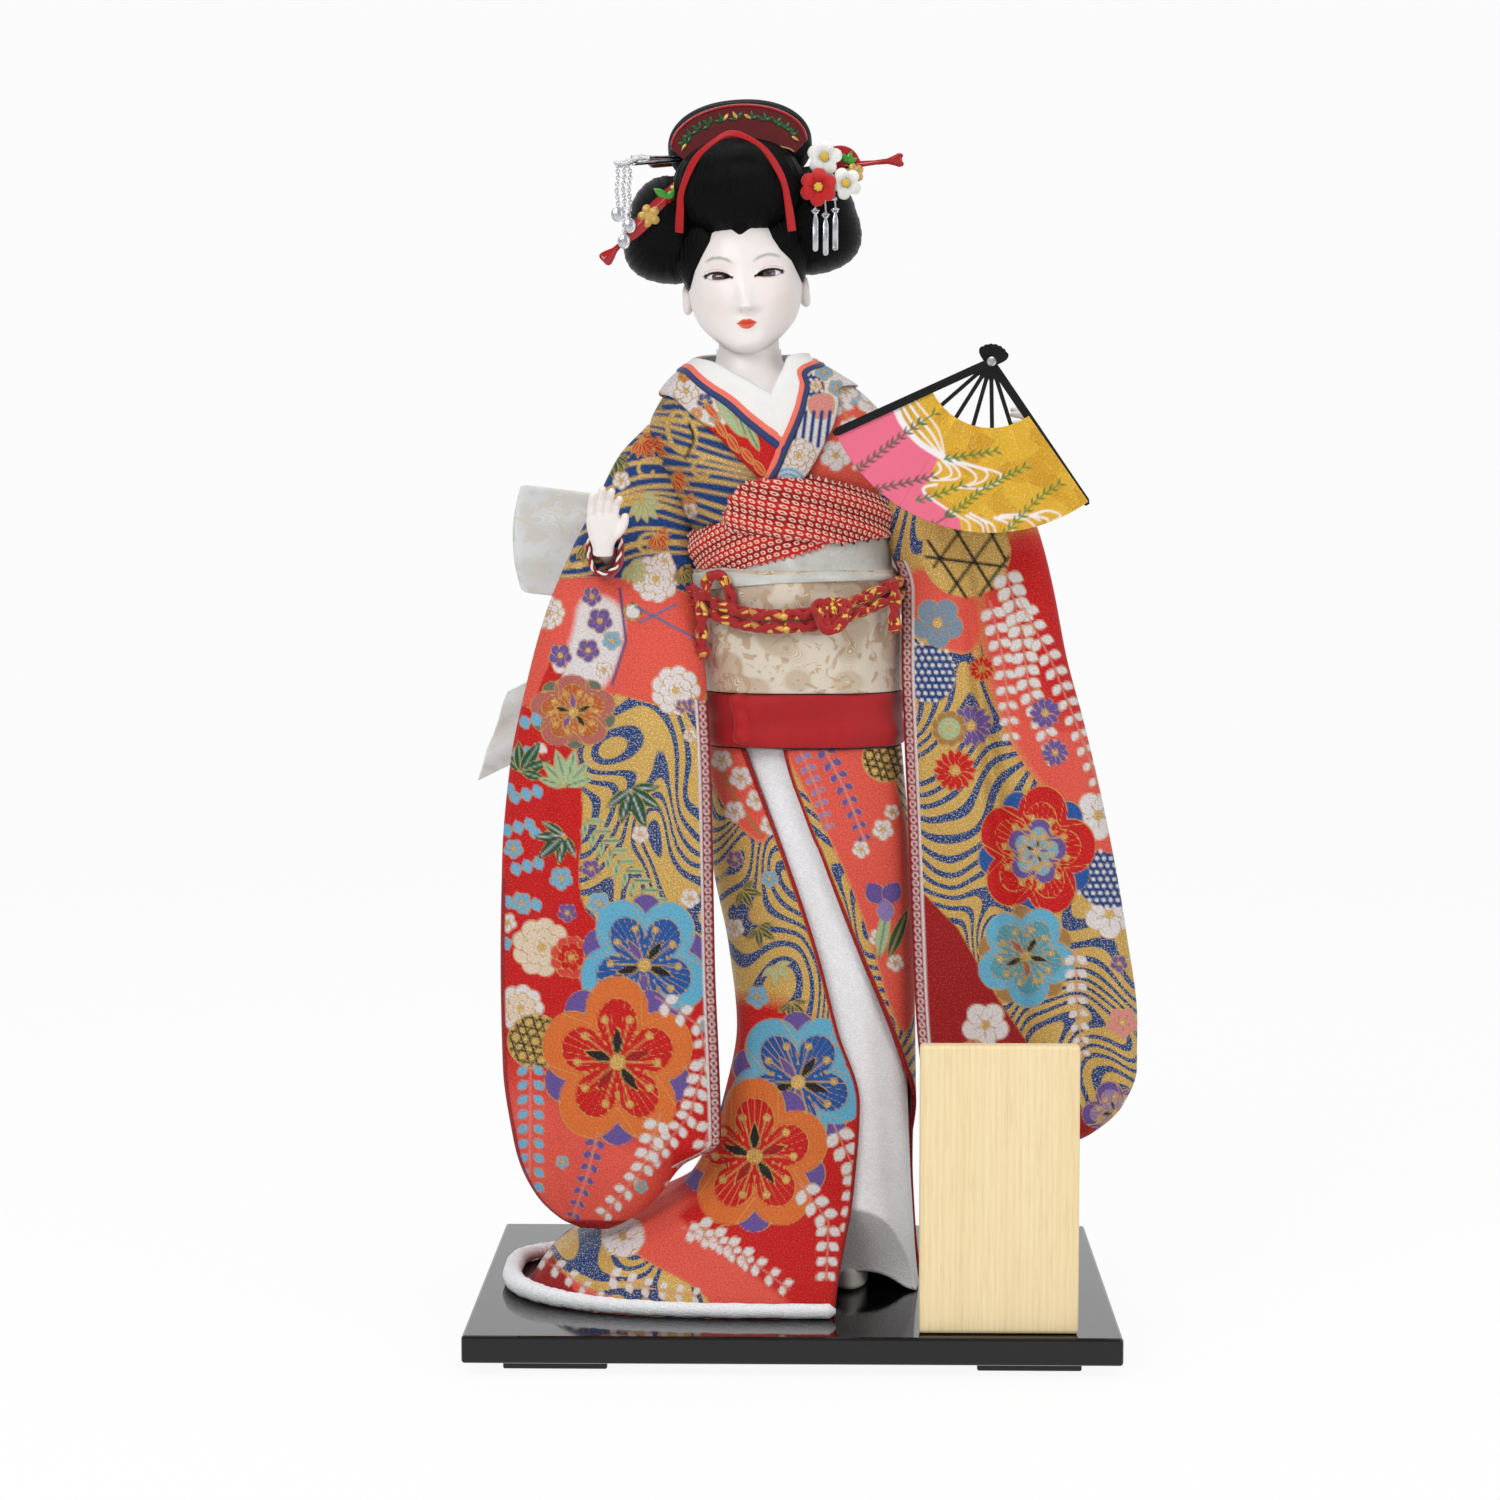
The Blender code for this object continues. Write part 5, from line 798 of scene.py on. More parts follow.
# ---------------------------------------------------------------- finishes
def printed_silk():
    """Crepe silk printed in many colours with gold outlines and a fine metallic grain."""
    finish = Finish("printed_silk", Roughness=0.62, Specular_Ior_Level=0.22, Sheen_Weight=0.03)
    chart = finish.stored("chart")
    line, wave, gold = finish.parts(finish.stored("marks"))
    colour = finish.stored("print", "Color")
    drift = finish.noise(finish.stretch(chart, (1.0, 0.62, 1.0)), 24.0, 0.0, 0.5, 0.7)
    along, up, _ = finish.parts(chart)
    flow = finish.node("ShaderNodeMath", {"operation": "SINE"},
        [(up * 0.40 + along * 0.30 + drift * 0.150) * 700.0])
    water = flow.above(0.24, 0.35) * wave.above(0.5)
    colour = finish.mix(water, colour, NAVY)
    grain = finish.noise(chart, 1300.0, 2.0, 0.8)
    patch = finish.noise(chart, 60.0, 3.0, 0.6)
    colour = finish.mix(1.0, colour, finish.mix(grain.above(0.5, 0.45), ink(190, 190, 192),
        ink(255, 255, 255)), "MULTIPLY")
    colour = finish.mix(patch.above(0.5, 0.6) * 0.14, colour, ink(255, 236, 220), "MULTIPLY")
    thread = line.below(0.62, 0.5)
    colour = finish.mix(thread * 0.85, colour, ink(196, 152, 82))
    spark = finish.noise(chart, 1500.0, 1.0, 0.8).above(0.60, 0.10)
    colour = finish.mix(spark * (gold * 0.6 + 0.06), colour, ink(250, 226, 170))
    finish.set("Base Color", colour)
    finish.set("Metallic", ((thread * 0.35 + gold * 0.35) * (1 - water)).clamp())
    finish.set("Roughness", finish.spread(gold + grain * 0.3, 0.0, 1.2, 0.68, 0.42))
    crepe = finish.noise(finish.stretch(chart, (1.0, 1.5, 1.0)), 1000.0, 2.0, 0.7)
    finish.bump(crepe + thread * 0.5, 0.6, 0.0004)
    return finish


def plain_cloth(name, colour, shade, pitch=0.0006, crinkle=0.4, roughness=0.8, sheen=0.2, depth=0.0002):
    """Plain cloth with a weave and a little crepe, whose darker second tone is painted shade in their
    hollows.
    """
    finish = Finish(name, Roughness=roughness, Specular_Ior_Level=0.3, Sheen_Weight=sheen)
    place = finish.place()
    soft = finish.noise(place, 90.0, 3.0, 0.6)
    grain = finish.noise(place, 1 / pitch, 2.0, 0.7)
    # painted shade: the darker tone follows the noises that make the bump, so it lies where the weave and
    # crepe sink
    finish.set("Base Color", finish.mix((soft * 0.6 + grain * 0.5).clamp(), shade, colour))
    finish.set("Roughness", finish.spread(grain, 0.2, 0.8, roughness - 0.1, min(1.0, roughness + 0.12)))
    finish.bump(grain + soft * crinkle, 0.5, depth)
    return finish


def crepe_white():
    """White chirimen crepe: a net of fine broken ripples, with painted shade greying their hollows."""
    finish = Finish("white_crepe", Roughness=0.85, Specular_Ior_Level=0.25, Sheen_Weight=0.25)
    place = finish.place()
    ripple = finish.noise(finish.stretch(place, (1.0, 1.0, 2.4)), 620.0, 3.0, 0.65, 1.2)
    net = finish.cells(finish.stretch(place, (1.0, 1.0, 1.9)), 950.0)
    height = ripple + net * 0.7
    # painted shade: the ripples' height that makes the bump also greys the white in their hollows
    finish.set("Base Color", finish.mix(height.above(0.75, 0.7), ink(226, 226, 229), ink(249, 249, 250)))
    finish.bump(height, 0.75, 0.0005)
    return finish


def brocade(name, ground, thread, motif, scale=1.0):
    """A pale woven band with ribs of metal thread and scattered woven figures."""
    finish = Finish(name, Specular_Ior_Level=0.5, Sheen_Weight=0.1)
    place = finish.place()
    cells = finish.cells(finish.stretch(place, (1, 1, 1.3)), 62.0 * scale, "SMOOTH_F1", 0.8)
    rings = finish.wave(finish.vector(cells, 0.0, 0.0), 22.0, 0.6, "X")
    figure = (rings.above(0.55, 0.2) * cells.below(0.42, 0.1)).clamp()
    scroll = finish.noise(place, 120.0 * scale, 3.0, 0.55, 1.4)
    figure = (figure + scroll.above(0.56, 0.05) * 0.8).clamp()
    ribs = finish.wave(place, 1500.0, 0.4, "Z")
    fine = finish.noise(finish.stretch(place, (1.0, 1.0, 3.0)), 1700.0, 2.0)
    colour = finish.mix(fine, ground, thread)
    colour = finish.mix(figure * 0.75, colour, motif)
    finish.set("Base Color", colour)
    finish.set("Metallic", finish.spread(figure + fine * 0.4, 0.0, 1.4, 0.12, 0.45))
    finish.set("Roughness", finish.spread(fine, 0.2, 0.8, 0.38, 0.62))
    finish.bump(ribs * 0.5 + figure * 0.8 + fine * 0.4, 0.5, 0.0003)
    return finish


def lacquer(name, colour, second, roughness=0.06, speck=0.0, coat=0.5):
    """Polished lacquer with faint waves in its surface and a trace of dust."""
    finish = Finish(name, Coat_Weight=coat, Coat_Roughness=0.03, Specular_Ior_Level=0.3)
    place = finish.place()
    cloud = finish.noise(place, 14.0, 4.0, 0.6)
    dust = finish.noise(place, 2600.0, 0.0).above(0.79, 0.02)
    finish.set("Base Color", finish.mix(dust * speck, finish.mix(cloud, colour, second), ink(120, 120, 122)))
    finish.set("Roughness", finish.spread(cloud, 0.3, 0.7, roughness, roughness + 0.05))
    finish.bump(finish.noise(place, 9.0, 1.0), 0.05, 0.0004)
    return finish


def bare_wood():
    """Pale straight-grained wood, upright on the plate."""
    finish = Finish("bare_wood", Specular_Ior_Level=0.35)
    place = finish.place()
    wide = finish.noise(finish.stretch(place, (95.0, 30.0, 3.2)), 1.0, 4.0, 0.55, 0.5)
    rings = finish.wave(finish.stretch(place, (1.0, 0.5, 0.03)), 120.0, 5.0, "X", 2.0, 1.5)
    pores = finish.noise(finish.stretch(place, (1600.0, 1600.0, 60.0)), 1.0, 1.0)
    colour = finish.mix(wide, ink(234, 208, 158), ink(246, 228, 184))
    colour = finish.mix(rings.above(0.62, 0.9) * 0.16, colour, ink(216, 180, 122))
    colour = finish.mix(pores.above(0.62, 0.2) * 0.18, colour, ink(200, 162, 106))
    finish.set("Base Color", colour)
    finish.set("Roughness", finish.spread(pores, 0.3, 0.7, 0.46, 0.6))
    finish.bump(pores + rings * 0.5, 0.2, 0.0002)
    return finish


def black_silk_hair():
    """Combed silk hair: fine strands along the combing, stored with each mass."""
    finish = Finish("black_silk_hair", Specular_Ior_Level=0.09)
    comb = finish.stored("comb")
    strand = finish.noise(finish.stretch(comb, (240.0, 5.0, 1.0)), 1.0, 3.0, 0.7)
    lock = finish.noise(finish.stretch(comb, (34.0, 1.6, 1.0)), 1.0, 2.0, 0.5)
    finish.set("Base Color", finish.mix(strand.above(0.62, 0.3) * lock, ink(2, 2, 3), ink(20, 19, 23)))
    finish.set("Roughness", finish.spread(strand, 0.25, 0.75, 0.22, 0.44))
    finish.bump(strand + lock * 0.6, 0.55, 0.0004)
    return finish


def painted_skin():
    """White shell-powder skin with a satin polish, and the face's paint where it is stored, which holds
    painted shade in the lid creases and at the nostrils.
    """
    finish = Finish("white_skin", Specular_Ior_Level=0.4, Coat_Weight=0.15, Coat_Roughness=0.35)
    finish.set("Subsurface Weight", 0.08)
    finish.set("Subsurface Radius", (0.004, 0.002, 0.0015))
    finish.set("Subsurface Scale", 0.6)
    place = finish.place()
    tone = finish.noise(place, 60.0, 2.0, 0.5)
    colour = finish.mix(tone, ink(232, 222, 216), ink(243, 237, 233))
    paint = finish.stored("paint", "Color")
    cover = finish.stored("paint", "Alpha")
    fuzz = finish.noise(finish.stretch(place, (2400.0, 2400.0, 420.0)), 1.0, 2.0, 0.6)
    colour = finish.mix((cover + (fuzz - 0.5) * 0.5 * (cover * (1 - cover) * 4)).clamp(), colour, paint)
    finish.set("Base Color", colour)
    finish.set("Roughness", finish.spread(tone, 0.3, 0.7, 0.30, 0.40))
    finish.bump(finish.noise(place, 900.0, 2.0), 0.05, 0.0002)
    return finish


def metal(name, colour, second, roughness=0.2):
    finish = Finish(name, Metallic=1.0)
    place = finish.place()
    spots = finish.noise(place, 420.0, 3.0, 0.6)
    finish.set("Base Color", finish.mix(spots, second, colour))
    finish.set("Roughness", finish.spread(spots, 0.3, 0.7, roughness, roughness + 0.18))
    finish.bump(finish.noise(place, 1500.0, 1.0), 0.15, 0.0001)
    return finish


def eye_glass():
    """A pale blue-white ball with a dark brown iris, darker at its rim and its pupil."""
    finish = Finish("brown_glass", Coat_Weight=1.0, Coat_Roughness=0.02, Roughness=0.08)
    away = finish.stored("iris", "Fac")
    shade = finish.noise(finish.place(), 900.0, 2.0)
    iris = finish.mix((away + (shade - 0.5) * 0.5).above(1.1, 0.5), ink(14, 9, 9), ink(88, 56, 46))
    iris = finish.mix(away.above(1.95, 0.35), iris, ink(26, 14, 14))
    finish.set("Base Color", finish.mix(away.above(2.25, 0.25), iris,
        finish.mix(shade, ink(206, 216, 226), ink(228, 232, 236))))
    finish.bump(shade, 0.02, 0.00005)
    return finish


def fan_paper():
    """Gold-leaf paper with painted water, sprigs and a rose part near the front guard."""
    finish = Finish("fan_paper", Specular_Ior_Level=0.5)
    _, _, gold = finish.parts(finish.stored("marks"))
    place = finish.place()
    tone, _, _ = finish.parts(finish.cells(place, 120.0, "F1", 1.0, "Color"))
    speck = finish.noise(place, 1900.0, 1.0)
    colour = finish.stored("print", "Color")
    colour = finish.mix(gold * 0.35, colour, finish.mix(tone, ink(186, 128, 18), ink(244, 202, 62)))
    colour = finish.mix(speck.above(0.6, 0.2) * gold * 0.4, colour, ink(255, 232, 140))
    finish.set("Base Color", colour)
    finish.set("Metallic", gold * 0.45)
    finish.set("Roughness", finish.spread(speck - gold, -0.8, 1.0, 0.30, 0.6))
    finish.bump(speck + tone * 0.3, 0.2, 0.00015)
    return finish


def tied_dots():
    """Scarlet silk tied in rows of raised rings with a red eye and a pale rim, its red darker in the hollows
    of its folds as painted shade.
    """
    finish = Finish("tied_dot_silk", Specular_Ior_Level=0.3, Sheen_Weight=0.2)
    ring, shade, _ = finish.parts(finish.stored("dots"))
    place = finish.place()
    grain = finish.noise(place, 1400.0, 2.0, 0.6)
    pale = ring.above(0.32, 0.12) * ring.below(0.68, 0.16)
    # painted shade: the second stored number follows the scarf's folds, so the red darkens in their hollows
    colour = finish.mix(pale * (0.75 + grain * 0.3), finish.mix(shade, ink(150, 14, 16), ink(196, 34, 30)),
        ink(244, 206, 184))
    finish.set("Base Color", colour)
    finish.set("Roughness", finish.spread(grain, 0.3, 0.7, 0.72, 0.9))
    finish.bump(grain + pale * 0.4, 0.4, 0.0003)
    return finish


def braided_cord():
    """Scarlet silk braid with flecks of gold thread."""
    finish = Finish("red_gold_braid", Specular_Ior_Level=0.35, Sheen_Weight=0.25)
    along, around, _ = finish.parts(finish.stored("braid"))
    fine = finish.noise(finish.stretch(finish.stored("braid"), (1.0, 0.6, 1.0)), 3200.0, 2.0)
    fleck = finish.cells(finish.vector(along, around * 0.6, 0.0), 310.0, "F1", 0.75, "Color")
    red_part, _, _ = finish.parts(fleck)
    gold = red_part.above(0.80, 0.02)
    colour = finish.mix(fine, ink(128, 6, 10), ink(190, 16, 20))
    colour = finish.mix(gold, colour, ink(224, 184, 84))
    finish.set("Base Color", colour)
    finish.set("Metallic", gold * 0.6)
    finish.set("Roughness", finish.spread(fine + gold, 0.3, 1.6, 0.66, 0.4))
    finish.bump(fine, 0.5, 0.0003)
    return finish


FINISHES = {}


def finish_of(name):
    """Each finish is made once, when a piece first needs it."""
    makers = {"silk": printed_silk, "white_silk": lambda: plain_cloth("white_collar_silk", ink(240, 238, 234),
        ink(222, 220, 218), 0.0005, 0.3), "coral_silk": lambda: plain_cloth("coral_edge_silk",
        ink(240, 122, 100), ink(222, 96, 78), 0.0005, 0.3, 0.6),
        "navy_silk": lambda: plain_cloth("navy_edge_silk", ink(44, 62, 112), ink(30, 44, 88), 0.0005, 0.3,
        0.6), "scarlet_silk": lambda: plain_cloth("scarlet_sash_silk", ink(186, 14, 22), ink(140, 6, 14),
        0.0005, 0.5, 0.6), "red_lining": lambda: plain_cloth("dark_red_lining", ink(160, 12, 18),
        ink(120, 6, 10), 0.0004, 0.4, 0.7), "pale_lining": lambda: plain_cloth("pale_lining",
        ink(232, 228, 226), ink(206, 202, 204), 0.0005, 0.4, 0.8), "crepe": crepe_white,
        "band": lambda: brocade("pale_band_brocade", ink(214, 200, 178), ink(232, 222, 204),
        ink(180, 142, 98)), "band_edge": lambda: brocade("silver_edge_brocade", ink(200, 204, 198),
        ink(222, 226, 220), ink(206, 206, 196), 1.6),
        "bow": lambda: brocade("silver_bow_brocade", ink(224, 228, 227), ink(240, 242, 241),
        ink(222, 216, 204), 0.9), "tied_dots": tied_dots, "braid": braided_cord,
        "stand": lambda: lacquer("black_stand_lacquer", ink(4, 4, 5), ink(9, 9, 11), 0.05, 0.2, 0.25),
        "red_lacquer": lambda: lacquer("red_lacquer", ink(176, 8, 16), ink(150, 4, 12), 0.10, 0.0),
        "comb_lacquer": lambda: lacquer("comb_lacquer", ink(112, 6, 12), ink(66, 4, 8), 0.10),
        "comb_green": lambda: lacquer("comb_green", ink(26, 84, 34), ink(14, 56, 22), 0.2),
        "shell": lambda: lacquer("brown_shell", ink(112, 44, 34), ink(76, 26, 22), 0.16, 0.0),
        "ribs": lambda: lacquer("black_rib_lacquer", ink(8, 8, 8), ink(16, 15, 15), 0.22, 0.0, 0.1),
        "wood": bare_wood, "core": lambda: plain_cloth("core_straw", ink(206, 178, 128), ink(168, 138, 92),
        0.0008, 0.6, 0.9, 0.0), "socks": lambda: plain_cloth("white_socks", ink(238, 237, 234),
        ink(222, 220, 216), 0.0004, 0.2, 0.5), "hair": black_silk_hair, "skin": painted_skin,
        "silver": lambda: metal("silver", ink(220, 221, 224), ink(186, 188, 192), 0.16),
        "gold": lambda: metal("gold_dust", ink(222, 176, 92), ink(178, 128, 58), 0.30), "glass": eye_glass,
        "fan_paper": fan_paper, "white_petals": lambda: plain_cloth("white_petal_silk", ink(244, 243, 238),
        ink(224, 224, 216), 0.0003, 0.6, 0.5, 0.3, 0.0003),
        "red_petals": lambda: plain_cloth("red_petal_silk", ink(214, 16, 16), ink(168, 6, 8), 0.0003, 0.6,
        0.45, 0.3, 0.0003), "yellow_heart": lambda: plain_cloth("yellow_stamens", ink(240, 208, 84),
        ink(206, 158, 36), 0.0003, 0.6, 0.5, 0.1, 0.0004),
        "red_ribbon": lambda: plain_cloth("red_hair_ribbon", ink(190, 8, 18), ink(150, 2, 10), 0.0004, 0.3,
        0.4, 0.1), "green_enamel": lambda: lacquer("green_enamel", ink(66, 160, 40), ink(40, 120, 34), 0.15,
        0.0), "gold_relief": lambda: metal("gold_relief", ink(214, 180, 112), ink(184, 146, 80), 0.36),}
    if name not in FINISHES:
        FINISHES[name] = makers[name]()
    return FINISHES[name]


# ---------------------------------------------------------------- sleeves
# drop, outer and inner x in widths from the body line, y of both edges and half thickness in depths, folds
FREE_SLEEVE = (
    (0.000, 0.30, 0.12, 0.10, 0.10, 0.16, 0.0), (0.040, 0.44, 0.10, 0.05, 0.10, 0.36, 0.0),
    (0.100, 0.55, 0.08, -0.20, 0.05, 0.48, 0.1), (0.160, 0.66, 0.06, -0.60, -0.10, 0.46, 0.3),
    (0.240, 0.78, 0.04, -0.80, -0.45, 0.42, 0.5), (0.330, 0.87, 0.01, -0.90, -0.80, 0.40, 0.7),
    (0.420, 0.94, -0.01, -0.95, -0.95, 0.38, 0.9), (0.540, 0.98, -0.02, -1.00, -1.00, 0.36, 1.0),
    (0.680, 0.99, -0.03, -1.00, -1.02, 0.34, 1.0), (0.800, 0.98, -0.05, -1.05, -1.10, 0.32, 1.0),
    (0.890, 0.93, -0.06, -1.12, -1.22, 0.30, 0.9), (0.920, 0.90, 0.12, -1.14, -1.24, 0.28, 0.8),
    (0.960, 0.82, 0.24, -1.18, -1.26, 0.24, 0.6), (0.990, 0.70, 0.38, -1.20, -1.26, 0.18, 0.4),
    (1.000, 0.62, 0.46, -1.20, -1.26, 0.10, 0.3),
)
FAN_SLEEVE = (
    (0.000, -0.22, 0.06, 0.00, 0.00, 0.26, 0.0), (0.030, -0.22, 0.26, 0.00, 0.00, 0.40, 0.0),
    (0.070, -0.20, 0.44, 0.00, -0.20, 0.46, 0.0), (0.120, -0.16, 0.54, 0.00, -0.50, 0.50, 0.1),
    (0.170, -0.08, 0.60, -0.10, -0.70, 0.50, 0.3), (0.240, 0.00, 0.66, -0.30, -0.60, 0.46, 0.6),
    (0.330, 0.00, 0.72, -0.45, -0.55, 0.42, 0.8), (0.420, 0.01, 0.80, -0.55, -0.55, 0.40, 1.0),
    (0.550, 0.03, 0.90, -0.60, -0.55, 0.38, 1.0), (0.700, 0.05, 0.99, -0.60, -0.55, 0.36, 1.0),
    (0.820, 0.07, 1.04, -0.60, -0.55, 0.34, 1.0), (0.880, 0.09, 1.04, -0.60, -0.55, 0.32, 0.9),
    (0.930, 0.12, 0.98, -0.60, -0.55, 0.30, 0.8), (0.970, 0.18, 0.84, -0.60, -0.55, 0.24, 0.6),
    (0.992, 0.30, 0.66, -0.60, -0.55, 0.16, 0.4), (1.000, 0.38, 0.56, -0.60, -0.55, 0.10, 0.3),
)


def sleeve_grid(table, top, drop, width, depth, line, side, folds, rows=430, front=128, back=64):
    """Rings of a hanging sleeve: its front face from the outer edge in, then its back face out again."""
    share = np.linspace(0, 1, rows)
    outer, inner, outer_y, inner_y, half, fold = (column[:, None] for column in row_at(table, share))
    faces = []
    for face, count in ((-1, front), (1, back)):
        t = np.linspace(0, 1, count, endpoint=False)
        along = 0.5 * t + 0.5 * (1 - np.cos(math.pi * t)) / 2
        along = along[None, :] if face < 0 else 1 - along[None, :]
        x = line + side * width * (outer + (inner - outer) * along)
        middle = depth * (outer_y + (inner_y - outer_y) * along)
        end = np.sqrt(np.clip(1 - np.abs(2 * along - 1) ** 5, 0, 1))
        wave = fold * folds(along, share[:, None])
        y = BODY_Y + middle + (0.35 if face > 0 else 1.0) * wave + face * half * depth * (0.08 + 0.92 * end)
        z = np.broadcast_to((top - drop * share)[:, None], y.shape)
        faces.append(stack(np.broadcast_to(x, y.shape), y, z))
    return np.concatenate(faces, axis=1)


def free_folds(along, share):
    """The free sleeve's front leaf lies over the strip that turns away at its outer edge."""
    step = -0.0034 * ease(along, 0.20, 0.29) * ease(share, 0.14, 0.30)
    soft = 0.0016 * np.sin(2 * math.pi * (along * 1.6 + share * 0.5) + 0.6) + 0.0012 * bell(along, 0.62,
        0.06) * (1 - share)
    creases = 0.0011 * np.sin(34 * share + 6 * along) * bell(share, 0.16, 0.10)
    return step + soft + creases


def fan_folds(along, share):
    """The fan sleeve has one long soft fold down its middle and a gather under the hand."""
    long_fold = 0.0046 * bell(along, 0.42 + 0.06 * share, 0.05) - 0.0030 * bell(along, 0.56 + 0.06 * share,
        0.09)
    soft = 0.0014 * np.sin(2 * math.pi * (along * 1.9 - share * 0.4) + 2.2)
    creases = 0.0013 * np.sin(30 * share - 8 * along) * bell(share, 0.20, 0.10)
    return long_fold + soft + creases


def print_free_sleeve(p):
    p.shape([(440, 380), (780, 380), (780, 1250), (440, 1250)], GOLD, edge=False, gold=0.8, wave=1.0)
    p.smooth([(430, 690), (566, 680), (585, 800), (575, 900), (600, 930), (690, 985), (730, 1010),
        (740, 1260), (430, 1260)], SCARLET, edge=False)
    p.smooth([(440, 1090), (560, 1080), (640, 1130), (670, 1180), (660, 1260), (440, 1260)], CORAL,
        edge=False, soft=60)
    p.shape([(440, 380), (780, 380), (780, 560), (700, 590), (612, 590), (545, 575), (440, 620)], NAVY,
        edge=False)
    gold_streams(p, 400)
    p.smooth([(535, 570), (700, 585), (712, 640), (705, 720), (640, 700), (600, 690), (520, 720), (505, 650)],
        CORAL, soft=2)
    p.smooth([(580, 590), (622, 600), (626, 640), (606, 690), (560, 720), (545, 700), (572, 640)], WHITE,
        edge=False, soft=7)
    p.smooth([(560, 640), (572, 652), (556, 690), (548, 740), (528, 756), (532, 700)], SCARLET, edge=False,
        soft=2)
    for x, y, t in ((552, 664, 0.5), (546, 684, 0.6), (542, 704, 0.4), (538, 724, 0.5), (534, 744, 0.6)):
        p.petal(x, y, t, 15, 10, WHITE, fat=1.0)
    # painted shade: this plum lies under the fold over the forearm, so it is given browned, dull copies of a
    # plum's colours as they look in that shade
    p.plum(573, 712, 44, 0.9, 0.86, ink(190, 106, 96), ink(196, 96, 48), ink(120, 88, 150), ink(104, 116, 96))
    p.peony(548, 612, 17, WHITE, WHITE)
    p.peony(676, 690, 25, WHITE, WHITE)
    for x, y, r, c in ((600, 620, 13, VIOLET), (592, 596, 10, VIOLET), (560, 655, 12, VIOLET),
            (612, 640, 10, SKY), (588, 650, 12, VIOLET), (604, 670, 9, WHITE), (694, 706, 9, VIOLET),
            (690, 735, 7, WHITE), (682, 706, 7, VIOLET)):
        p.blossom(x, y, r, c)
    p.stroke([(620, 588), (626, 640), (612, 684)], 2.4, NAVY)
    p.disc(633, 611, 9, BLACK)
    p.dotted([(626, 604), (640, 604), (640, 618), (626, 618)], WHITE, 4.0)
    p.peony(656, 578, 24, WHITE, WHITE)
    p.stroke([(636, 606), (700, 640)], 2.6, ink(96, 110, 150))
    p.stroke([(640, 622), (676, 604)], 2.6, ink(96, 110, 150))
    for x, y in scatter(26, (500, 700), (540, 960), 3):
        p.petal(x, y, 1.2, 15, 11, SKY, fat=1.0)
    p.sprig(520, 772, -1.0, 36, 5, LEAF, PALE_LEAF)
    for x, y, r in ((512, 850, 10), (520, 905, 11), (505, 925, 10)):
        p.blossom(x, y, r, (SKY, WHITE)[int(x) % 2])
    p.peony(540, 950, 30, CREAM, CREAM)
    p.peony(518, 1012, 24, CREAM, WHITE)
    p.peony(570, 960, 22, SCARLET, ink(226, 70, 60))
    p.basket(533, 1046, 28, 0.2)
    p.sprig(566, 786, -1.6, 40, 6, PALE_LEAF, LEAF)
    p.sprig(630, 790, 1.2, 42, 5, LEAF, WHITE)
    p.sprig(563, 836, 2.4, 36, 5, LEAF, WHITE)
    for i in range(9):
        x, y = 586 + i * 8, 822 + i * 10
        for side in (-1, 1):
            p.leaf(x, y, 0.9 + side * 0.9, 19, 7, PALE_LEAF, LEAF)
    for x, y, r, c in ((560, 880, 12, SKY), (590, 870, 10, VIOLET), (598, 905, 12, SKY),
            (566, 915, 10, VIOLET), (640, 835, 9, WHITE), (690, 900, 10, WHITE)):
        p.blossom(x, y, r, c)
    p.leaf(694, 958, 1.2, 34, 12)
    p.leaf(700, 962, 1.9, 30, 11)
    p.plum(643.6, 968, 66, 0.35, 1.12, TURQUOISE, ROYAL, VIOLET, VIOLET)
    p.plum(616, 1067, 78, -1.57, 1.12, ORANGE, SCARLET, CRIMSON, VIOLET)
    for i in range(9):
        for side in (-1, 1):
            p.petal(528 + side * 3, 1072 + i * 15, 1.57 - side * 0.9, 13, 9, SKY, fat=1.0)
    p.stroke([(528, 1068), (526, 1215)], 1.3, PINK)
    p.raceme([(596, 1140), (586, 1180), (570, 1228)], 7, 11, VIOLET, PINK)
    p.raceme([(655, 1000), (700, 1030), (712, 1090)], 6, 14)
    p.raceme([(706, 1060), (690, 1120), (650, 1170)], 9, 15)
    p.raceme([(660, 1120), (640, 1180), (600, 1226)], 8, 15)
    p.raceme([(712, 1120), (700, 1170), (668, 1200)], 5, 14)
    for x, y in ((706, 1030), (712, 1080), (640, 1195), (560, 1170)):
        p.blossom(x, y, 7, SKY)
    for x, y, r, c in ((612, 455, 26, LEAF), (640, 440, 22, SCARLET), (600, 500, 24, SCARLET),
            (640, 500, 26, PALE_LEAF), (585, 545, 22, LEAF), (655, 535, 20, SCARLET),
            (630, 565, 22, PALE_LEAF), (680, 570, 18, LEAF), (575, 480, 20, PALE_LEAF)):
        p.sprig(x, y, 0.8 + 0.3 * (x % 5), r, 7, c, GOLD)
    for x, y, r, c in ((622, 480, 9, WHITE), (598, 528, 10, SKY), (665, 560, 9, WHITE), (610, 410, 14, SKY)):
        p.blossom(x, y, r, c)


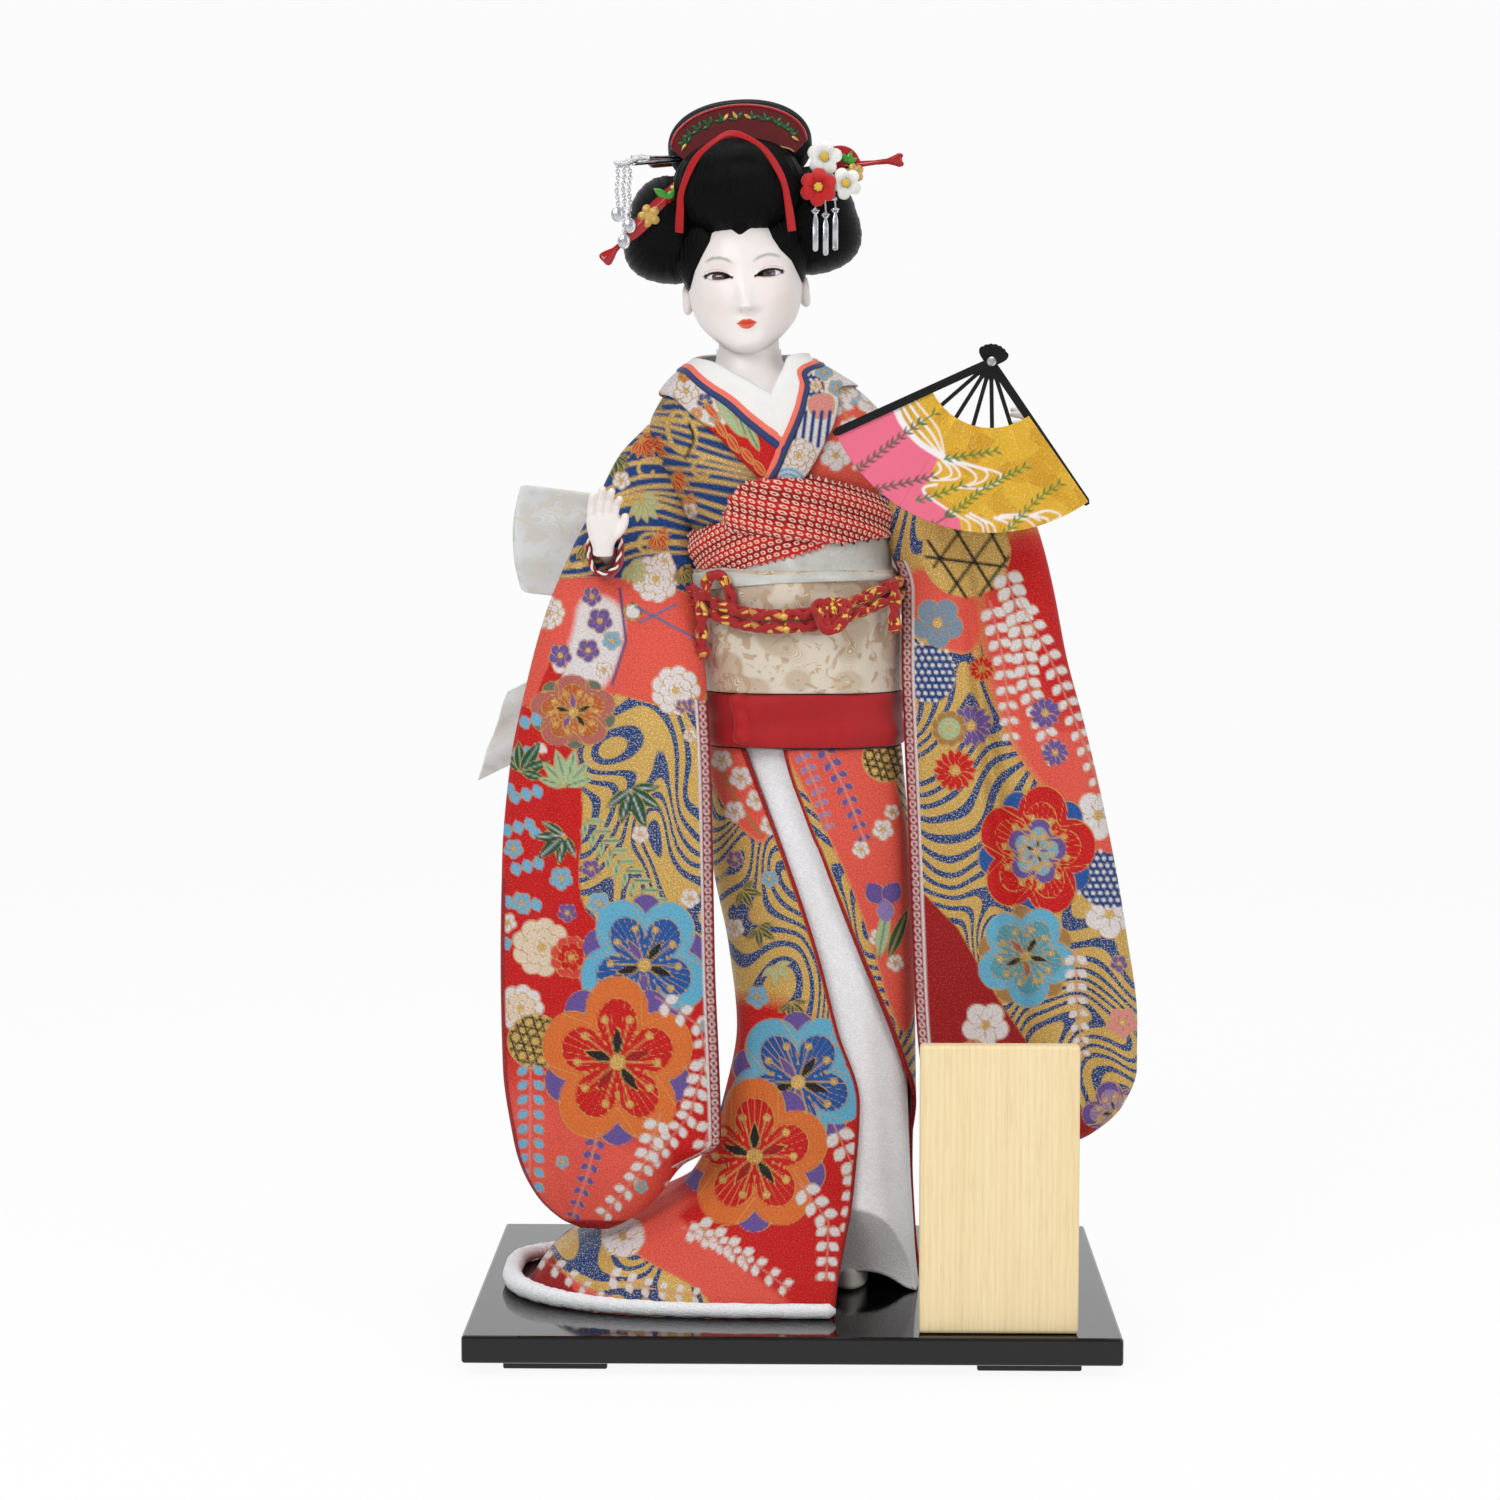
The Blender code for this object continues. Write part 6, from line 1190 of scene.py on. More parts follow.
def print_fan_sleeve(p):
    p.shape([(780, 380), (1200, 380), (1200, 1250), (780, 1250)], GOLD, edge=False, gold=0.8, wave=1.0)
    p.smooth([(985, 530), (1090, 530), (1125, 690), (1155, 860), (1125, 905), (1060, 810), (1010, 745),
        (980, 660)], CORAL, edge=False, soft=14)
    p.smooth([(985, 530), (1080, 530), (1110, 660), (1100, 730), (1040, 720), (984, 610)], SCARLET,
        edge=False, soft=46)
    p.smooth([(905, 560), (975, 580), (985, 640), (960, 660), (905, 620)], CORAL, edge=False, soft=8)
    p.shape([(924, 893), (960, 930), (1000, 1000), (1040, 1060), (1060, 1150), (924, 1150)], CRIMSON,
        edge=False)
    p.shape([(1040, 1060), (1100, 1130), (1130, 1170), (1000, 1170)], CRIMSON, edge=False)
    p.disc(966, 552, 44, GOLD, gold=1.0)
    for start, end in (((928, 540), (966, 596)), ((950, 520), (992, 588)), ((984, 520), (1006, 560)),
            ((934, 566), (970, 516)), ((950, 592), (1000, 524)), ((926, 556), (1006, 566)),
            ((980, 594), (1008, 556))):
        p.stroke([start, end], 3.0, BLACK)
    p.raceme([(1004, 566), (1020, 620), (1030, 690), (1058, 760)], 15, 17)
    p.raceme([(1020, 600), (1052, 660), (1080, 730), (1106, 800)], 13, 14)
    p.raceme([(990, 600), (1004, 660), (1012, 740)], 9, 14)
    p.raceme([(1058, 520), (1070, 560), (1066, 610)], 4, 13, SKY, None)
    p.blossom(938, 622, 26, ink(128, 150, 170))
    p.dotted([(905, 640), (952, 648), (958, 690), (930, 706), (905, 690)], NAVY)
    p.aster(1046, 712, 16, VIOLET, 10)
    p.aster(1056, 752, 14, VIOLET, 10)
    p.aster(972, 725, 22, VIOLET, 14)
    p.aster(956, 770, 22, SCARLET, 14)
    p.aster(982, 668, 13, SCARLET, 12)
    p.peony(950, 728, 18, PALE_LEAF, TAN, 2)
    p.blossom(1100, 815, 25, WHITE)
    p.blossom(1112, 915, 25, WHITE)
    p.dotted([(1082, 848), (1130, 856), (1142, 900), (1110, 912), (1078, 896)], NAVY)
    p.plum(1038, 852, 60, -1.4, 1.12, SCARLET, SCARLET, VIOLET, ROYAL)
    p.plum(1038, 852, 30, -1.4, 1.12, VIOLET, TURQUOISE, VIOLET, None)
    p.plum(1028, 958, 50, 0.2, 1.05, TURQUOISE, ink(84, 160, 178), ink(176, 96, 84), TAN)
    p.blossom(988, 1028, 24, WHITE)
    p.blossom(976, 1056, 13, PINK)
    p.plum(1120, 1118, 34, 0.6, 1.0, VIOLET, ink(150, 130, 190), NAVY, None)
    p.raceme([(1078, 950), (1080, 1000), (1086, 1060)], 8, 13, WHITE)
    p.blossom(1122, 965, 9, VIOLET)
    p.blossom(1126, 1025, 16, PINK)


def edge_strip(p, away, low, high):
    """The cord and the lining with its chain of rings along a sleeve's open edge."""
    at = np.nonzero((p.y > low) & (p.y < high) & (away < 16))[0]
    a = away[at]
    p.lay(at, a - 12.5, CRIMSON, edge=False)
    ring = np.abs(np.hypot(a - 5.6, np.mod(p.y[at], 8.0) - 4.0) - 2.6) - 0.8
    p.lay(at, ring, WHITE, edge=False, soft=1.0)
    p.lay(at, np.abs(a - 11.6) - 1.4, WHITE, edge=False, soft=1.0)


def build_sleeve(side, values):
    if side < 0:
        name, node = "robe_sleeve_free", "sleeve_free"
        grid = sleeve_grid(FREE_SLEEVE, 0.388, 0.342, 0.090, 0.030, -0.036, -1, free_folds)
    else:
        name, node = "robe_sleeve_fan", "sleeve_fan"
        grid = sleeve_grid(FAN_SLEEVE, 0.394, 0.320, 0.098, 0.032, 0.046, 1, fan_folds)
    item = mirror_fix(solid(name, grid, finish_of("silk")))
    places = chart_places(grid)
    p = Print(*places, GOLD)
    (print_free_sleeve if side < 0 else print_fan_sleeve)(p)
    x = places[0]
    if side < 0:
        away = (x.max(axis=1, keepdims=True) - x).reshape(-1)
        edge_strip(p, away, 700, 1175)
        rim = (x - x.min(axis=1, keepdims=True)).reshape(-1)
        low = np.nonzero((np.minimum(rim, 1234 - p.y) < 5) & (p.y > 880))[0]
        p.lay(low, np.minimum(rim, 1234 - p.y)[low] - 4.5, CRIMSON, edge=False)
    else:
        away = (x - x.min(axis=1, keepdims=True)).reshape(-1)
        edge_strip(p, away, 560, 1160)
    p.keep(item, places)
    settle(item, "figure", node)
    return item


# ---------------------------------------------------------------- bodice and collars
def gold_streams(p, top):
    """Gold water running across a navy ground, its streams parting and closing."""
    for i in range(17):
        y = top + i * 9.4
        bend = 9 * math.sin(i * 0.9)
        line = [(540, y + 34 - bend), (588, y + 14 + bend), (640, y - 4 + 0.8 * bend), (690, y + 2),
            (735, y + 12 - 0.5 * bend), (790, y + 40 - i * 2.2), (860, y + 64 - i * 2)]
        p.stroke(path_of(line), 3.4 + 1.8 * (i % 3 == 0) + 0.9 * math.cos(i * 1.7), GOLD, gold=0.9)
    for x, y, turn in ((610, 430, 0.2), (650, 470, 0.5), (600, 520, -0.3), (705, 470, 0.3), (580, 560, 0.1),
            (650, 545, 0.4)):
        curl = [(x + r * math.cos(turn + 5 * t), y + 0.8 * r * math.sin(turn + 5 * t)) for t,
            r in zip(np.linspace(0, 1, 22), np.linspace(4, 17, 22))]
        p.stroke(curl, 3.4, GOLD, gold=0.9)


def print_bodice(p):
    p.shape([(500, 320), (950, 320), (950, 760), (500, 760)], NAVY, edge=False)
    gold_streams(p, 392)
    p.shape([(790, 320), (950, 320), (950, 500), (860, 500), (800, 470)], CORAL, edge=False, soft=6)
    p.stroke(path_of([(676, 412), (668, 424), (674, 446), (690, 452), (696, 432), (684, 414), (674, 412)]),
        4.5, GOLD, gold=0.9)
    p.stroke(path_of([(690, 424), (694, 440), (686, 458)]), 3.0, BLACK)
    for x, y, r, c in ((628, 442, 21, LEAF), (648, 446, 24, SCARLET), (672, 478, 20, SCARLET),
            (684, 500, 17, SCARLET), (622, 408, 16, PALE_LEAF), (636, 492, 24, PALE_LEAF),
            (628, 516, 22, LEAF), (652, 398, 18, LEAF), (642, 420, 12, SCARLET)):
        p.sprig(x, y, 0.6 + 0.02 * (x % 7), r, 6, c, GOLD)
    for x, y, r, c in ((648, 452, 8, WHITE), (690, 510, 8, WHITE), (846, 392, 19, SKY), (846, 392, 12, WHITE),
            (872, 402, 15, WHITE), (858, 372, 12, ORANGE), (888, 412, 14, SKY), (836, 455, 16, WHITE),
            (606, 466, 14, PALE_LEAF)):
        p.blossom(x, y, r, c)
    p.raceme([(838, 398), (852, 430), (860, 470)], 5, 11, WHITE, GOLD)


def print_collar(p, side):
    """The robe's own collar: painted along each front band."""
    if side < 0:
        p.shape([(500, 300), (950, 300), (950, 760), (500, 760)], SCARLET, edge=False)
        p.smooth([(640, 330), (722, 330), (738, 402), (722, 436), (676, 400), (640, 380)], WHITE, soft=2)
        for x, y, r, c in ((688, 392, 12, WHITE), (700, 378, 8, SKY), (706, 402, 8, ROYAL),
                (686, 378, 6, ORANGE), (716, 418, 6, SKY), (698, 414, 6, PINK)):
            p.blossom(x, y, r, c)
        p.smooth([(712, 392), (740, 402), (758, 432), (742, 440), (724, 420)], PALE_LEAF, soft=2)
        for x, y, t in ((716, 388, 1.0), (728, 400, 1.1), (738, 414, 1.2), (748, 428, 1.1)):
            p.leaf(x, y, t, 26, 8, PALE_LEAF, LEAF)
        for x, y, t in ((706, 404, 0.9), (716, 420, 1.0), (728, 434, 1.0), (742, 448, 0.9), (754, 460, 0.9)):
            p.leaf(x, y, t, 22, 7, ink(226, 60, 40), GOLD)
        return
    p.shape([(500, 300), (950, 300), (950, 760), (500, 760)], WHITE, edge=False)
    p.dotted([(800, 372), (822, 376), (826, 394), (806, 400)], NAVY, 5.5)
    p.smooth([(806, 396), (834, 392), (834, 418), (812, 420)], PINK)
    for i in range(6):
        p.stroke([(790 + i * 8, 412), (786 + i * 8, 446)], 3.6, NAVY)
    for x, y, r, c in ((824, 372, 9, SKY), (836, 388, 8, SKY), (816, 386, 6, WHITE)):
        p.blossom(x, y, r, c)
    p.peony(799, 455, 17, WHITE, WHITE)
    for r in (7, 12, 17):
        at = p.near(788, 486, r + 3)
        p.lay(at, np.abs(np.hypot(p.x[at] - 788, p.y[at] - 486) - r) - 1.6, SKY, edge=False)


def path_of(points, count=40):
    """A smooth line through chart places."""
    return path_points([(x, y, 0.0) for x, y in points], count)[:, :2]


# the collars' lines on the body, for the free and the fan side:
# turns in degrees round the back, then X in front, with heights
COLLARS = {-1: {"neck": ((90, 0.4180), (135, 0.4175), (178, 0.4160), (-33.7, 0.4137), (-22.0, 0.4074),
    (-10.3, 0.4006), (-3.0, 0.3966)), "stripe": ((90, 0.4125), (135, 0.4125), (172, 0.4122), (-42.0, 0.4106),
    (-30.0, 0.4004), (-17.6, 0.3898), (-4.0, 0.3784)),
    "outer": ((90, 0.4000), (135, 0.3990), (176, 0.4012), (-49.3, 0.4000), (-36.0, 0.3880), (-23.0, 0.3755),
    (-8.0, 0.3610)),}, 1: {"neck": ((90, 0.4180), (45, 0.4183), (8, 0.4184), (-3.1, 0.4172), (-6.3, 0.4100),
    (-10.3, 0.4006), (-8.3, 0.3900), (-6.6, 0.3810), (-11.6, 0.3660)),
    "stripe": ((90, 0.4125), (45, 0.4140), (14, 0.4158), (2.6, 0.4120), (2.6, 0.4040), (0.6, 0.3930),
    (-4.6, 0.3800), (-8.0, 0.3708), (-12.6, 0.3580)),
    "outer": ((90, 0.4000), (45, 0.4010), (12, 0.4045), (17.8, 0.4040), (16.6, 0.3960), (13.4, 0.3840),
    (7.0, 0.3710), (1.5, 0.3620), (-2.6, 0.3550)),},}


# flat width of each collar's cloth and the share of it that the cut fills
COLLAR_WIDTHS = {"collar_under": (0.010, 1.0), "collar_stripe_coral": (0.010, 0.54),
    "collar_stripe_navy": (0.010, 0.58), "collar_robe": (0.014, 1.0)}


def body_turn_at(x, height):
    """The turn on the body's front where this X lies."""
    centre, width, _ = body_row(height)
    share = np.clip((x - centre) / width, -0.999, 0.999)
    return 1.5 * math.pi + np.arcsin(np.sign(share) * np.abs(share) ** 1.15)


def collar_line(side, name, steps=220):
    """Turns and heights along a collar's line, from the nape to the front."""
    turns, heights = [], []
    for place, height in COLLARS[side][name]:
        if not turns or (len(turns) < 3):
            turn = math.radians(place) + (2 * math.pi if side > 0 else 0.0)
        else:
            turn = float(body_turn_at(np.array(place * MM), np.array(height)))
        turns.append(turn)
        heights.append(height)
    line = path_points([(turn * 0.03, height, 0.0) for turn, height in zip(turns, heights)], steps)
    return line[:, 0] / 0.03, line[:, 1]


def collar_band(name, side, inner, outer, shares, lift, thick, finish, rows=10):
    """A folded band of cloth between two of a collar's lines, or between shares of the way across."""
    turn_a, height_a = collar_line(side, inner)
    turn_b, height_b = collar_line(side, outer)
    t = np.linspace(shares[0], shares[1], rows)[None, :]
    turn = turn_a[:, None] * (1 - t) + turn_b[:, None] * t
    height = height_a[:, None] * (1 - t) + height_b[:, None] * t
    u = np.linspace(0, 1, rows)[None, :]
    round_edge = 0.35 + 0.65 * np.sqrt(np.clip(1 - (2 * u - 1) ** 4, 0, 1))
    grid = body_point(turn, height, lift + thick * round_edge)
    return cloth(name, grid, thick * 0.8, finish_of(finish)), grid


def bodice_top(turn):
    """How high the bodice's cloth reaches under the collars."""
    spots = []
    for side in (-1, 1):
        turns_a, heights_a = collar_line(side, "stripe")
        turns_b, heights_b = collar_line(side, "outer")
        spots.append((np.mod((turns_a + turns_b) / 2, 2 * math.pi), (heights_a + heights_b) / 2 - 0.001))
    tops = []
    for angles, heights in spots:
        order = np.argsort(angles)
        tops.append(np.interp(np.mod(turn, 2 * math.pi), angles[order], heights[order], left=0.0, right=0.0))
    return np.maximum(np.maximum(*tops), 0.3560)


def build_bodice(values):
    turns = (math.pi / 2 + np.linspace(0, 2 * math.pi, 300, endpoint=False))[None, :]
    top = bodice_top(turns)
    rise = np.linspace(1, 0, 190)[:, None]
    heights = WAIST + 0.0003 + (top - WAIST - 0.0003) * rise
    front = np.clip(-np.sin(turns), 0, 1)
    level = (heights - WAIST) / (NECK_TOP - WAIST)
    pull = 0.0012 * np.sin(42 * level + 6.0 * np.cos(turns)) * bell(level, 0.66,
        0.12) * np.abs(np.cos(turns)) * front
    hollow = -0.0015 * bell(level, 0.80, 0.08) * bell(np.cos(turns), -0.1, 0.30) * front
    grid = body_point(turns + 0 * heights, heights, pull + hollow)
    item = cloth("robe_bodice_cloth", grid, 0.0020, finish_of("silk"), finish_of("pale_lining"), True)
    places = round_places(grid, -0.006, 0.046)
    p = Print(*places, GOLD)
    print_bodice(p)
    p.keep(item, places)
    settle(item, "figure", "robe_bodice")
    return item


def build_collars(values):
    made = []
    parts = {"collar_under": [], "collar_stripe_coral": [], "collar_stripe_navy": [], "collar_robe": []}
    for side, lift in ((-1, 0.0004), (1, 0.0016)):
        word = "free" if side < 0 else "fan"
        for node, inner, outer, shares, more, thick, finish in (
            ("collar_under", "neck", "stripe", (0.0, 1.0), 0.0002, 0.0012, "white_silk"),
            ("collar_stripe_coral", "stripe", "outer", (-0.10, 0.04), 0.0008, 0.0012, "coral_silk"),
            ("collar_stripe_navy", "stripe", "outer", (0.03, 0.17), 0.0008, 0.0013, "navy_silk"),
            ("collar_robe", "stripe", "outer", (0.17, 1.04), 0.0004, 0.0012, "silk"),
        ):
            rows = 46 if finish == "silk" else 12
            item, grid = collar_band(f"{node}_{word}", side, inner, outer, shares, lift + more, thick, finish,
                rows)
            if finish == "silk":
                places = chart_places(grid)
                p = Print(*places, GOLD)
                print_collar(p, side)
                p.keep(item, places)
            parts[node].append(item)
    for node, items in parts.items():
        item = join(f"{node}_cloth", items)
        settle(item, "figure", node)
        width, share = COLLAR_WIDTHS[node]
        made.append(item)
    return made


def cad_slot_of(node):
    """The record's slot of a node."""
    for part in frame["record"]["subparts"]:
        if part["node"] == node:
            return part["material_slot"]
    raise ValueError(f"no slot for {node}")


# ---------------------------------------------------------------- waist
# turn in degrees, lower edge and upper edge in millimetres, round the chest
SCARF_EDGES = ((0, 339.5, 352.0), (30, 334.0, 349.0), (90, 326.7, 344.0), (135, 326.7, 340.0),
    (185, 326.8, 339.0), (222, 326.8, 344.0), (240, 327.2, 347.2), (247, 328.0, 355.0), (256, 329.2, 362.4),
    (270, 332.8, 365.0), (284, 336.8, 365.2), (300, 338.4, 362.4), (315, 339.2, 359.6), (340, 340.8, 355.0),
    (360, 339.5, 352.0),)


def scarf_edges(turn):
    table = np.array(SCARF_EDGES)
    place = np.mod(np.degrees(turn), 360)
    return np.interp(place, table[:, 0], table[:, 1]) * MM, np.interp(place, table[:, 0], table[:, 2]) * MM


def build_sash(values):
    turns = np.linspace(0, 2 * math.pi, 260, endpoint=False)[None, :]
    rise = np.linspace(1, 0, 22)[:, None]
    height = WAIST + 0.0006 + (SASH_HIGH - 0.0008) * rise
    fold = 0.0006 * np.sin(rise * 9 + np.sin(turns * 2)) + 0.0005 * np.sin(turns * 9 + rise * 2)
    grid = body_point(turns, height, 0.0026 + fold + 0.0006 * np.sin(math.pi * rise))
    sash = cloth("scarlet_sash", grid, 0.0022, finish_of("scarlet_silk"), None, True)
    middle = body_point(np.array([math.radians(236)]), np.array([WAIST + 0.0125]), 0.0032)[0]
    knot_rows = []
    for t in np.linspace(-1, 1, 26):
        ring = np.linspace(0, 2 * math.pi, 20, endpoint=False)
        wide = 0.0042 * (1 - 0.22 * math.cos(math.pi * t)) * math.sqrt(max(0.02, 1 - t**6))
        deep = 0.0020 * math.sqrt(max(0.02, 1 - t**6)) + 0.0003 * math.cos(9 * t)
        knot_rows.append(np.stack([middle[0] + wide * np.cos(ring) - 0.0012 * t,
            middle[1] - 0.0004 + deep * np.sin(ring), np.full(20, middle[2] + 0.0112 * t)], -1))
    knot = mirror_fix(solid("sash_fold", np.array(knot_rows), finish_of("scarlet_silk")))
    item = join("scarlet_sash", [sash, knot])
    settle(item, "figure", "waist_sash")
    return item


def build_band(values):
    turns = np.linspace(0, 2 * math.pi, 300, endpoint=False)[None, :]
    rise = np.linspace(1, 0, 60)[:, None]
    low = WAIST + SASH_HIGH + 0.0003
    height = low + BAND_HIGH * rise
    edge = 0.0009 * ease(rise, 0.70, 0.76) * (0.7 + 0.3 * np.sin(turns * 2 + 1))
    soft = 0.0006 * np.sin(turns * 5 + 4 * rise) + 0.0008 * np.sin(math.pi * rise)
    grid = body_point(turns, height, 0.0034 + soft + edge)
    band = cloth("waist_band_brocade", grid, 0.0030, finish_of("band"), finish_of("pale_lining"), True)
    settle(band, "figure", "waist_band")
    rise = np.linspace(1, 0, 34)[:, None]
    slant = 0.0044 * np.cos(turns - math.radians(305))
    foot = WAIST + SASH_HIGH + BAND_HIGH - 0.0085 + slant
    height = foot + (scarf_edges(turns)[0] + 0.0035 - foot) * rise
    above = ease(height, WAIST + SASH_HIGH + BAND_HIGH - 0.0030, WAIST + SASH_HIGH + BAND_HIGH + 0.0020)
    fold = body_point(turns, height, 0.0052 - 0.0034 * above + 0.0005 * np.sin(math.pi * rise) + 0.0003
        * np.sin(9 * turns + 6 * rise))
    edge = cloth("waist_band_edge", fold, 0.0012, finish_of("band_edge"), None, True)
    settle(edge, "figure")
    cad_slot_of("waist_band")
    return band


def build_scarf(values):
    """The tied-dot scarf: two crossed bands of raised dots round the chest."""
    turns = np.linspace(0, 2 * math.pi, 520, endpoint=False)[None, :]
    rise = np.linspace(1, 0, 78)[:, None]
    low, top = scarf_edges(turns)
    height = low + (top - low) * rise
    degrees = np.degrees(turns)
    line = 0.3425 - 0.0050 * np.clip((degrees - 243) / 45, 0, 1)
    upper = ease(height - line, -0.0003, 0.0006) * ease(degrees, 239.0, 243.0)
    run = turns * 0.046
    slope = np.where(upper > 0.5, height + (turns - 4.6) * 0.012, height - (turns - 4.2) * 0.016)
    pitch = 0.0030
    a = (run + slope * 0.30) / pitch
    b = slope / (pitch * 0.86)
    u = np.mod(a + np.mod(np.floor(b), 2) * 0.5, 1) - 0.5
    v = np.mod(b, 1) - 0.5
    ring = np.maximum(np.abs(u), np.abs(v)) * 0.8 + np.hypot(u, v) * 1.2
    bumps = 0.0011 * np.clip(1 - ring**2, 0, 1)
    folds = 0.0020 * np.sin(math.pi * np.clip(rise, 0.02, 0.98)) ** 0.5 + 0.0007 * np.sin(slope / 0.0016)
    edge_roll = -0.0010 * bell(height - line, 0.0, 0.0012) * ease(degrees, 243.0,
        250.0) * (1 - ease(degrees, 285.0, 300.0))
    grid = body_point(turns, height, 0.0022 + folds + bumps + 0.0018 * upper + edge_roll)
    item = cloth("tied_dot_scarf", grid, 0.0022, finish_of("tied_dots"), finish_of("red_lining"), True)
    # the dots' second number is painted shade: the folds' wave, high on their ridges and low in their hollows
    store(item, "dots", np.column_stack([ring.reshape(-1), (0.5 + 0.5 * np.sin(slope / 0.0016)).reshape(-1),
                                         np.zeros(ring.size)]), "FLOAT_VECTOR")
    settle(item, "figure", "bust_scarf")
    return item


def braid(name, points, radius, ply=4):
    """A round braid: strands that wind round the path, half of them each way."""
    points = np.asarray(points, float)
    length = np.concatenate([[0], np.cumsum(np.linalg.norm(np.diff(points, axis=0), axis=1))])
    strands = []
    across, up = frames_along(points)
    for i in range(ply):
        turn = 2 * math.pi * (i // 2) / (ply / 2) + (0.5 if i % 2 else 0.0)
        way = 1 if i % 2 else -1
        spin = (way * length / (radius * 1.15) + turn)[:, None]
        reach = radius * 0.52 * (1 + 0.12 * np.cos(2 * spin * way))
        strand = points + across * np.cos(spin) * reach + up * np.sin(spin) * reach
        piece = mirror_fix(solid(f"{name}_{i}", tube_grid(strand, radius * 0.52, 8), finish_of("braid")))
        along = np.repeat(length, 8)
        store(piece, "braid", np.column_stack([along, np.tile(np.arange(8) / 8 * 0.01, len(length)),
            np.full(len(along), i)]), "FLOAT_VECTOR")
        strands.append(piece)
    return strands


def cord_height(turn, strand):
    away = np.abs(np.mod(turn - math.radians(262) + math.pi, 2 * math.pi) - math.pi)
    spread = math.radians(80)
    front = np.where(away >= spread, 0.0, 0.5 + 0.5 * np.cos(math.pi * np.minimum(away, spread) / spread))
    return WAIST + SASH_HIGH + 0.0003 + BAND_HIGH - 0.0050 - 0.0135 * front - strand * 0.0054


def build_cord(values):
    lift = 0.0006 + 0.0050 + 0.0026
    pieces = []
    for strand in (0, 1):
        turn = np.linspace(0, 2 * math.pi, 420) + math.radians(80)
        points = body_point(turn, cord_height(turn, strand), lift)
        pieces += braid(f"cord_turn_{strand}", points, 0.0026)
    knot_turn = math.radians(284)
    height = float((cord_height(knot_turn, 0) + cord_height(knot_turn, 1)) / 2)
    middle = body_point(np.array([knot_turn]), np.array([height]), lift + 0.0034)[0]
    loops = []
    for i in range(3):
        lean = (-0.6, 0.0, 0.6)[i]
        t = np.linspace(0, 2 * math.pi, 90)
        loop = np.stack([
            middle[0] + 0.0036 * lean + 0.0050 * np.cos(t) * math.cos(lean),
            middle[1] + 0.0022 * np.sin(t) - 0.0006,
            middle[2] + 0.0064 * np.sin(t + lean) * 0.9,
        ], -1)
        loops += braid(f"cord_knot_{i}", loop, 0.0023)
    pieces += loops
    for name, turn, drop in (("free", math.radians(222), 0.027), ("fan", math.radians(322), 0.021)):
        top = float(cord_height(turn, 0)) + 0.002
        rows = []
        for k in range(7):
            rows.append(body_point(np.array([turn + 0.02 * math.sin(k)]), np.array([top - drop * k / 6]),
                lift + 0.0034)[0])
        line = path_points(rows, 120)
        pieces += braid(f"cord_tail_{name}", line, 0.0025)
        tip = line[-22:]
        cap = tube(f"cord_tip_{name}", tip, 0.0033 * np.sin(np.linspace(0.35, 2.8, 22)), finish_of("braid"),
            14)
        store(cap, "braid", np.column_stack([np.repeat(np.linspace(0, 0.005, 22), 14),
            np.tile(np.arange(14) / 14 * 0.02, 22), np.zeros(308)]), "FLOAT_VECTOR")
        pieces.append(cap)
    start = body_point(np.array([math.radians(226)]),
        np.array([float(cord_height(math.radians(226), 0)) + 0.001]), lift + 0.003)[0]
    loop = [start, start + (0.001, -0.002, 0.008), start + (0.006, -0.003, 0.010),
        start + (0.010, -0.002, 0.004), start + (0.012, 0.0, -0.006)]
    pieces += braid("cord_loop", path_points(loop, 110), 0.0024)
    item = join("waist_cord_braid", pieces)
    settle(item, "figure", "waist_cord")
    return item


# ---------------------------------------------------------------- skirts and hems
SKIRT_EDGES = (
    (1.00, -0.68, -0.34), (0.81, -0.30, 0.02), (0.62, 0.02, 0.40), (0.48, 0.20, 0.70), (0.35, 0.40, 0.90),
    (0.20, 0.34, 1.05), (0.06, 0.20, 1.10), (0.00, 0.16, 1.12),
)


def skirt_turn_at(x_share, height):
    left, right, _, _ = row_at(SKIRT_ROWS, skirt_share(height))
    squareness = 2.2 + 0.8 * np.maximum(0.0, 1 - skirt_share(height) * 5)
    x = x_share * SKIRT_HALF[0]
    half = np.where(x < 0, left * TRAIN[0], right * SKIRT_HALF[0])
    share = np.clip(x / half, -0.999, 0.999)
    flat = np.sign(share) * np.abs(share) ** (squareness / 2.0)
    return 1.5 * math.pi + np.arcsin(np.clip(flat, -1, 1))


def skirt_ends(height):
    """Where the outer skirt starts and stops going round, from its right panel's edge by the back."""
    left_edge, right_edge = row_at(SKIRT_EDGES, skirt_share(height))
    _, right, _, _ = row_at(SKIRT_ROWS, skirt_share(height))
    start = skirt_turn_at(left_edge, height)
    wrapped = 2 * math.pi + np.radians(8 + 60 * (right_edge - right))
    stop = np.where(right_edge >= right * 0.985, wrapped, skirt_turn_at(right_edge, height))
    return stop, start


def skirt_fold(turn, share):
    """How far the outer skirt's soft folds lie inside its full line."""
    low = ease(1 - share, 0.35, 0.95)
    flutes = 0.5 - 0.5 * np.cos(5.0 * turn + 1.6 * share + 0.7)
    side = np.clip(-np.cos(turn), 0, 1)
    fine = 0.0005 * np.sin(23 * turn + 9 * share) * low
    return 0.0045 * low * flutes * (0.35 + 0.65 * side) + 0.0008 * (1 - low) * flutes + fine * side


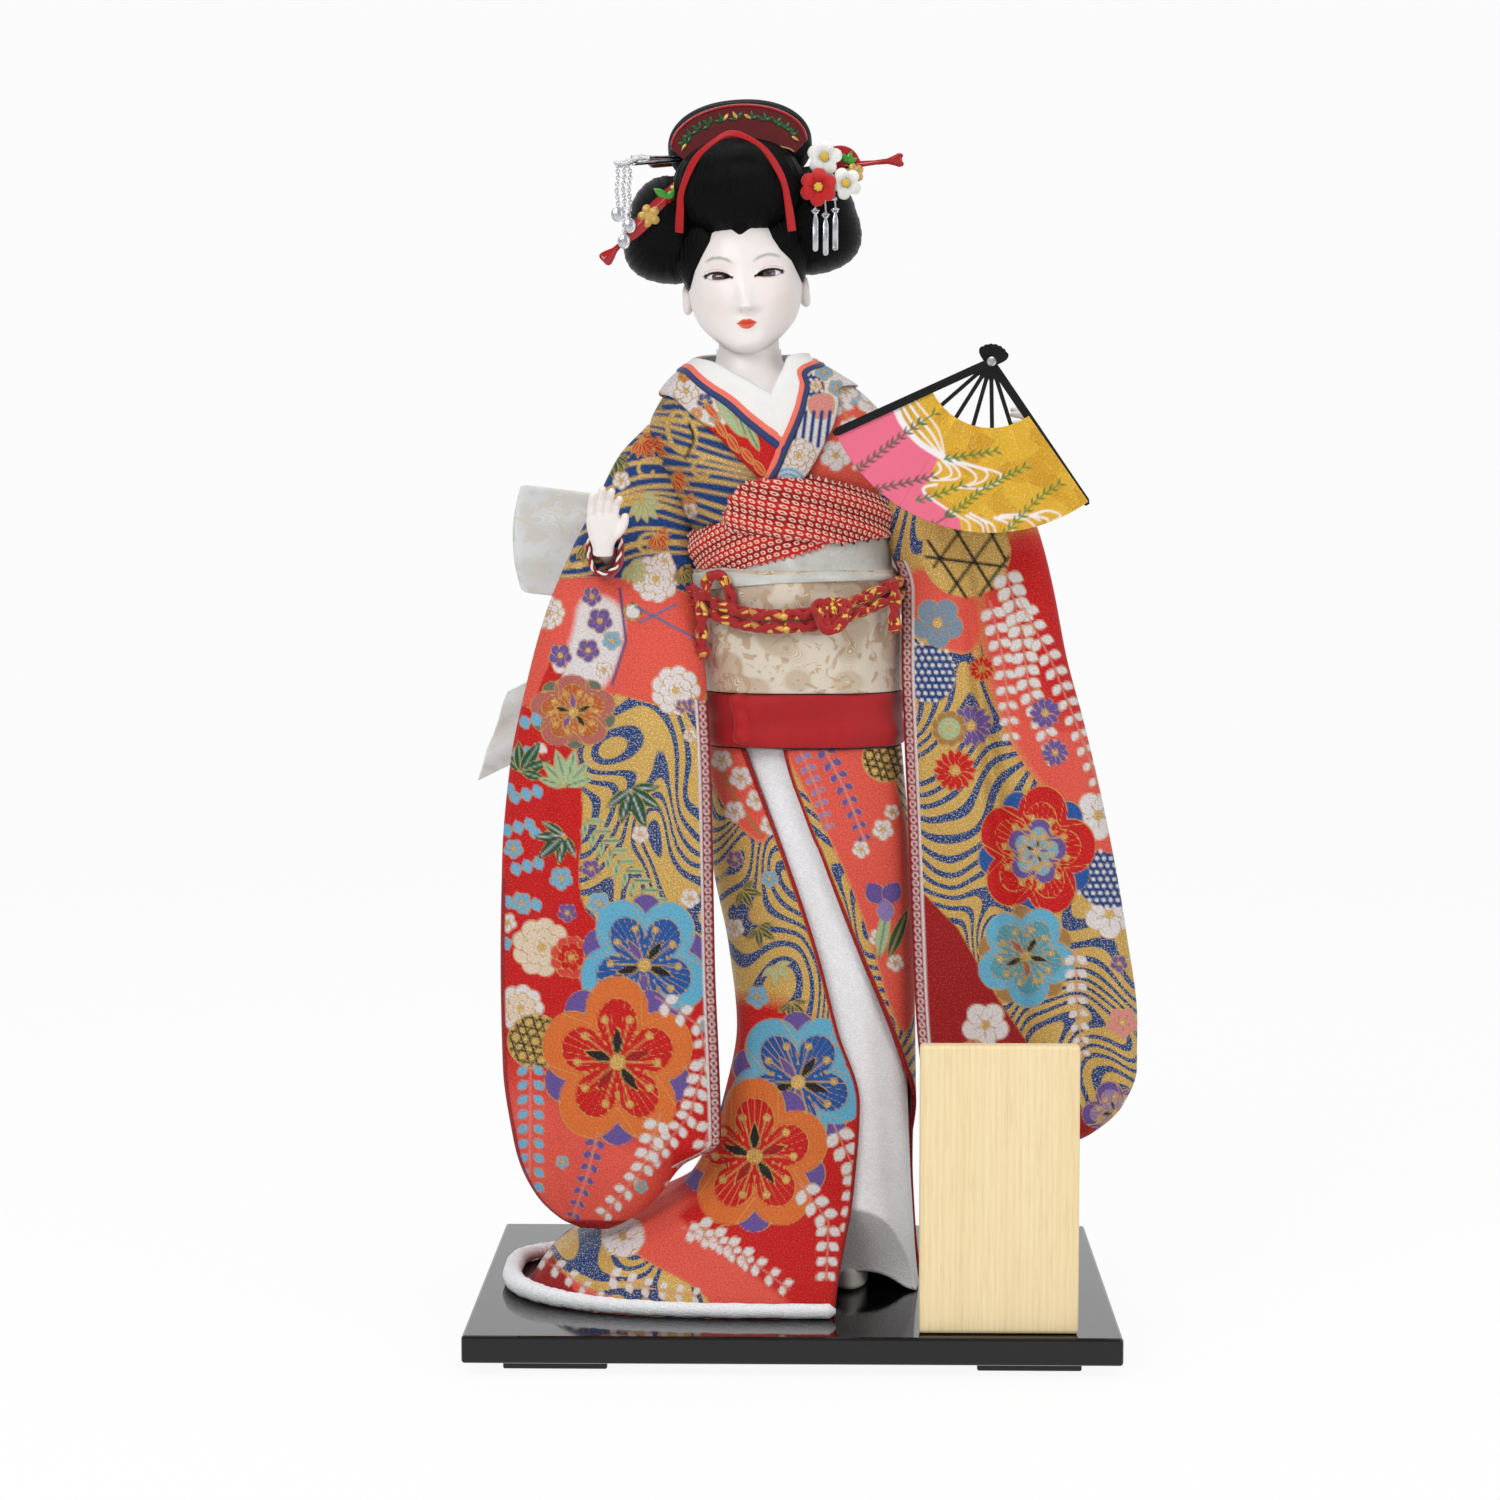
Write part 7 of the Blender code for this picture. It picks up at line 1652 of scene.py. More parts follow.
def build_skirt(values):
    rows, columns = 300, 330
    share = np.linspace(1, 0, rows)
    heights = BOARD_TOP + 0.0004 + (WAIST - 0.0003 - BOARD_TOP - 0.0004) * share
    stop, start = skirt_ends(heights)
    # the corner where the front edge turns to the back is rounded, so that the rows don't shear
    soft = np.ones(41) / 41
    stop = np.convolve(np.pad(stop, 20, mode="edge"), soft, "valid")
    sweep = np.mod(start - stop, 2 * math.pi)
    dense = np.linspace(0, 1, 1400)
    turns = stop[:, None] + sweep[:, None] * dense[None, :]
    ring = skirt_point(turns, heights[:, None])
    step = np.linalg.norm(np.diff(ring, axis=1), axis=-1)
    weight = np.where(ring[:, 1:, 1] < BODY_Y + 0.006, 1.0, 0.38)
    run = np.concatenate([np.zeros((rows, 1)), np.cumsum(step * weight, axis=1)], axis=1)
    picked = np.empty((rows, columns))
    for i in range(rows):
        picked[i] = np.interp(np.linspace(0, run[i, -1], columns), run[i], turns[i])
    fold = values.skirt_fold * skirt_fold(picked, share[:, None])
    grid = skirt_point(picked, heights[:, None], fold)
    grid[..., 2] = heights[:, None] - 0.0
    item = cloth("robe_skirt_cloth", grid, 0.0020, finish_of("silk"), finish_of("red_lining"), False)
    places = round_places(grid, SKIRT_X, 0.050)
    p = Print(*places, GOLD)
    print_skirt(p)
    index = np.arange(rows * columns)
    edge = np.concatenate([np.zeros((rows, 1)), np.cumsum(np.linalg.norm(np.diff(grid, axis=1), axis=-1),
        axis=1)], axis=1)
    from_right = edge / 0.00042
    from_left = (edge[:, -1:] - edge) / 0.00042
    near = np.minimum(from_right, from_left).reshape(-1)
    at = index[near < 8]
    p.lay(at, near[at] - 4.0, CRIMSON, edge=False)
    p.keep(item, places)
    settle(item, "figure", "robe_skirt")
    return item


def print_skirt(p):
    p.shape([(400, 700), (1000, 700), (1000, 1420), (400, 1420)], GOLD, edge=False, gold=0.8, wave=1.0)
    p.smooth([(560, 1040), (700, 1000), (900, 1120), (900, 1420), (400, 1420), (400, 1100)], CORAL,
        edge=False, soft=30)
    p.smooth([(664, 1223), (700, 1250), (740, 1275), (777, 1302), (801, 1324), (830, 1420), (960, 1420),
        (900, 1000), (840, 1120), (760, 1180)], SCARLET, edge=False, soft=8)
    p.smooth([(690, 1000), (800, 1000), (860, 1090), (840, 1180), (720, 1230), (650, 1180)], SCARLET,
        edge=False, soft=20)
    p.smooth([(775, 735), (900, 735), (925, 985), (905, 1060), (860, 900), (800, 780)], CORAL, edge=False,
        soft=6)
    p.smooth([(700, 735), (745, 735), (775, 830), (760, 850), (715, 800)], CORAL, edge=False, soft=8)
    p.shape([(480, 1180), (660, 1210), (720, 1262), (800, 1330), (780, 1420), (400, 1420), (420, 1200)],
        CORAL, edge=False, wave=0.0, soft=6)
    p.smooth([(500, 1222), (560, 1212), (640, 1270), (700, 1300), (720, 1330), (640, 1320), (560, 1290)],
        GOLD, edge=False, gold=0.7, wave=1.0, soft=3)
    p.smooth([(490, 1205), (526, 1214), (548, 1262), (578, 1314), (604, 1340), (540, 1352), (495, 1310)],
        CRIMSON, edge=False, soft=3)
    # the upper left panel
    p.stroke([(712, 740), (730, 790), (760, 835)], 3, TAN)
    for x, y, r in ((722, 760, 11), (741, 778, 12), (757, 800, 11), (770, 826, 10), (735, 812, 11)):
        p.blossom(x, y, r, WHITE)
    for x, y, t in ((742, 892, 0.6), (758, 930, 1.0), (775, 968, 1.1), (792, 1006, 1.2)):
        p.sprig(x, y, t, 24, 4, (LEAF, PALE_LEAF)[int(x) % 2], GOLD)
    for x, y, r, c in ((735, 860, 9, VIOLET), (770, 880, 9, SKY), (758, 1000, 12, SKY),
            (735, 930, 10, WHITE)):
        p.blossom(x, y, r, c)
    # the right panel
    p.raceme([(822, 742), (846, 790), (866, 842)], 8, 11, VIOLET, PINK)
    p.raceme([(800, 748), (818, 790), (830, 830)], 7, 9, ink(150, 130, 190), PINK)
    p.basket(887, 758, 24, 0.2)
    for x, y, r in ((862, 850, 9), (884, 830, 11), (893, 812, 8), (880, 940, 10), (897, 965, 9)):
        p.blossom(x, y, r, WHITE)
    p.leaf(880, 960, -1.4, 60, 13, PALE_LEAF, LEAF)
    p.leaf(890, 960, -1.2, 54, 12, LEAF, GOLD)
    p.petal(884, 905, -2.2, 26, 20, VIOLET, fat=1.0)
    p.petal(886, 905, -1.0, 26, 20, VIOLET, fat=1.0)
    p.petal(886, 900, 1.5, 24, 18, ink(150, 130, 190), fat=1.0)
    # the great plums
    p.plum(799, 1087, 70, 0.3, 1.05, TURQUOISE, ROYAL, VIOLET, VIOLET)
    p.plum(755, 1163, 76, -1.57, 1.05, ORANGE, SCARLET, CRIMSON, VIOLET)
    p.raceme([(835, 1130), (858, 1180), (852, 1240)], 7, 17)
    p.raceme([(800, 1190), (830, 1230), (828, 1290)], 7, 16)
    p.raceme([(690, 1230), (740, 1262), (790, 1300)], 7, 15)
    p.raceme([(870, 1010), (880, 1060), (876, 1110)], 6, 12, SKY)
    for x, y, r, c in ((700, 1050, 15, WHITE), (845, 1040, 14, SKY), (700, 1100, 10, VIOLET),
            (720, 1010, 16, SKY)):
        p.blossom(x, y, r, c)
    # the hem band
    p.disc(621, 1246, 22, WHITE)
    p.blossom(621, 1246, 22, WHITE, GOLD)
    p.disc(549, 1228, 16, GOLD, gold=1.0)
    p.disc(555, 1224, 13, CORAL)
    p.raceme([(600, 1285), (650, 1300), (700, 1308)], 6, 13)
    p.raceme([(530, 1262), (570, 1290), (600, 1312)], 5, 12)
    p.raceme([(680, 1236), (720, 1254), (752, 1276)], 5, 12)
    for x, y in ((776, 1325), (790, 1327), (804, 1326), (818, 1322), (640, 1322), (660, 1324)):
        p.blossom(x, y, 4.5, GOLD)
    for x, y, r, c in ((600, 1130, 20, WHITE), (560, 1160, 16, SKY), (520, 1190, 16, WHITE),
            (640, 1150, 14, VIOLET)):
        p.blossom(x, y, r, c)


def under_point(turn, height, inset):
    """The white under-skirt: inside the outer one, and drawn back at the front lower right."""
    point = skirt_point(turn, height, inset)
    low = np.maximum(0.0, 1 - skirt_share(height) / 0.42)
    low = low * low * (3 - 2 * low)
    x = point[..., 0] - SKIRT_X
    y = point[..., 1] - BODY_Y
    x = np.where(x < 0, np.maximum(x, -(TRAIN[0] + (0.060 - TRAIN[0]) * low)), x)
    y = np.where(y < 0, np.maximum(y, -(TRAIN[1] + (TRAIN[1] - 0.046 - TRAIN[1]) * low)), y)
    return stack(SKIRT_X + x, BODY_Y + y, point[..., 2])


def build_under_skirt(values):
    turns = np.linspace(0, 2 * math.pi, 280, endpoint=False)[None, :]
    share = np.linspace(1, 0, 200)[:, None]
    foot = BOARD_TOP + 0.0004 + 0.0085 * bell(turns, math.radians(290), 0.5)
    height = foot + (WAIST - 0.0003 - foot) * share
    fine = 0.0012 * (0.5 + 0.5 * np.sin(9 * turns + 4 * share))
    fold = fine + 0.0010 * np.abs(np.sin(3 * turns + 2 * share))
    # the train slopes so far out at the back that the inner cloth keeps further in there
    clear = 0.0036 * bell(turns, math.radians(135), 0.8) * (1 - ease(share, 0.25, 0.45))
    grid = under_point(turns, height, 0.0030 + fold + clear)
    item = cloth("white_under_skirt", grid, 0.0014, finish_of("crepe"), None, True)
    settle(item, "figure", "under_skirt")
    return item


def build_hem(values):
    """The padded white roll along the outer skirt's lower edge, fullest at the train's outer corner."""
    height = BOARD_TOP + 0.0004
    stop, start = (float(end) for end in skirt_ends(np.array(height)))
    sweep = (start - stop) % (2 * math.pi)
    turn = stop + sweep * np.linspace(0.28, 1.0, 460)
    side = bell(np.mod(turn, 2 * math.pi), math.radians(196), 0.55)
    radius = 0.0030 + 0.0012 * side
    points = skirt_point(turn, np.full(turn.shape, height), -(radius + 0.0002))
    points[..., 2] = BOARD_TOP + radius + 0.0003
    wobble = 1 + 0.035 * np.sin(np.arange(460) * 0.31) + 0.03 * np.sin(np.arange(460) * 0.83 + 1)
    fine = np.minimum(1.0, np.minimum(np.arange(460), np.arange(459, -1, -1)) / 6 + 0.35)
    item = tube("hem_roll_crepe", points, radius * wobble * fine, finish_of("crepe"), 22)
    settle(item, "figure", "hem_roll")
    return item


def build_legs(values):
    made = []
    for name, x, y in (("leg_fan", 0.024, 0.004), ("leg_free", -0.008, 0.014)):
        base = BOARD_TOP + 0.0003
        rows = ((0.00, 0.86, 0.90), (0.04, 0.97, 0.98), (0.10, 1.00, 1.00), (0.32, 1.00, 1.00),
            (0.60, 0.86, 0.82), (0.85, 0.78, 0.52), (1.00, 0.80, 0.36))
        share = np.linspace(0, 1, 44)
        width, length = row_at(rows, share)
        heel = y + 0.044 * 0.28
        front = heel - 0.044 * length
        front = np.where(share > 0.35, np.minimum(front, heel - 0.018), front)
        turns = np.linspace(0, 2 * math.pi, 56, endpoint=False)[None, :]
        cx, cy = rounded(turns, 2.3)
        middle, half = ((heel + front) / 2)[:, None], ((heel - front) / 2)[:, None]
        point = np.clip(-cy, 0, 1) ** 3
        grid = stack(x + 0.0085 * width[:, None] * cx * (1 - 0.25 * point), middle + half * cy,
                     (base + 0.024 * share)[:, None] - 0.0035 * point * (share[:, None] ** 2) * 0)
        top = base + 0.085
        extra = []
        for share_up in np.linspace(0.30, 1.0, 8):
            height = base + 0.024 + (top - base - 0.024) * share_up
            extra.append(stack(x + 0.009 * np.cos(turns[0]), y + 0.009 * np.sin(turns[0]),
                np.full(56, height)))
        item = mirror_fix(solid(f"white_sock_{name[4:]}", np.concatenate([grid, np.array(extra)]),
            finish_of("socks")))
        settle(item, "figure", name)
        made.append(item)
    return made


# ---------------------------------------------------------------- cuffs
ELBOWS = {-1: Vector((-0.076, 0.004, 0.324)), 1: Vector((0.086, 0.002, 0.333))}
WRISTS = {-1: Vector((-0.080, -0.036, 0.337)), 1: Vector((0.1022, -0.0414, 0.376))}


def build_cuffs(values):
    made = []
    for side, word in ((-1, "free"), (1, "fan")):
        start, end = ELBOWS[side], WRISTS[side]
        along = (end - start).normalized()
        across = along.cross(Vector((0, 0, 1))).normalized()
        up = across.cross(along).normalized()
        turns = np.linspace(0, 2 * math.pi, 72, endpoint=False)
        rings = []
        for share in np.linspace(0, 1, 26):
            middle = np.array(end + along * (0.020 * (share - 1.25)))
            radius = 0.011 * (0.60 + 0.40 * share) * (1 + 0.03 * np.sin(5 * turns + 7 * share))
            rings.append(middle + np.outer(radius * 0.62 * np.cos(turns), np.array(across))
                         + np.outer(radius * np.sin(turns), np.array(up)))
        grid = np.array(rings)[::-1]
        lining = cloth(f"red_inner_sleeve_{word}", grid, 0.0012, finish_of("scarlet_silk"),
            finish_of("red_lining"), True, 1)
        mirror_fix(lining)
        mouth = grid[0]
        loop = np.vstack([mouth, mouth[:1]]) + np.array(along) * 0.0004
        edge = braid_edge(f"cuff_edge_{word}", loop)
        item = join(f"red_inner_sleeve_{word}", [lining, *edge])
        settle(item, "figure", f"inner_cuff_{word}")
        made.append(item)
    return made


def braid_edge(name, loop, radius=0.0010):
    """A red and a white cord twisted together along a cloth's edge."""
    loop = np.asarray(loop, float)
    line = path_points(loop, 260)
    length = np.concatenate([[0], np.cumsum(np.linalg.norm(np.diff(line, axis=0), axis=1))])
    across, up = frames_along(line)
    pieces = []
    for i, finish in enumerate(("red_lining", "white_silk")):
        spin = (length / 0.0009 + i * math.pi)[:, None]
        strand = line + across * np.cos(spin) * radius * 0.5 + up * np.sin(spin) * radius * 0.5
        pieces.append(mirror_fix(solid(f"{name}_{i}", tube_grid(strand, radius * 0.55, 7),
            finish_of(finish))))
    return pieces


# ---------------------------------------------------------------- head
# x, z of the middle, height, widths in x, z up and z down; millimetres in the head's own frame
FACE_RELIEF = (
    (0.0, -8.7, 3.6, 3.9, 9.6, 2.3), (0.0, -8.6, 1.2, 5.4, 2.1, 2.1), (-11.5, 6.2, -1.7, 5.6, 4.2, 4.2),
    (11.5, 6.2, -1.7, 5.6, 4.2, 4.2), (0.0, -14.2, 1.2, 4.2, 1.5, 1.2), (0.0, -16.7, 1.3, 3.6, 1.1, 1.5),
    (0.0, -15.7, -0.5, 3.4, 0.5, 0.5), (0.0, -24.0, 1.3, 6.4, 3.0, 3.0), (-12.7, -6.2, 1.0, 6.9, 6.8, 6.8),
    (12.7, -6.2, 1.0, 6.9, 6.8, 6.8), (0.0, -11.6, -0.5, 1.3, 1.4, 1.4), (-2.4, -9.2, 0.6, 1.3, 1.5, 1.2),
    (2.4, -9.2, 0.6, 1.3, 1.5, 1.2),
)


def face_relief(x, z):
    total = 0.0
    for centre_x, centre_z, height, wide, up, down in FACE_RELIEF:
        dx = (x / MM - centre_x) / wide
        dz = z / MM - centre_z
        dz = dz / np.where(dz > 0, up, down)
        total = total + height * np.exp(-dx * dx - dz * dz)
    return total * MM


def head_point(turn, share, grow=0.0):
    """Points of the head in its own frame. A turn of 270 degrees looks forward."""
    width, front, back = row_at(HEAD_ROWS, share)
    z = share * np.where(share > 0, 0.0360, 0.0282)
    near, far = -front * 0.0250, back * 0.0300
    x, y = rounded(turn, 2.15)
    px = (width * 0.0245 + grow) * x
    py = (near + far) / 2 + ((far - near) / 2 + grow) * y
    py = py - np.where(y < 0, face_relief(px, z) * np.minimum(1.0, -y * 1.6), 0.0)
    return stack(px, py, z)


# one eye's lids as x from its middle and z, from the inner corner to the outer, in millimetres
UPPER_LID = ((-5.4, 4.0), (-4.0, 5.1), (-2.0, 5.9), (0.0, 6.2), (2.2, 6.1), (4.0, 5.7), (5.4, 5.0))
LOWER_LID = ((-5.4, 3.9), (-4.0, 3.6), (-2.0, 3.4), (0.0, 3.4), (2.2, 3.6), (4.0, 4.0), (5.4, 4.9))
BROW = ((-6.5, 9.9), (-4.0, 11.4), (-1.0, 12.5), (2.0, 12.6), (4.8, 11.6))
HAIRLINE = ((-24.0, 3.0), (-23.4, 3.4), (-20.9, 10.2), (-17.2, 16.2), (-14.2, 21.0), (-12.6, 26.6),
    (-8.0, 27.4), (-3.0, 25.6), (-0.4, 23.4), (3.0, 25.6), (8.0, 27.2), (12.0, 26.4), (13.9, 20.6),
    (16.6, 16.0), (20.7, 11.9), (23.3, 5.7), (24.2, 3.4))


def line_at(points, x):
    points = np.array(points)
    return np.interp(x, points[:, 0], points[:, 1])


def face_paint(x, y, z):
    """The paint's colour and cover at points of the face, in millimetres, with painted shade in the lid
    creases and at the nostrils.
    """
    count = len(x)
    colour = np.tile(np.array(ink(236, 226, 220)[:3]), (count, 1))
    cover = np.zeros(count)

    def lay(amount, shade):
        amount = np.clip(amount, 0, 1)
        keep = cover * (1 - amount)
        total = keep + amount
        mixed = (colour * keep[:, None] + np.array(shade[:3]) * amount[:, None]) / np.maximum(total, 1e-6)[:,
            None]
        colour[:] = np.where(total[:, None] > 1e-6, mixed, colour)
        cover[:] = total

    front = (y < 2).astype(float)
    blush = 0.10 * bell(np.abs(x), 13.0, 6.0) * bell(z, -6.0, 6.5) + 0.10 * bell(np.abs(x), 9.5,
        6.5) * bell(z, 8.2, 2.4)
    lay(blush * front, ink(236, 150, 132))
    for side in (-1, 1):
        u = (x * side - 10.6)
        upper, lower = line_at(UPPER_LID, u), line_at(LOWER_LID, u)
        within = ((u > -6.2) & (u < 6.4)).astype(float) * front
        # painted shade: a soft brown band in the fold above the upper lid, where the lid's bulge falls back
        lid_crease_shade = bell(z, upper + 1.5 + 0.1 * u, 0.28) * within * ease(u, -5.5, -2.5)
        lay(0.34 * lid_crease_shade, ink(150, 104, 96))
        warm = bell(z, lower - 0.3, 0.5) * within
        lay(0.28 * warm, ink(196, 84, 74))
        flick = bell(z, 4.9 + 0.25 * (u - 5.2), 0.30) * ease(u, 4.4, 5.2) * (1 - ease(u, 6.4, 7.4)) * front
        lay(0.75 * flick, ink(200, 60, 56))
        thick = 0.26 + 0.07 * (u + 5)
        lash = ease(z - upper, -1.2, -0.3) * (1 - ease(z - upper, thick, thick + 0.30)) * within
        lay(lash, ink(20, 12, 12))
        under = (1 - ease(np.abs(z - lower + 0.05), 0.08, 0.30)) * within * ease(u, -4.6, -1.0)
        lay(0.55 * under, ink(70, 36, 34))
        ridge = line_at(BROW, u)
        strength = ease(u, -7.4, -4.0) * (1 - ease(u, 3.4, 6.4)) * front
        hairs = 0.78 + 0.22 * np.sin(7.5 * x * side + 3.2 * z)
        lay(0.66 * bell(z, ridge, 0.70) * strength * hairs, ink(58, 48, 48))
        # painted shade: darker spots where the nostrils open, which the mesh does not cut
        nostril_shade = bell(x * side, 1.9, 0.55) * bell(z, -10.3, 0.42) * front
        lay(0.40 * nostril_shade, ink(170, 96, 84))
    half = 4.1
    t = np.clip(np.abs(x) / half, 0, 1)
    upper = -15.55 + 1.95 * (1 - t**1.7) - 0.55 * bell(x, 0.0, 0.75)
    middle = -15.75 + 0.20 * t**2 + 0.12 * bell(x, 0.0, 0.6)
    lower = -15.75 - 2.35 * (1 - t**2.1)
    inside = ease(upper - z, -0.12, 0.18) * ease(z - lower, -0.12, 0.22) * (np.abs(x) < half) * front
    lay(inside, ink(222, 84, 58))
    lay(0.35 * inside * bell(z, lower + 0.75, 0.5), ink(240, 120, 90))
    lay(0.85 * bell(z, middle, 0.17) * (np.abs(x) < half + 0.3) * front, ink(150, 40, 32))
    hair = line_at(HAIRLINE, x)
    ragged = 0.6 * np.sin(3.1 * x) + 0.5 * np.sin(7.7 * x + 1) + 0.35 * np.sin(15.3 * x + 2)
    grown = ease(z - hair + ragged * 0.5, -1.6, 1.5)
    behind = ease(y, 3.0, 6.0) * ease(z, -8.0, -3.0)
    lay(np.maximum(grown, behind), ink(16, 15, 17))
    return np.column_stack([colour, cover])


def build_head(values):
    # the mesh is finest over the face, where the lids, lips and hairline are painted
    ends = (math.pi * np.array([0.0, 1.0, 1.27, 1.73, 2.0]))
    turns = np.concatenate([np.linspace(low, high, count, endpoint=False)
                            for low, high, count in zip(ends, ends[1:], (46, 30, 150, 30))])
    low, high = math.acos(0.674), math.acos(0.389)
    share = np.concatenate([-np.cos(np.linspace(0.032, low, 40, endpoint=False)),
        np.linspace(-0.674, 0.389, 200, endpoint=False), np.cos(np.linspace(high, 0.032, 60))])
    grid = head_point(turns[None, :], share[:, None])
    x, y, z = (grid[..., k] / MM for k in range(3))
    front = np.clip(-(y + 2) / 6, 0, 1)
    for side in (-1, 1):
        u = x * side - 10.6
        upper, lower = line_at(UPPER_LID, u), line_at(LOWER_LID, u)
        inside = np.minimum(upper - z, z - lower)
        within = (u > -5.6) & (u < 5.6)
        open_part = np.where(within, ease(inside, -0.10, 0.25), 0.0) * front
        y = y + open_part * 2.6
        lid = np.where((u > -6.2) & (u < 6.2), bell(z, upper + 0.55, 0.55), 0.0) * front
        y = y - 0.35 * lid
        pouch = np.where((u > -6.2) & (u < 6.2), bell(z, lower - 0.8, 0.8), 0.0) * front
        y = y - 0.14 * pouch
    grid = stack(x * MM, y * MM, z * MM)
    shell = mirror_fix(solid("face", grid, finish_of("skin")))
    paint = face_paint(grid[..., 0].reshape(-1) / MM, grid[..., 1].reshape(-1) / MM,
        grid[..., 2].reshape(-1) / MM)
    store(shell, "paint", paint, "FLOAT_COLOR")
    in_head(shell)
    pieces = [shell]
    rings = []
    for height, radius in ((-0.0085, 0.0126), (-0.0200, 0.0127), (-0.0265, 0.0131), (-0.0305, 0.0137),
            (-0.0340, 0.0144), (-0.0380, 0.0152), (-0.0440, 0.0168), (-0.0500, 0.0176), (-0.0540, 0.0150),
            (-0.0545, 0.0060)):
        turn = np.linspace(0, 2 * math.pi, 64, endpoint=False)
        rings.append(stack(-0.0195 + radius * np.cos(turn), BODY_Y + radius * 0.97 * np.sin(turn),
            np.full(64, 0.446 + height)))
    neck = mirror_fix(solid("neck", np.array(rings), finish_of("skin")))
    store(neck, "paint", np.zeros((len(neck.data.vertices), 4)), "FLOAT_COLOR")
    pieces.append(neck)
    for side in (-1, 1):
        v = np.linspace(0.04, math.pi - 0.04, 28)[:, None]
        u = np.linspace(0, 2 * math.pi, 40, endpoint=False)[None, :]
        ex, ey, ez = np.sin(v) * np.cos(u), np.sin(v) * np.sin(u), np.cos(v) + 0 * u
        bowl = 0.55 * np.exp(-((ey * 1.5) ** 2 + (ez * 1.3) ** 2) * 2.2) * (ex * side > 0)
        px = side * (0.0245 + 0.0010) + 0.0026 * ex * (1 - bowl) * (1.0 - 0.15 * ez)
        py = 0.0060 + 0.0040 * ey * (1 + 0.18 * ez)
        ear = mirror_fix(solid("ear", stack(px, py, -0.0028 + 0.0066 * ez), finish_of("skin")))
        store(ear, "paint", np.zeros((len(ear.data.vertices), 4)), "FLOAT_COLOR")
        pieces.append(in_head(ear))
    item = join("white_head", pieces)
    settle(item, "head", "head_shell")
    return [item, build_chest()]


def build_chest():
    """The white skin between the collars, which stays with the figure when the neck turns in it."""
    heights = np.linspace(0.3900, 0.4200, 46)[:, None]
    turns = np.linspace(0, 2 * math.pi, 120, endpoint=False)[None, :]
    wide = body_point(turns + 0 * heights, np.minimum(heights, NECK_TOP), -0.0012)
    slim = stack(-0.0195 + 0.0139 * np.cos(turns) + 0 * heights, BODY_Y + 0.0136 * np.sin(turns), heights)
    blend = ease(heights, 0.3985, 0.4190)[..., None] ** 0.7
    chest = mirror_fix(solid("white_chest", wide * (1 - blend) + slim * blend, finish_of("skin")))
    store(chest, "paint", np.zeros((len(chest.data.vertices), 4)), "FLOAT_COLOR")
    settle(chest, "figure")
    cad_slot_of("head_shell")
    return chest


def build_eyes(values):
    """Glass eyes set behind the lids: a pale ball with a brown iris."""
    made = []
    for side, word in ((-1, "free"), (1, "fan")):
        v = np.linspace(0.02, math.pi - 0.02, 40)[:, None]
        u = np.linspace(0, 2 * math.pi, 56, endpoint=False)[None, :]
        front = head_point(np.array(1.5 * math.pi + side * math.asin(0.0113 / 0.0245) * 0.92),
            np.array(0.0054 / 0.0360))
        middle = np.array((side * 0.0109, float(front[1]) + 0.0029, 0.0044))
        turn = side * math.radians(20)
        ex = 0.0057 * np.cos(v) + 0 * u
        ey, ez = 0.0031 * np.sin(v) * np.cos(u), 0.0026 * np.sin(v) * np.sin(u)
        px = middle[0] + ex * math.cos(turn) - ey * math.sin(turn)
        py = middle[1] + ex * math.sin(turn) + ey * math.cos(turn)
        pz = middle[2] + ez
        ball = mirror_fix(solid(f"glass_eye_{word}", stack(px, py, pz), finish_of("glass")))
        points = np.empty(len(ball.data.vertices) * 3)
        ball.data.vertices.foreach_get("co", points)
        points = points.reshape(-1, 3)
        away = np.hypot((points[:, 0] - side * 0.0106) / 1.30, points[:, 2] - 0.0047) / MM
        store(ball, "iris", away)
        in_head(ball)
        settle(ball, "head", f"eye_{word}")
        made.append(ball)
    return made


# ---------------------------------------------------------------- hair
# middle, half sizes, lean about Y, squareness, pole axis of the combing, in the head's own frame
HAIR = {
    "front_roll": ((0.0, -0.0065, 0.0420), (0.0282, 0.0215, 0.0212), 0.0, 2.2, "z"),
    "crown": ((0.0, 0.0120, 0.0240), (0.0290, 0.0300, 0.0310), 0.0, 2.1, "z"),
    "nape": ((0.0, 0.0300, 0.0000), (0.0200, 0.0150, 0.0210), 0.0, 2.1, "z"),
    "wing_free": ((-0.0312, 0.0060, 0.0262), (0.0188, 0.0200, 0.0242), 12.0, 2.35, "y"),
    "wing_fan": ((0.0312, 0.0060, 0.0262), (0.0188, 0.0200, 0.0242), -12.0, 2.35, "y"),
    "topknot": ((0.0015, 0.0110, 0.0615), (0.0310, 0.0175, 0.0195), 0.0, 2.3, "x"),
}


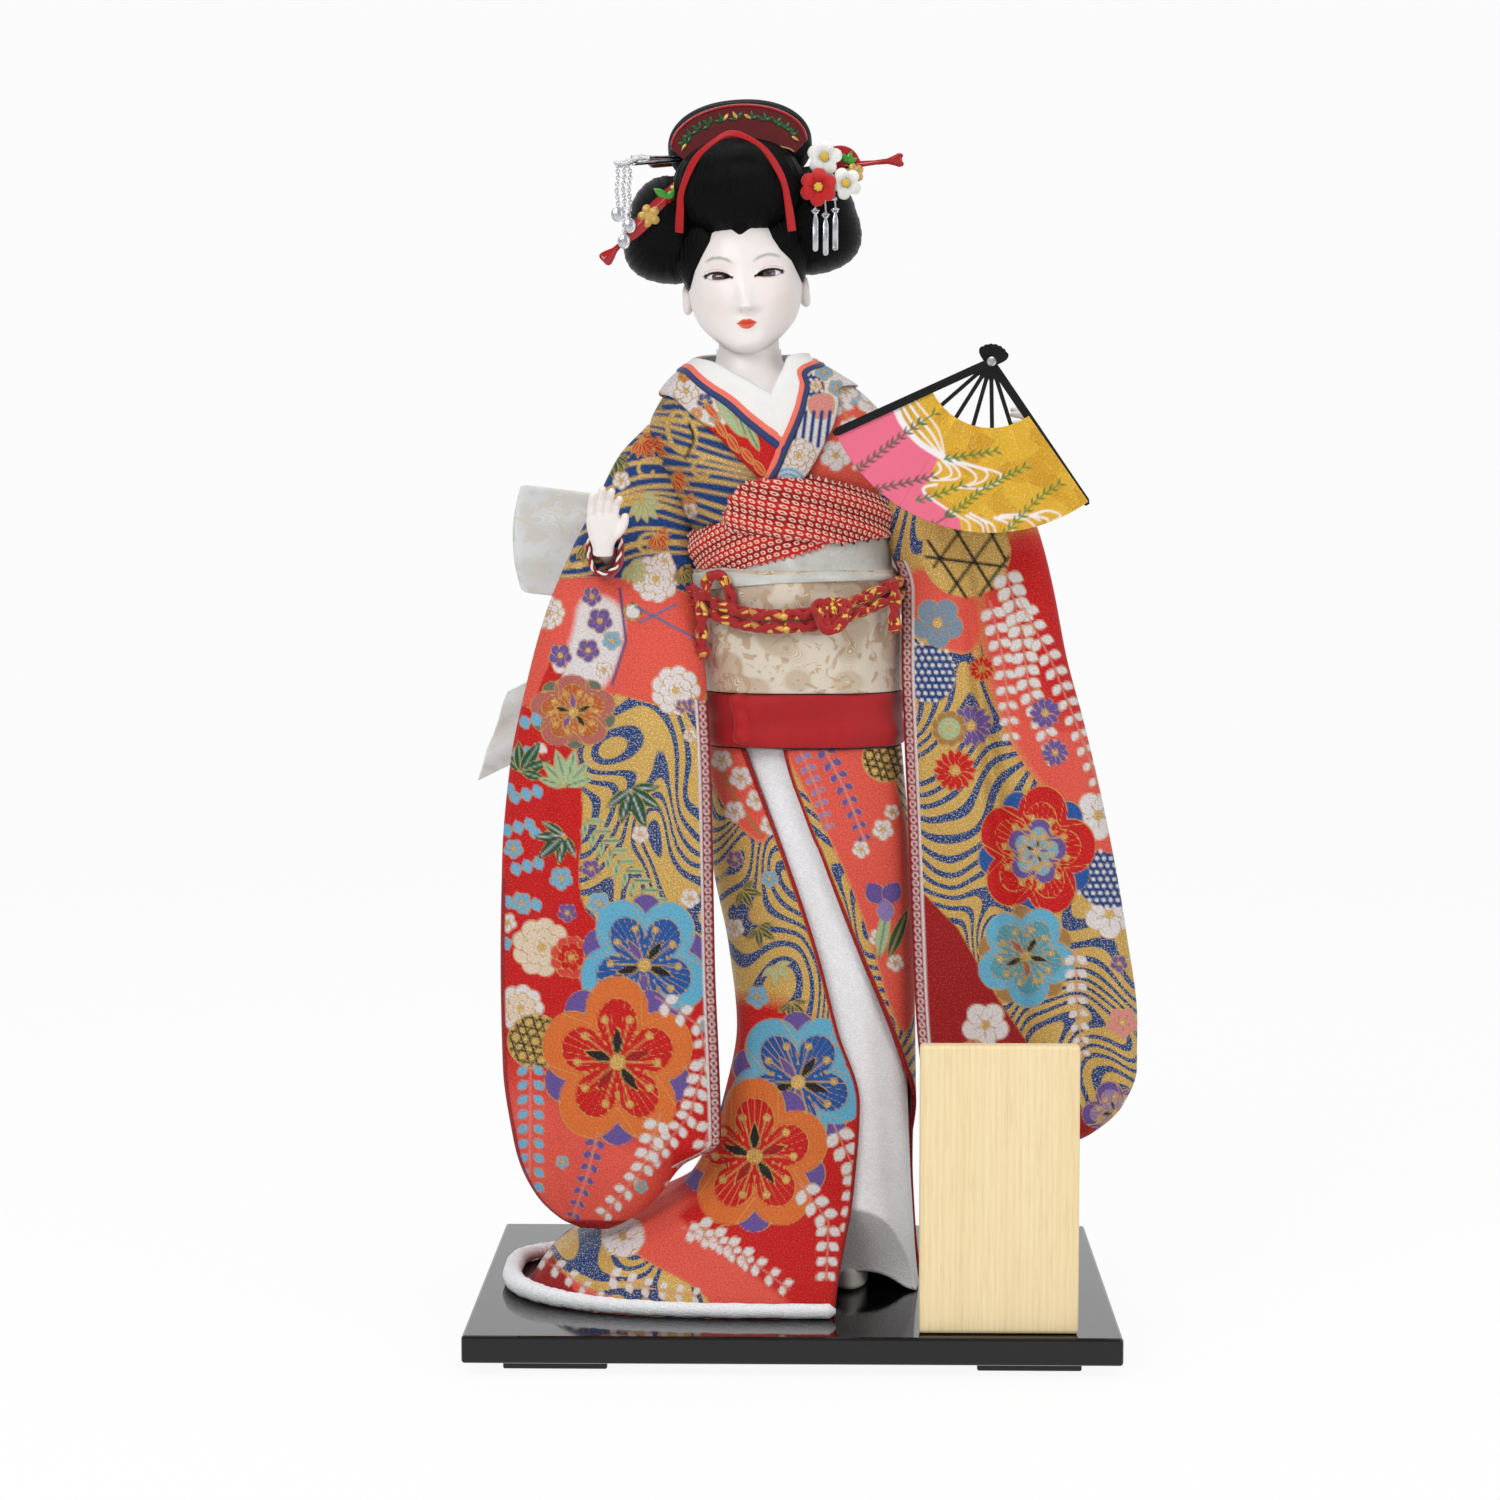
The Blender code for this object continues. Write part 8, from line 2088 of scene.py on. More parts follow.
def hair_mass(name, extra=None):
    """A combed mass: an ovoid whose strands run from pole to pole, with fine locks in its surface."""
    middle, sizes, lean, square, axis = HAIR[name]
    pole = np.linspace(0.012, math.pi - 0.012, 150)[:, None]
    turn = np.linspace(0, 2 * math.pi, 300, endpoint=False)[None, :]
    a, b = rounded(turn, square)
    s, c = np.sin(pole) ** (2 / 2.15), np.cos(pole)
    c = np.sign(c) * np.abs(c) ** (2 / 2.15)
    if axis == "z":
        ex, ey, ez = s * a, s * b, c + 0 * a
    elif axis == "x":
        ex, ey, ez = c + 0 * a, s * a, s * b
    else:
        ex, ey, ez = s * a, c + 0 * a, s * b
    wide_locks = np.sin(26 * turn + 1.3 * np.sin(3 * pole)) * 0.5
    locks = wide_locks + np.sin(61 * turn + 2) * 0.3 + np.sin(139 * turn + 1) * 0.2
    out = 1 + 0.010 * locks * np.sin(pole)
    x, y, z = sizes[0] * ex * out, sizes[1] * ey * out, sizes[2] * ez * out
    if extra:
        x, y, z = extra(x, y, z)
    tilt = math.radians(lean)
    grid = stack(middle[0] + x * math.cos(tilt) + z * math.sin(tilt), middle[1] + y,
                 middle[2] - x * math.sin(tilt) + z * math.cos(tilt))
    item = mirror_fix(solid(f"hair_{name}", grid, finish_of("hair")))
    comb = stack(turn + 0 * pole, pole + 0 * turn, 0 * pole * turn + len(name) * 0.1)
    store(item, "comb", comb.reshape(-1, 3), "FLOAT_VECTOR")
    return in_head(item)


def hair_front(x, z):
    """How far forward the hair reaches, in the head's own frame."""
    front = -0.0075 - 0.0215 * np.sqrt(np.maximum(0.0, 1 - (x / 0.0285) ** 2))
    for name in ("front_roll", "wing_free", "wing_fan", "topknot"):
        middle, sizes, *_ = HAIR[name]
        out = np.abs((x - middle[0]) / sizes[0]) ** 2.15 + np.abs((z - middle[2]) / sizes[2]) ** 2.15
        front = np.minimum(front, middle[1] - sizes[1] * np.maximum(0.0, 1 - out) ** (1 / 2.15))
    return front


def hair_cap():
    """Hair combed up from the hairline, thin at its edge and full where it meets the front roll."""
    turns = np.linspace(math.pi * 0.93, math.pi * 2.07, 300)[None, :]
    share = np.linspace(-0.02, 0.985, 150)[:, None]
    base = head_point(turns + 0 * share, share + 0 * turns)
    x, z = base[..., 0] / MM, base[..., 2] / MM
    above = z - line_at(HAIRLINE, x)
    grow = 0.0062 * ease(above, -0.5, 13.0) ** 0.8 - 0.0016 * ease(-above, 0.0, 3.0) + 0.0002
    locks = 0.00022 * (np.sin(90 * turns) + 0.6 * np.sin(211 * turns + 1)) * ease(above, 1.0, 8.0)
    grid = head_point(turns + 0 * share, share + 0 * turns, grow + locks)
    grid[..., 1] -= 0.9 * grow * np.clip(-np.sin(turns), 0, 1)
    item = cloth("hair_cap", grid, 0.0012, finish_of("hair"))
    comb = stack(turns * 1.6 + 0 * share, share * 2 + 0 * turns, 0 * turns * share + 0.7)
    store(item, "comb", comb.reshape(-1, 3), "FLOAT_VECTOR")
    return in_head(item)


def build_hair(values):
    def wing(x, y, z):
        low = np.clip(-z / 0.0235, 0, 1)
        return x * (1 + 0.10 * low), y, z * (1 - 0.10 * low)

    def roll(x, y, z):
        return x, y - 0.0010 * np.clip(z / 0.02, 0, 1), z

    pieces = {
        "hair_crown": [hair_mass("crown"), hair_mass("nape")],
        "hair_front_roll": [hair_mass("front_roll", roll), hair_cap()],
        "hair_wing_free": [hair_mass("wing_free", wing)],
        "hair_wing_fan": [hair_mass("wing_fan", wing)],
        "hair_topknot": [hair_mass("topknot")],
    }
    made = []
    for node, parts in pieces.items():
        item = join(f"{node}_strands", parts) if len(parts) > 1 else parts[0]
        item.name = f"{node}_strands"
        settle(item, "head", node)
        made.append(item)
    return made


# ---------------------------------------------------------------- hair ornaments
def head_tube(name, points, radius, finish, sides=14, flat=1.0):
    return in_head(tube(name, points, radius, finish_of(finish), sides, flat))


def plate_piece(name, outline, place, along, across, thick, finish, dome=0.0, rings=6, body="head"):
    """A thin plate with rounded rims from an outline about its middle, which may be domed."""
    outline = np.array(outline, float)
    middle = outline.mean(axis=0)
    along, across = Vector(along).normalized(), Vector(across).normalized()
    out = along.cross(across)
    rows = []
    levels = [(0.02, 1.0), *[(k / rings, 1.0) for k in range(1, rings)], (1.0, 0.72), (1.0, -0.72)]
    levels += [(k / rings, -1.0) for k in range(rings - 1, 0, -1)] + [(0.02, -1.0)]
    for share, level in levels:
        flat = middle + (outline - middle) * (share if abs(level) == 1.0 else 1.0)
        rise = thick / 2 * level + dome * (1 - share**2)
        if share == rings - 1:
            rise = rise * 0.98
        rows.append([tuple(Vector(place) + along * float(px) + across * float(py) + out * float(rise)) for px,
            py in flat])
    item = mirror_fix(solid(name, np.array(rows), finish_of(finish)))
    return in_head(item) if body == "head" else item


FRONT = (0.0, -1.0, 0.0)
RIGHT = (1.0, 0.0, 0.0)
UP = (0.0, 0.0, 1.0)


def petal_outline(count, radius, depth=0.45, power=0.7, steps=20, start=math.pi / 2):
    turns = np.linspace(0, 2 * math.pi, count * steps, endpoint=False)
    reach = radius * (1 - depth + depth * np.abs(np.cos(count * (turns - start) / 2)) ** power)
    return np.column_stack([reach * np.cos(turns), reach * np.sin(turns)])


def leaf_outline(length, width, steps=18):
    t = np.linspace(0, 1, steps)
    half = width / 2 * np.sin(math.pi * t**0.8) ** 0.9
    upper = np.column_stack([t * length, half])
    lower = np.column_stack([t[-2:0:-1] * length, -half[-2:0:-1]])
    return np.vstack([upper, lower])


def turned_axes(turn, tilt=0.0):
    """Two axes in the plane that faces forward, turned by this much."""
    along = Vector((math.cos(turn), -math.sin(tilt), math.sin(turn))).normalized()
    across = Vector((-math.sin(turn), 0.0, math.cos(turn))).normalized()
    return along, across


def build_comb(values):
    """The half-moon comb with its red and gold rims and its green and gold sprigs."""
    half_width, rise, band = 0.0290, 0.0165, 0.0120
    turns = np.linspace(0, math.pi, 120)
    outer = np.column_stack([half_width * np.cos(turns), rise * np.sin(turns)])
    inner = np.column_stack([(half_width - band * 0.5) * np.cos(turns[::-1]),
                             (rise - band) * np.sin(turns[::-1]) - band * 0.5])
    rows = []
    for side, inset in ((-1, 0.10), (-1, 0.03), (-0.6, 0.0), (0.6, 0.0), (1, 0.03), (1, 0.10)):
        ring = np.vstack([outer + (inner[::-1] - outer) * inset, inner + (outer[::-1] - inner) * inset])
        rows.append(np.column_stack([0.0015 + ring[:, 0], np.full(len(ring), -0.0088 + 0.0014 * side),
            0.0605 + ring[:, 1]]))
    grid = np.array(rows)
    middle_strip = mirror_fix(solid("comb_plate", grid, finish_of("comb_lacquer")))
    pieces = [in_head(middle_strip)]
    y = -0.0088 - 0.0016
    rim = [(0.0015 + x * 0.985, y, 0.0605 + z * 0.975) for x, z in outer[::4]]
    pieces.append(head_tube("comb_rim", rim, 0.00060, "red_lacquer", 8))
    low = [(0.0015 + x, y, 0.0605 + z + 0.0006) for x, z in inner[::4]]
    pieces.append(head_tube("comb_low_rim", low, 0.0004, "gold_relief", 8))
    for i in range(11):
        turn = math.pi * (0.08 + 0.84 * i / 10)
        for k in range(3):
            place = np.array((0.0015 + (half_width - 0.006) * math.cos(turn), y,
                0.0605 + (rise - 0.0052) * math.sin(turn) - 0.001))
            lean = turn + (-0.9, 0.2, 1.2)[k] + 0.3 * (i % 2)
            along, across = turned_axes(lean)
            finish = "comb_green" if (i + k) % 6 else "gold_relief"
            pieces.append(plate_piece("comb_leaf", leaf_outline(0.0042, 0.0017), place, along, across, 0.0005,
                finish, 0.0003, 3))
    item = join("red_comb", pieces)
    settle(item, "head", "comb")
    return item


def strap(name, points, widths, thick, finish, facing):
    """A flat band along a path, whose broad side looks the given way."""
    points = np.asarray(points, float)
    ahead = np.gradient(points, axis=0)
    ahead /= np.linalg.norm(ahead, axis=1, keepdims=True)
    facing = np.asarray(facing, float)
    out = facing - ahead * np.sum(ahead * facing, axis=-1, keepdims=True)
    out /= np.linalg.norm(out, axis=1, keepdims=True)
    across = np.cross(ahead, out)
    turns = np.linspace(0, 2 * math.pi, 20, endpoint=False)
    x, y = rounded(turns, 3.0)
    grid = (points[:, None, :] + across[:, None, :]
        * (np.asarray(widths)[:, None, None] / 2 * x[None, :, None]) + out[:, None, :]
        * (thick / 2 * y[None, :, None]))
    return mirror_fix(solid(name, grid, finish_of(finish)))


def build_ribbon(values):
    line = path_points([(-0.0262, -0.0150, 0.0245), (-0.0252, -0.0145, 0.0330), (-0.0236, -0.0150, 0.0420),
        (-0.0170, -0.0172, 0.0540), (-0.0085, -0.0150, 0.0606), (-0.0015, -0.0105, 0.0634),
        (0.0060, -0.0150, 0.0608), (0.0128, -0.0185, 0.0552), (0.0188, -0.0205, 0.0440),
        (0.0206, -0.0200, 0.0340), (0.0216, -0.0175, 0.0215)], 150)
    line[:, 1] = np.minimum(line[:, 1], hair_front(line[:, 0], line[:, 2]) - 0.0006)
    t = np.linspace(-1, 1, 150)
    widths = 0.0023 + 0.0016 * np.abs(t) ** 1.5 + 0.0003 * np.cos(14 * t)
    facing = np.column_stack([0.55 * t, np.full(150, -1.0), 0.35 * (1 - t**2)])
    item = in_head(strap("red_hair_ribbon", line, widths, 0.0010, "red_ribbon", facing))
    settle(item, "head", "ribbon")
    return item


def build_bar(values):
    line = [(0.0015 + x, 0.0130, 0.0570) for x in np.linspace(-0.0400, 0.0400, 60)]
    t = np.abs(np.linspace(-1, 1, 60))
    radius = 0.0024 * np.sqrt(np.clip(1 - ((t - 0.94) / 0.065).clip(0, 0.97) ** 2, 0, 1)) * (0.86 + 0.14
        * t**2)
    item = head_tube("brown_hair_bar", line, radius, "shell", 24)
    settle(item, "head", "hair_bar")
    return item


def build_pins(values):
    """The red blade with its relief, the red paddle and the silver pin."""
    made = []
    root, tip = Vector((-0.0220, -0.0095, 0.0470)), Vector((-0.0587, -0.0170, 0.0150))
    along = (tip - root).normalized()
    across = Vector(FRONT).cross(along).normalized()
    out = along.cross(across)
    rows = ((0.0, 0.0052), (0.25, 0.0064), (0.50, 0.0068), (0.62, 0.0068), (0.80, 0.0060), (0.93, 0.0034),
        (1.0, 0.0022), (1.06, 0.0026), (1.15, 0.0052), (1.21, 0.0064), (1.245, 0.0052), (1.25, 0.0036))
    t = np.linspace(0, 1.25, 120)
    width = row_at(rows, t)[0]
    rings = []
    for share, wide in zip(t, width):
        middle = root + along * (0.040 * share)
        ring = []
        for turn in np.linspace(0, 2 * math.pi, 28, endpoint=False):
            x, y = math.cos(turn), math.sin(turn)
            ridge = 0.0009 * (1 - abs(x)) * (y > 0) * min(1.0, wide / 0.006)
            rise = 0.0006 * y * (1 - 0.5 * abs(x)) + ridge
            ring.append(tuple(middle + across * (wide / 2 * x) + out * rise))
        rings.append(ring)
    blade = in_head(mirror_fix(solid("blade", np.array(rings), finish_of("red_lacquer"))))
    pieces = [blade]
    for share, radius, count, finish in ((0.56, 0.0050, 5, "gold_relief"), (0.14, 0.0030, 6, "gold_relief")):
        place = root + along * (0.040 * share) + out * 0.0013
        pieces.append(plate_piece("blade_flower", petal_outline(count, radius, 0.36), place,
            *turned_axes(0.3), 0.0006, finish, 0.0003))
        if share > 0.3:
            for i in range(5):
                spin = math.pi / 2 + 2 * math.pi * i / 5 + 0.3
                spot = place + Vector((math.cos(spin) * 0.0029, -0.0004, math.sin(spin) * 0.0029))
                pieces.append(plate_piece("blade_petal", petal_outline(9, 0.0014, 0.2), spot,
                    *turned_axes(spin), 0.0004, finish, 0.0002, 3))
    for turn, length, place_share in ((2.5, 0.0072, 0.28), (0.7, 0.0060, 0.30)):
        place = root + along * (0.040 * place_share) + out * 0.0010
        pieces.append(plate_piece("blade_leaf", leaf_outline(length, 0.0034), place, *turned_axes(turn),
            0.0008, "green_enamel", 0.0004, 4))
    item = join("red_blade_pin", pieces)
    settle(item, "head", "pin_blade")
    made.append(item)

    place = Vector((0.0436, -0.0050, 0.0486))
    turns = np.linspace(0.30, 2 * math.pi - 0.30, 90)
    disc = np.column_stack([0.0088 * np.cos(turns), 0.0088 * np.sin(turns)])
    arm = 0.0273
    low = np.array([(0.0090, -0.0013), (0.0150, -0.0010), (arm - 0.0070, -0.0012), (arm - 0.0040, -0.0022),
        (arm - 0.0021, -0.0030), (arm - 0.0006, -0.0027), (arm, -0.0018), (arm - 0.0006, -0.0008)])
    outline = np.vstack([disc, low, (low * (1, -1))[::-1]])
    tilt = math.radians(2)
    ring = [(place.x + x * math.cos(tilt) - z * math.sin(tilt),
        z * math.cos(tilt) + x * math.sin(tilt) + place.z) for x, z in outline]
    rows = []
    for side, inset in ((1, 0.06), (0.6, 0.0), (-0.6, 0.0), (-1, 0.06)):
        rows.append([(x - (x - place.x) * inset * (abs(x - place.x) < 0.009), -0.0050 + 0.0009 * side,
                      z - (z - place.z) * inset) for x, z in ring])
    paddle = in_head(mirror_fix(solid("paddle", np.array(rows), finish_of("red_lacquer"))))
    pieces = [paddle]
    spot = place + Vector((0.0058, -0.0016, -0.0034))
    pieces.append(plate_piece("paddle_flower", petal_outline(5, 0.0044, 0.30), spot, *turned_axes(0.2),
        0.0010, "gold_relief", 0.0006))
    for turn, reach in ((1.1, 0.0056), (0.35, 0.0050), (1.9, 0.0046)):
        pieces.append(plate_piece("paddle_leaf", leaf_outline(reach, 0.0028),
            place + Vector((0.0030, -0.0014, 0.0010)), *turned_axes(turn), 0.0008, "green_enamel", 0.0004, 4))
    item = join("red_paddle_pin", pieces)
    settle(item, "head", "pin_paddle")
    made.append(item)

    tip, head = Vector((-0.0205, 0.0040, 0.0570)), Vector((-0.0440, -0.0170, 0.0560))
    pieces = []
    for shift in (-0.0012, 0.0012):
        line = [tuple(tip.lerp(head, t) + Vector((0, 0, shift * (0.4 + 0.8 * t))))
            for t in np.linspace(0, 1, 24)]
        pieces.append(head_tube("prong", line, 0.00075, "silver", 12))
    t = np.linspace(-1, 1, 90)
    rough = 0.0013 * np.sqrt(np.clip(1.03 - t**8, 0, 1)) * (1 + 0.22 * np.sin(t * 47) * np.cos(t * 31 + 1)
        + 0.10 * np.sin(t * 113))
    line = [tuple(head + Vector((0.0078 * s, -0.0002, 0.0010 * math.sin(3 * s)))) for s in t]
    pieces.append(head_tube("pin_head", line, rough, "silver", 9))
    item = join("silver_pin", pieces)
    settle(item, "head", "pin_silver")
    made.append(item)
    return made


def build_flowers(values):
    """The two white and the red ribbon flowers, each of petals round curled stamens."""
    made = []
    for name, radius, finish, place, petals, spin in (
        ("flower_white_high", 0.0073, "white_petals", (0.0372, -0.0150, 0.0520), 5, 0.1),
        ("flower_red", 0.0077, "red_petals", (0.0338, -0.0178, 0.0395), 6, 0.4),
        ("flower_white_low", 0.0066, "white_petals", (0.0455, -0.0150, 0.0405), 5, 0.7),
    ):
        middle = Vector(place)
        pieces = []
        for i in range(petals):
            turn = spin + 2 * math.pi * i / petals
            rows = []
            for t in np.linspace(0.0, 1.0, 22):
                half = radius * (0.08 + 0.33 * math.sin(min(1.0, t * 1.08) * math.pi * 0.72) ** 1.1) * (1.0
                    if t < 0.94 else 0.80)
                lift = -0.0016 * math.sin(math.pi * t * 0.9) + 0.0010 * t
                row = []
                for s in np.linspace(-1, 1, 23):
                    rib = 0.00036 * math.cos(7 * math.pi * s) * math.sin(math.pi * min(1, t * 1.2 + 0.05))
                    cup = -0.0007 * (1 - s * s) * math.sin(math.pi * t)
                    along = radius * t * (1 - 0.06 * s * s) + radius * 0.04
                    px = middle.x + along * math.cos(turn) - half * s * math.sin(turn)
                    pz = middle.z + along * math.sin(turn) + half * s * math.cos(turn)
                    row.append((px, middle.y + lift + rib + cup - 0.0003 * (i % 2), pz))
                rows.append(row)
            petal = cloth("petal", np.array(rows), 0.00045, finish_of(finish))
            pieces.append(in_head(mirror_fix(petal)))
        for i in range(14):
            turn = 2 * math.pi * i / 14 + 0.2
            reach = radius * (0.05 + 0.12 * (i % 2))
            base = middle + Vector((math.cos(turn) * reach, -0.0012, math.sin(turn) * reach))
            curl = [base + Vector((0, -0.0004 * k, 0))
                + Vector((math.cos(turn + k * 0.9), 0, math.sin(turn + k * 0.9))) * 0.0004 * k
                for k in range(5)]
            pieces.append(head_tube("stamen", path_points(curl, 18), 0.00042, "yellow_heart", 7))
        item = join(f"ribbon_{name}", pieces)
        settle(item, "head", name)
        made.append(item)
    return made


def build_hangings(values):
    """The three silver strips and the silver chains, each turning on its own pin."""
    made = []
    for i, place in enumerate(((0.0320, -0.0156, 0.0300), (0.0362, -0.0156, 0.0280),
            (0.0404, -0.0156, 0.0298))):
        pivot = HEAD_FRAME @ Vector(place)
        top, length = -0.00075, 0.0165
        rows = []
        for t in np.linspace(0, 1, 60):
            half = 0.0008 * (0.6 + 0.9 * ease(t, 0.0, 0.25)) * math.sqrt(
                max(0.05, 1 - max(0.0, (t - 0.93) / 0.07) ** 2))
            bend = 0.0003 * math.sin(7 * t + i)
            ring = []
            for turn in np.linspace(0, 2 * math.pi, 16, endpoint=False):
                x, y = rounded(np.array(turn), 3.0)
                ring.append((pivot.x + half * float(x), pivot.y + bend + 0.00028 * float(y),
                    pivot.z + top - length * t))
            rows.append(ring)
        strip = mirror_fix(solid(f"silver_strip_{i + 1}", np.array(rows), finish_of("silver")))
        turn = np.linspace(0, 2 * math.pi, 40)
        loop = np.column_stack([pivot.x + 0.0011 * np.cos(turn), np.full(40, pivot.y),
            pivot.z - 0.0004 + 0.0011 * np.sin(turn)])
        ring = tube("strip_ring", loop, 0.00028, finish_of("silver"), 10)
        item = join(f"silver_strip_{i + 1}", [strip, ring])
        settle(item, f"pendant_{i + 1}", f"pendant_strip_{i + 1}")
        made.append(item)

    pivot = HEAD_FRAME @ (Vector((-0.0440, -0.0170, 0.0560)) + Vector((-0.00385, 0, 0)))
    pieces = []
    top = -0.0009 * 1.2 - 0.0003 - 0.0007
    yoke = [(pivot.x + s * 0.0030, pivot.y, pivot.z + top) for s in np.linspace(-1, 1, 12)]
    pieces.append(tube("yoke", yoke, 0.0007, finish_of("silver"), 12))
    for i, share in enumerate((-0.8, 0.1, 0.9)):
        length = 0.030 * (0.62, 1.0, 0.78)[i]
        x = pivot.x + 0.0030 * share
        count = int(length / 0.00125)
        for k in range(count):
            middle = pivot.z + top - 0.0009 - k * (length - 0.0012) / (count - 1)
            turn = np.linspace(0, 2 * math.pi, 22)
            wide, deep = (0.00075, 0.0) if k % 2 else (0.0, 0.00075)
            link = np.column_stack([x + wide * np.cos(turn) + 0.0003 * math.sin(k * 0.7),
                np.full(22, pivot.y) + deep * np.cos(turn), middle + 0.00105 * np.sin(turn)])
            pieces.append(tube("link", link, 0.00022, finish_of("silver"), 6))
        turns = np.linspace(0, 2 * math.pi, 48, endpoint=False)
        place = Vector((x, pivot.y, pivot.z + top - length - 0.0026 * 0.6))
        disc = np.column_stack([0.0024 * np.cos(turns), 0.0030 * np.sin(turns)])
        pieces.append(plate_piece("chain_disc", disc, place, RIGHT, UP, 0.0008, "silver", 0.0005, 5,
            "tassel"))
        rim = np.column_stack([place.x + 0.0024 * np.cos(turns), np.full(48, place.y - 0.0003),
            place.z + 0.0030 * np.sin(turns)])
        pieces.append(tube("disc_rim", np.vstack([rim, rim[:1]]), 0.00028, finish_of("silver"), 8))
    item = join("silver_chains", pieces)
    settle(item, "tassel", "chain_tassel")
    made.append(item)
    return made


# ---------------------------------------------------------------- hands
def remeshed(item, size, rounds=3):
    """One smooth skin over overlapping closed pieces."""
    change = item.modifiers.new("remesh", "REMESH")
    change.mode = "VOXEL"
    change.voxel_size = size
    soft = item.modifiers.new("smooth", "SMOOTH")
    soft.factor = 0.5
    soft.iterations = rounds
    made = bpy.data.meshes.new_from_object(item.evaluated_get(bpy.context.evaluated_depsgraph_get()))
    item.modifiers.clear()
    old = item.data
    item.data = made
    bpy.data.meshes.remove(old)
    item.data.shade_smooth()
    return item


def hand_axes(forward, palm_out):
    along = Vector(forward).normalized()
    across = along.cross(Vector(palm_out)).normalized()
    return across, along, across.cross(along).normalized()


def finger(name, frame, base, angle, bends, lengths, radius, ends=1.0):
    """A finger as a tube through its joints, round at the tip."""
    points = [Vector(base)]
    heading = 0.0
    for bend, length in zip(bends, lengths):
        heading += bend
        points.append(points[-1] + Vector((math.sin(angle) * math.cos(heading),
            math.cos(angle) * math.cos(heading), math.sin(heading))) * length)
    line = path_points([frame @ point for point in points], 46)
    t = np.linspace(0, 1, 46)
    shape = radius * (1.0 - 0.24 * t + 0.05 * np.cos(2 * math.pi * t * 2.6))
    shape = shape * np.sqrt(np.clip(1 - np.clip((t - 0.90) / 0.105, 0, 1) ** 2, 0.01, 1)) * ends
    return tube(name, line, shape, finish_of("skin"), 18)


def make_hand(name, wrist, forward, palm_out, fingers, thumb, palm, elbow):
    """A hand: palm, four fingers and a thumb under one skin, with the arm that goes into its sleeve."""
    across, along, out = hand_axes(forward, palm_out)
    frame = Matrix((across, along, out)).transposed().to_4x4()
    frame.translation = Vector(wrist)
    half_width, half_thick, length = palm
    turns = np.linspace(0, 2 * math.pi, 36, endpoint=False)
    rings = []
    for share, wide, thick, shift in ((-0.30, 0.56, 1.04, 0.0), (-0.10, 0.57, 1.02, 0.0),
            (0.0, 0.62, 1.05, 0.0), (0.25, 0.82, 1.08, 0.02), (0.60, 1.0, 1.0, 0.04), (0.88, 0.99, 0.86, 0.0),
            (1.0, 0.92, 0.72, 0.0), (1.06, 0.70, 0.4, 0.0)):
        x, z = rounded(turns, 2.5)
        ring = [tuple(frame @ Vector((half_width * (wide * float(a) + shift), length * share,
            half_thick * thick * float(b)))) for a, b in zip(x, z)]
        rings.append(ring)
    pieces = [mirror_fix(solid("palm", np.array(rings), finish_of("skin")))]
    for place, angle, bends, lengths, radius in fingers:
        pieces.append(finger("finger", frame, place, angle, bends, lengths, radius))
    place, line, radius = thumb
    points = [frame @ Vector(point) for point in line]
    path = path_points(points, 40)
    t = np.linspace(0, 1, 40)
    shape = radius * (1.10 - 0.35 * t) * np.sqrt(np.clip(1 - np.clip((t - 0.88) / 0.125, 0, 1) ** 2, 0.01, 1))
    pieces.append(tube("thumb", path, shape, finish_of("skin"), 18))
    arm = path_points([Vector(elbow), Vector(wrist).lerp(Vector(elbow), 0.35), Vector(wrist) + along * 0.002],
        40)
    t = np.linspace(0, 1, 40)
    pieces.append(tube("arm", arm, 0.0055 + (0.0037 - 0.0055) * t**0.7, finish_of("skin"), 22))
    item = remeshed(join(name, pieces), 0.00042, 5)
    store(item, "paint", np.zeros((len(item.data.vertices), 4)), "FLOAT_COLOR")
    settle(item, "figure", name)
    return item


def build_hands(values):
    free = make_hand("hand_free", WRISTS[-1], (0.03, -0.22, 0.97), (0.35, -0.93, 0.0),
        (((-0.0052, 0.0116, 0.0), -0.03, (0.10, 0.16, 0.24), (0.0056, 0.0040, 0.0030), 0.00195),
        ((-0.0018, 0.0126, 0.0), 0.02, (0.12, 0.20, 0.28), (0.0066, 0.0046, 0.0034), 0.00205),
        ((0.0016, 0.0124, 0.0), 0.06, (0.16, 0.26, 0.34), (0.0064, 0.0044, 0.0034), 0.00200),
        ((0.0046, 0.0112, 0.0), 0.12, (0.20, 0.32, 0.40), (0.0054, 0.0038, 0.0030), 0.00180),),
        ((0, 0, 0), ((0.0030, 0.0030, 0.0008), (0.0062, 0.0062, 0.0022), (0.0082, 0.0098, 0.0030),
        (0.0088, 0.0142, 0.0030)), 0.0021), (0.0074, 0.0036, 0.0135), ELBOWS[-1],)
    fan = make_hand("hand_fan", WRISTS[1], (-0.20, -0.62, 0.72), (-0.9, -0.1, -0.3),
        (((-0.0055, 0.0118, 0.0), -0.05, (0.30, 0.36, 0.36), (0.0058, 0.0040, 0.0032), 0.00165),
        ((-0.0018, 0.0124, 0.0), -0.02, (0.34, 0.42, 0.40), (0.0064, 0.0044, 0.0034), 0.00170),
        ((0.0018, 0.0120, 0.0), 0.02, (0.40, 0.50, 0.46), (0.0062, 0.0044, 0.0032), 0.00168),
        ((0.0054, 0.0110, 0.0), 0.05, (0.48, 0.58, 0.50), (0.0052, 0.0038, 0.0028), 0.00155),),
        ((0, 0, 0), ((-0.0030, 0.0034, 0.0006), (-0.0062, 0.0062, 0.0030), (-0.0072, 0.0100, 0.0060),
        (-0.0062, 0.0140, 0.0078)), 0.0020), (0.0070, 0.0036, 0.0135), ELBOWS[1],)
    return [free, fan]


# ---------------------------------------------------------------- fan
FAN_STEPS = 6
GUARD_THICK, RIB_THICK, PAPER_THICK, SLAT_PITCH, GAP = 0.0008, 0.0005, 0.0004, 0.0009, 0.0003


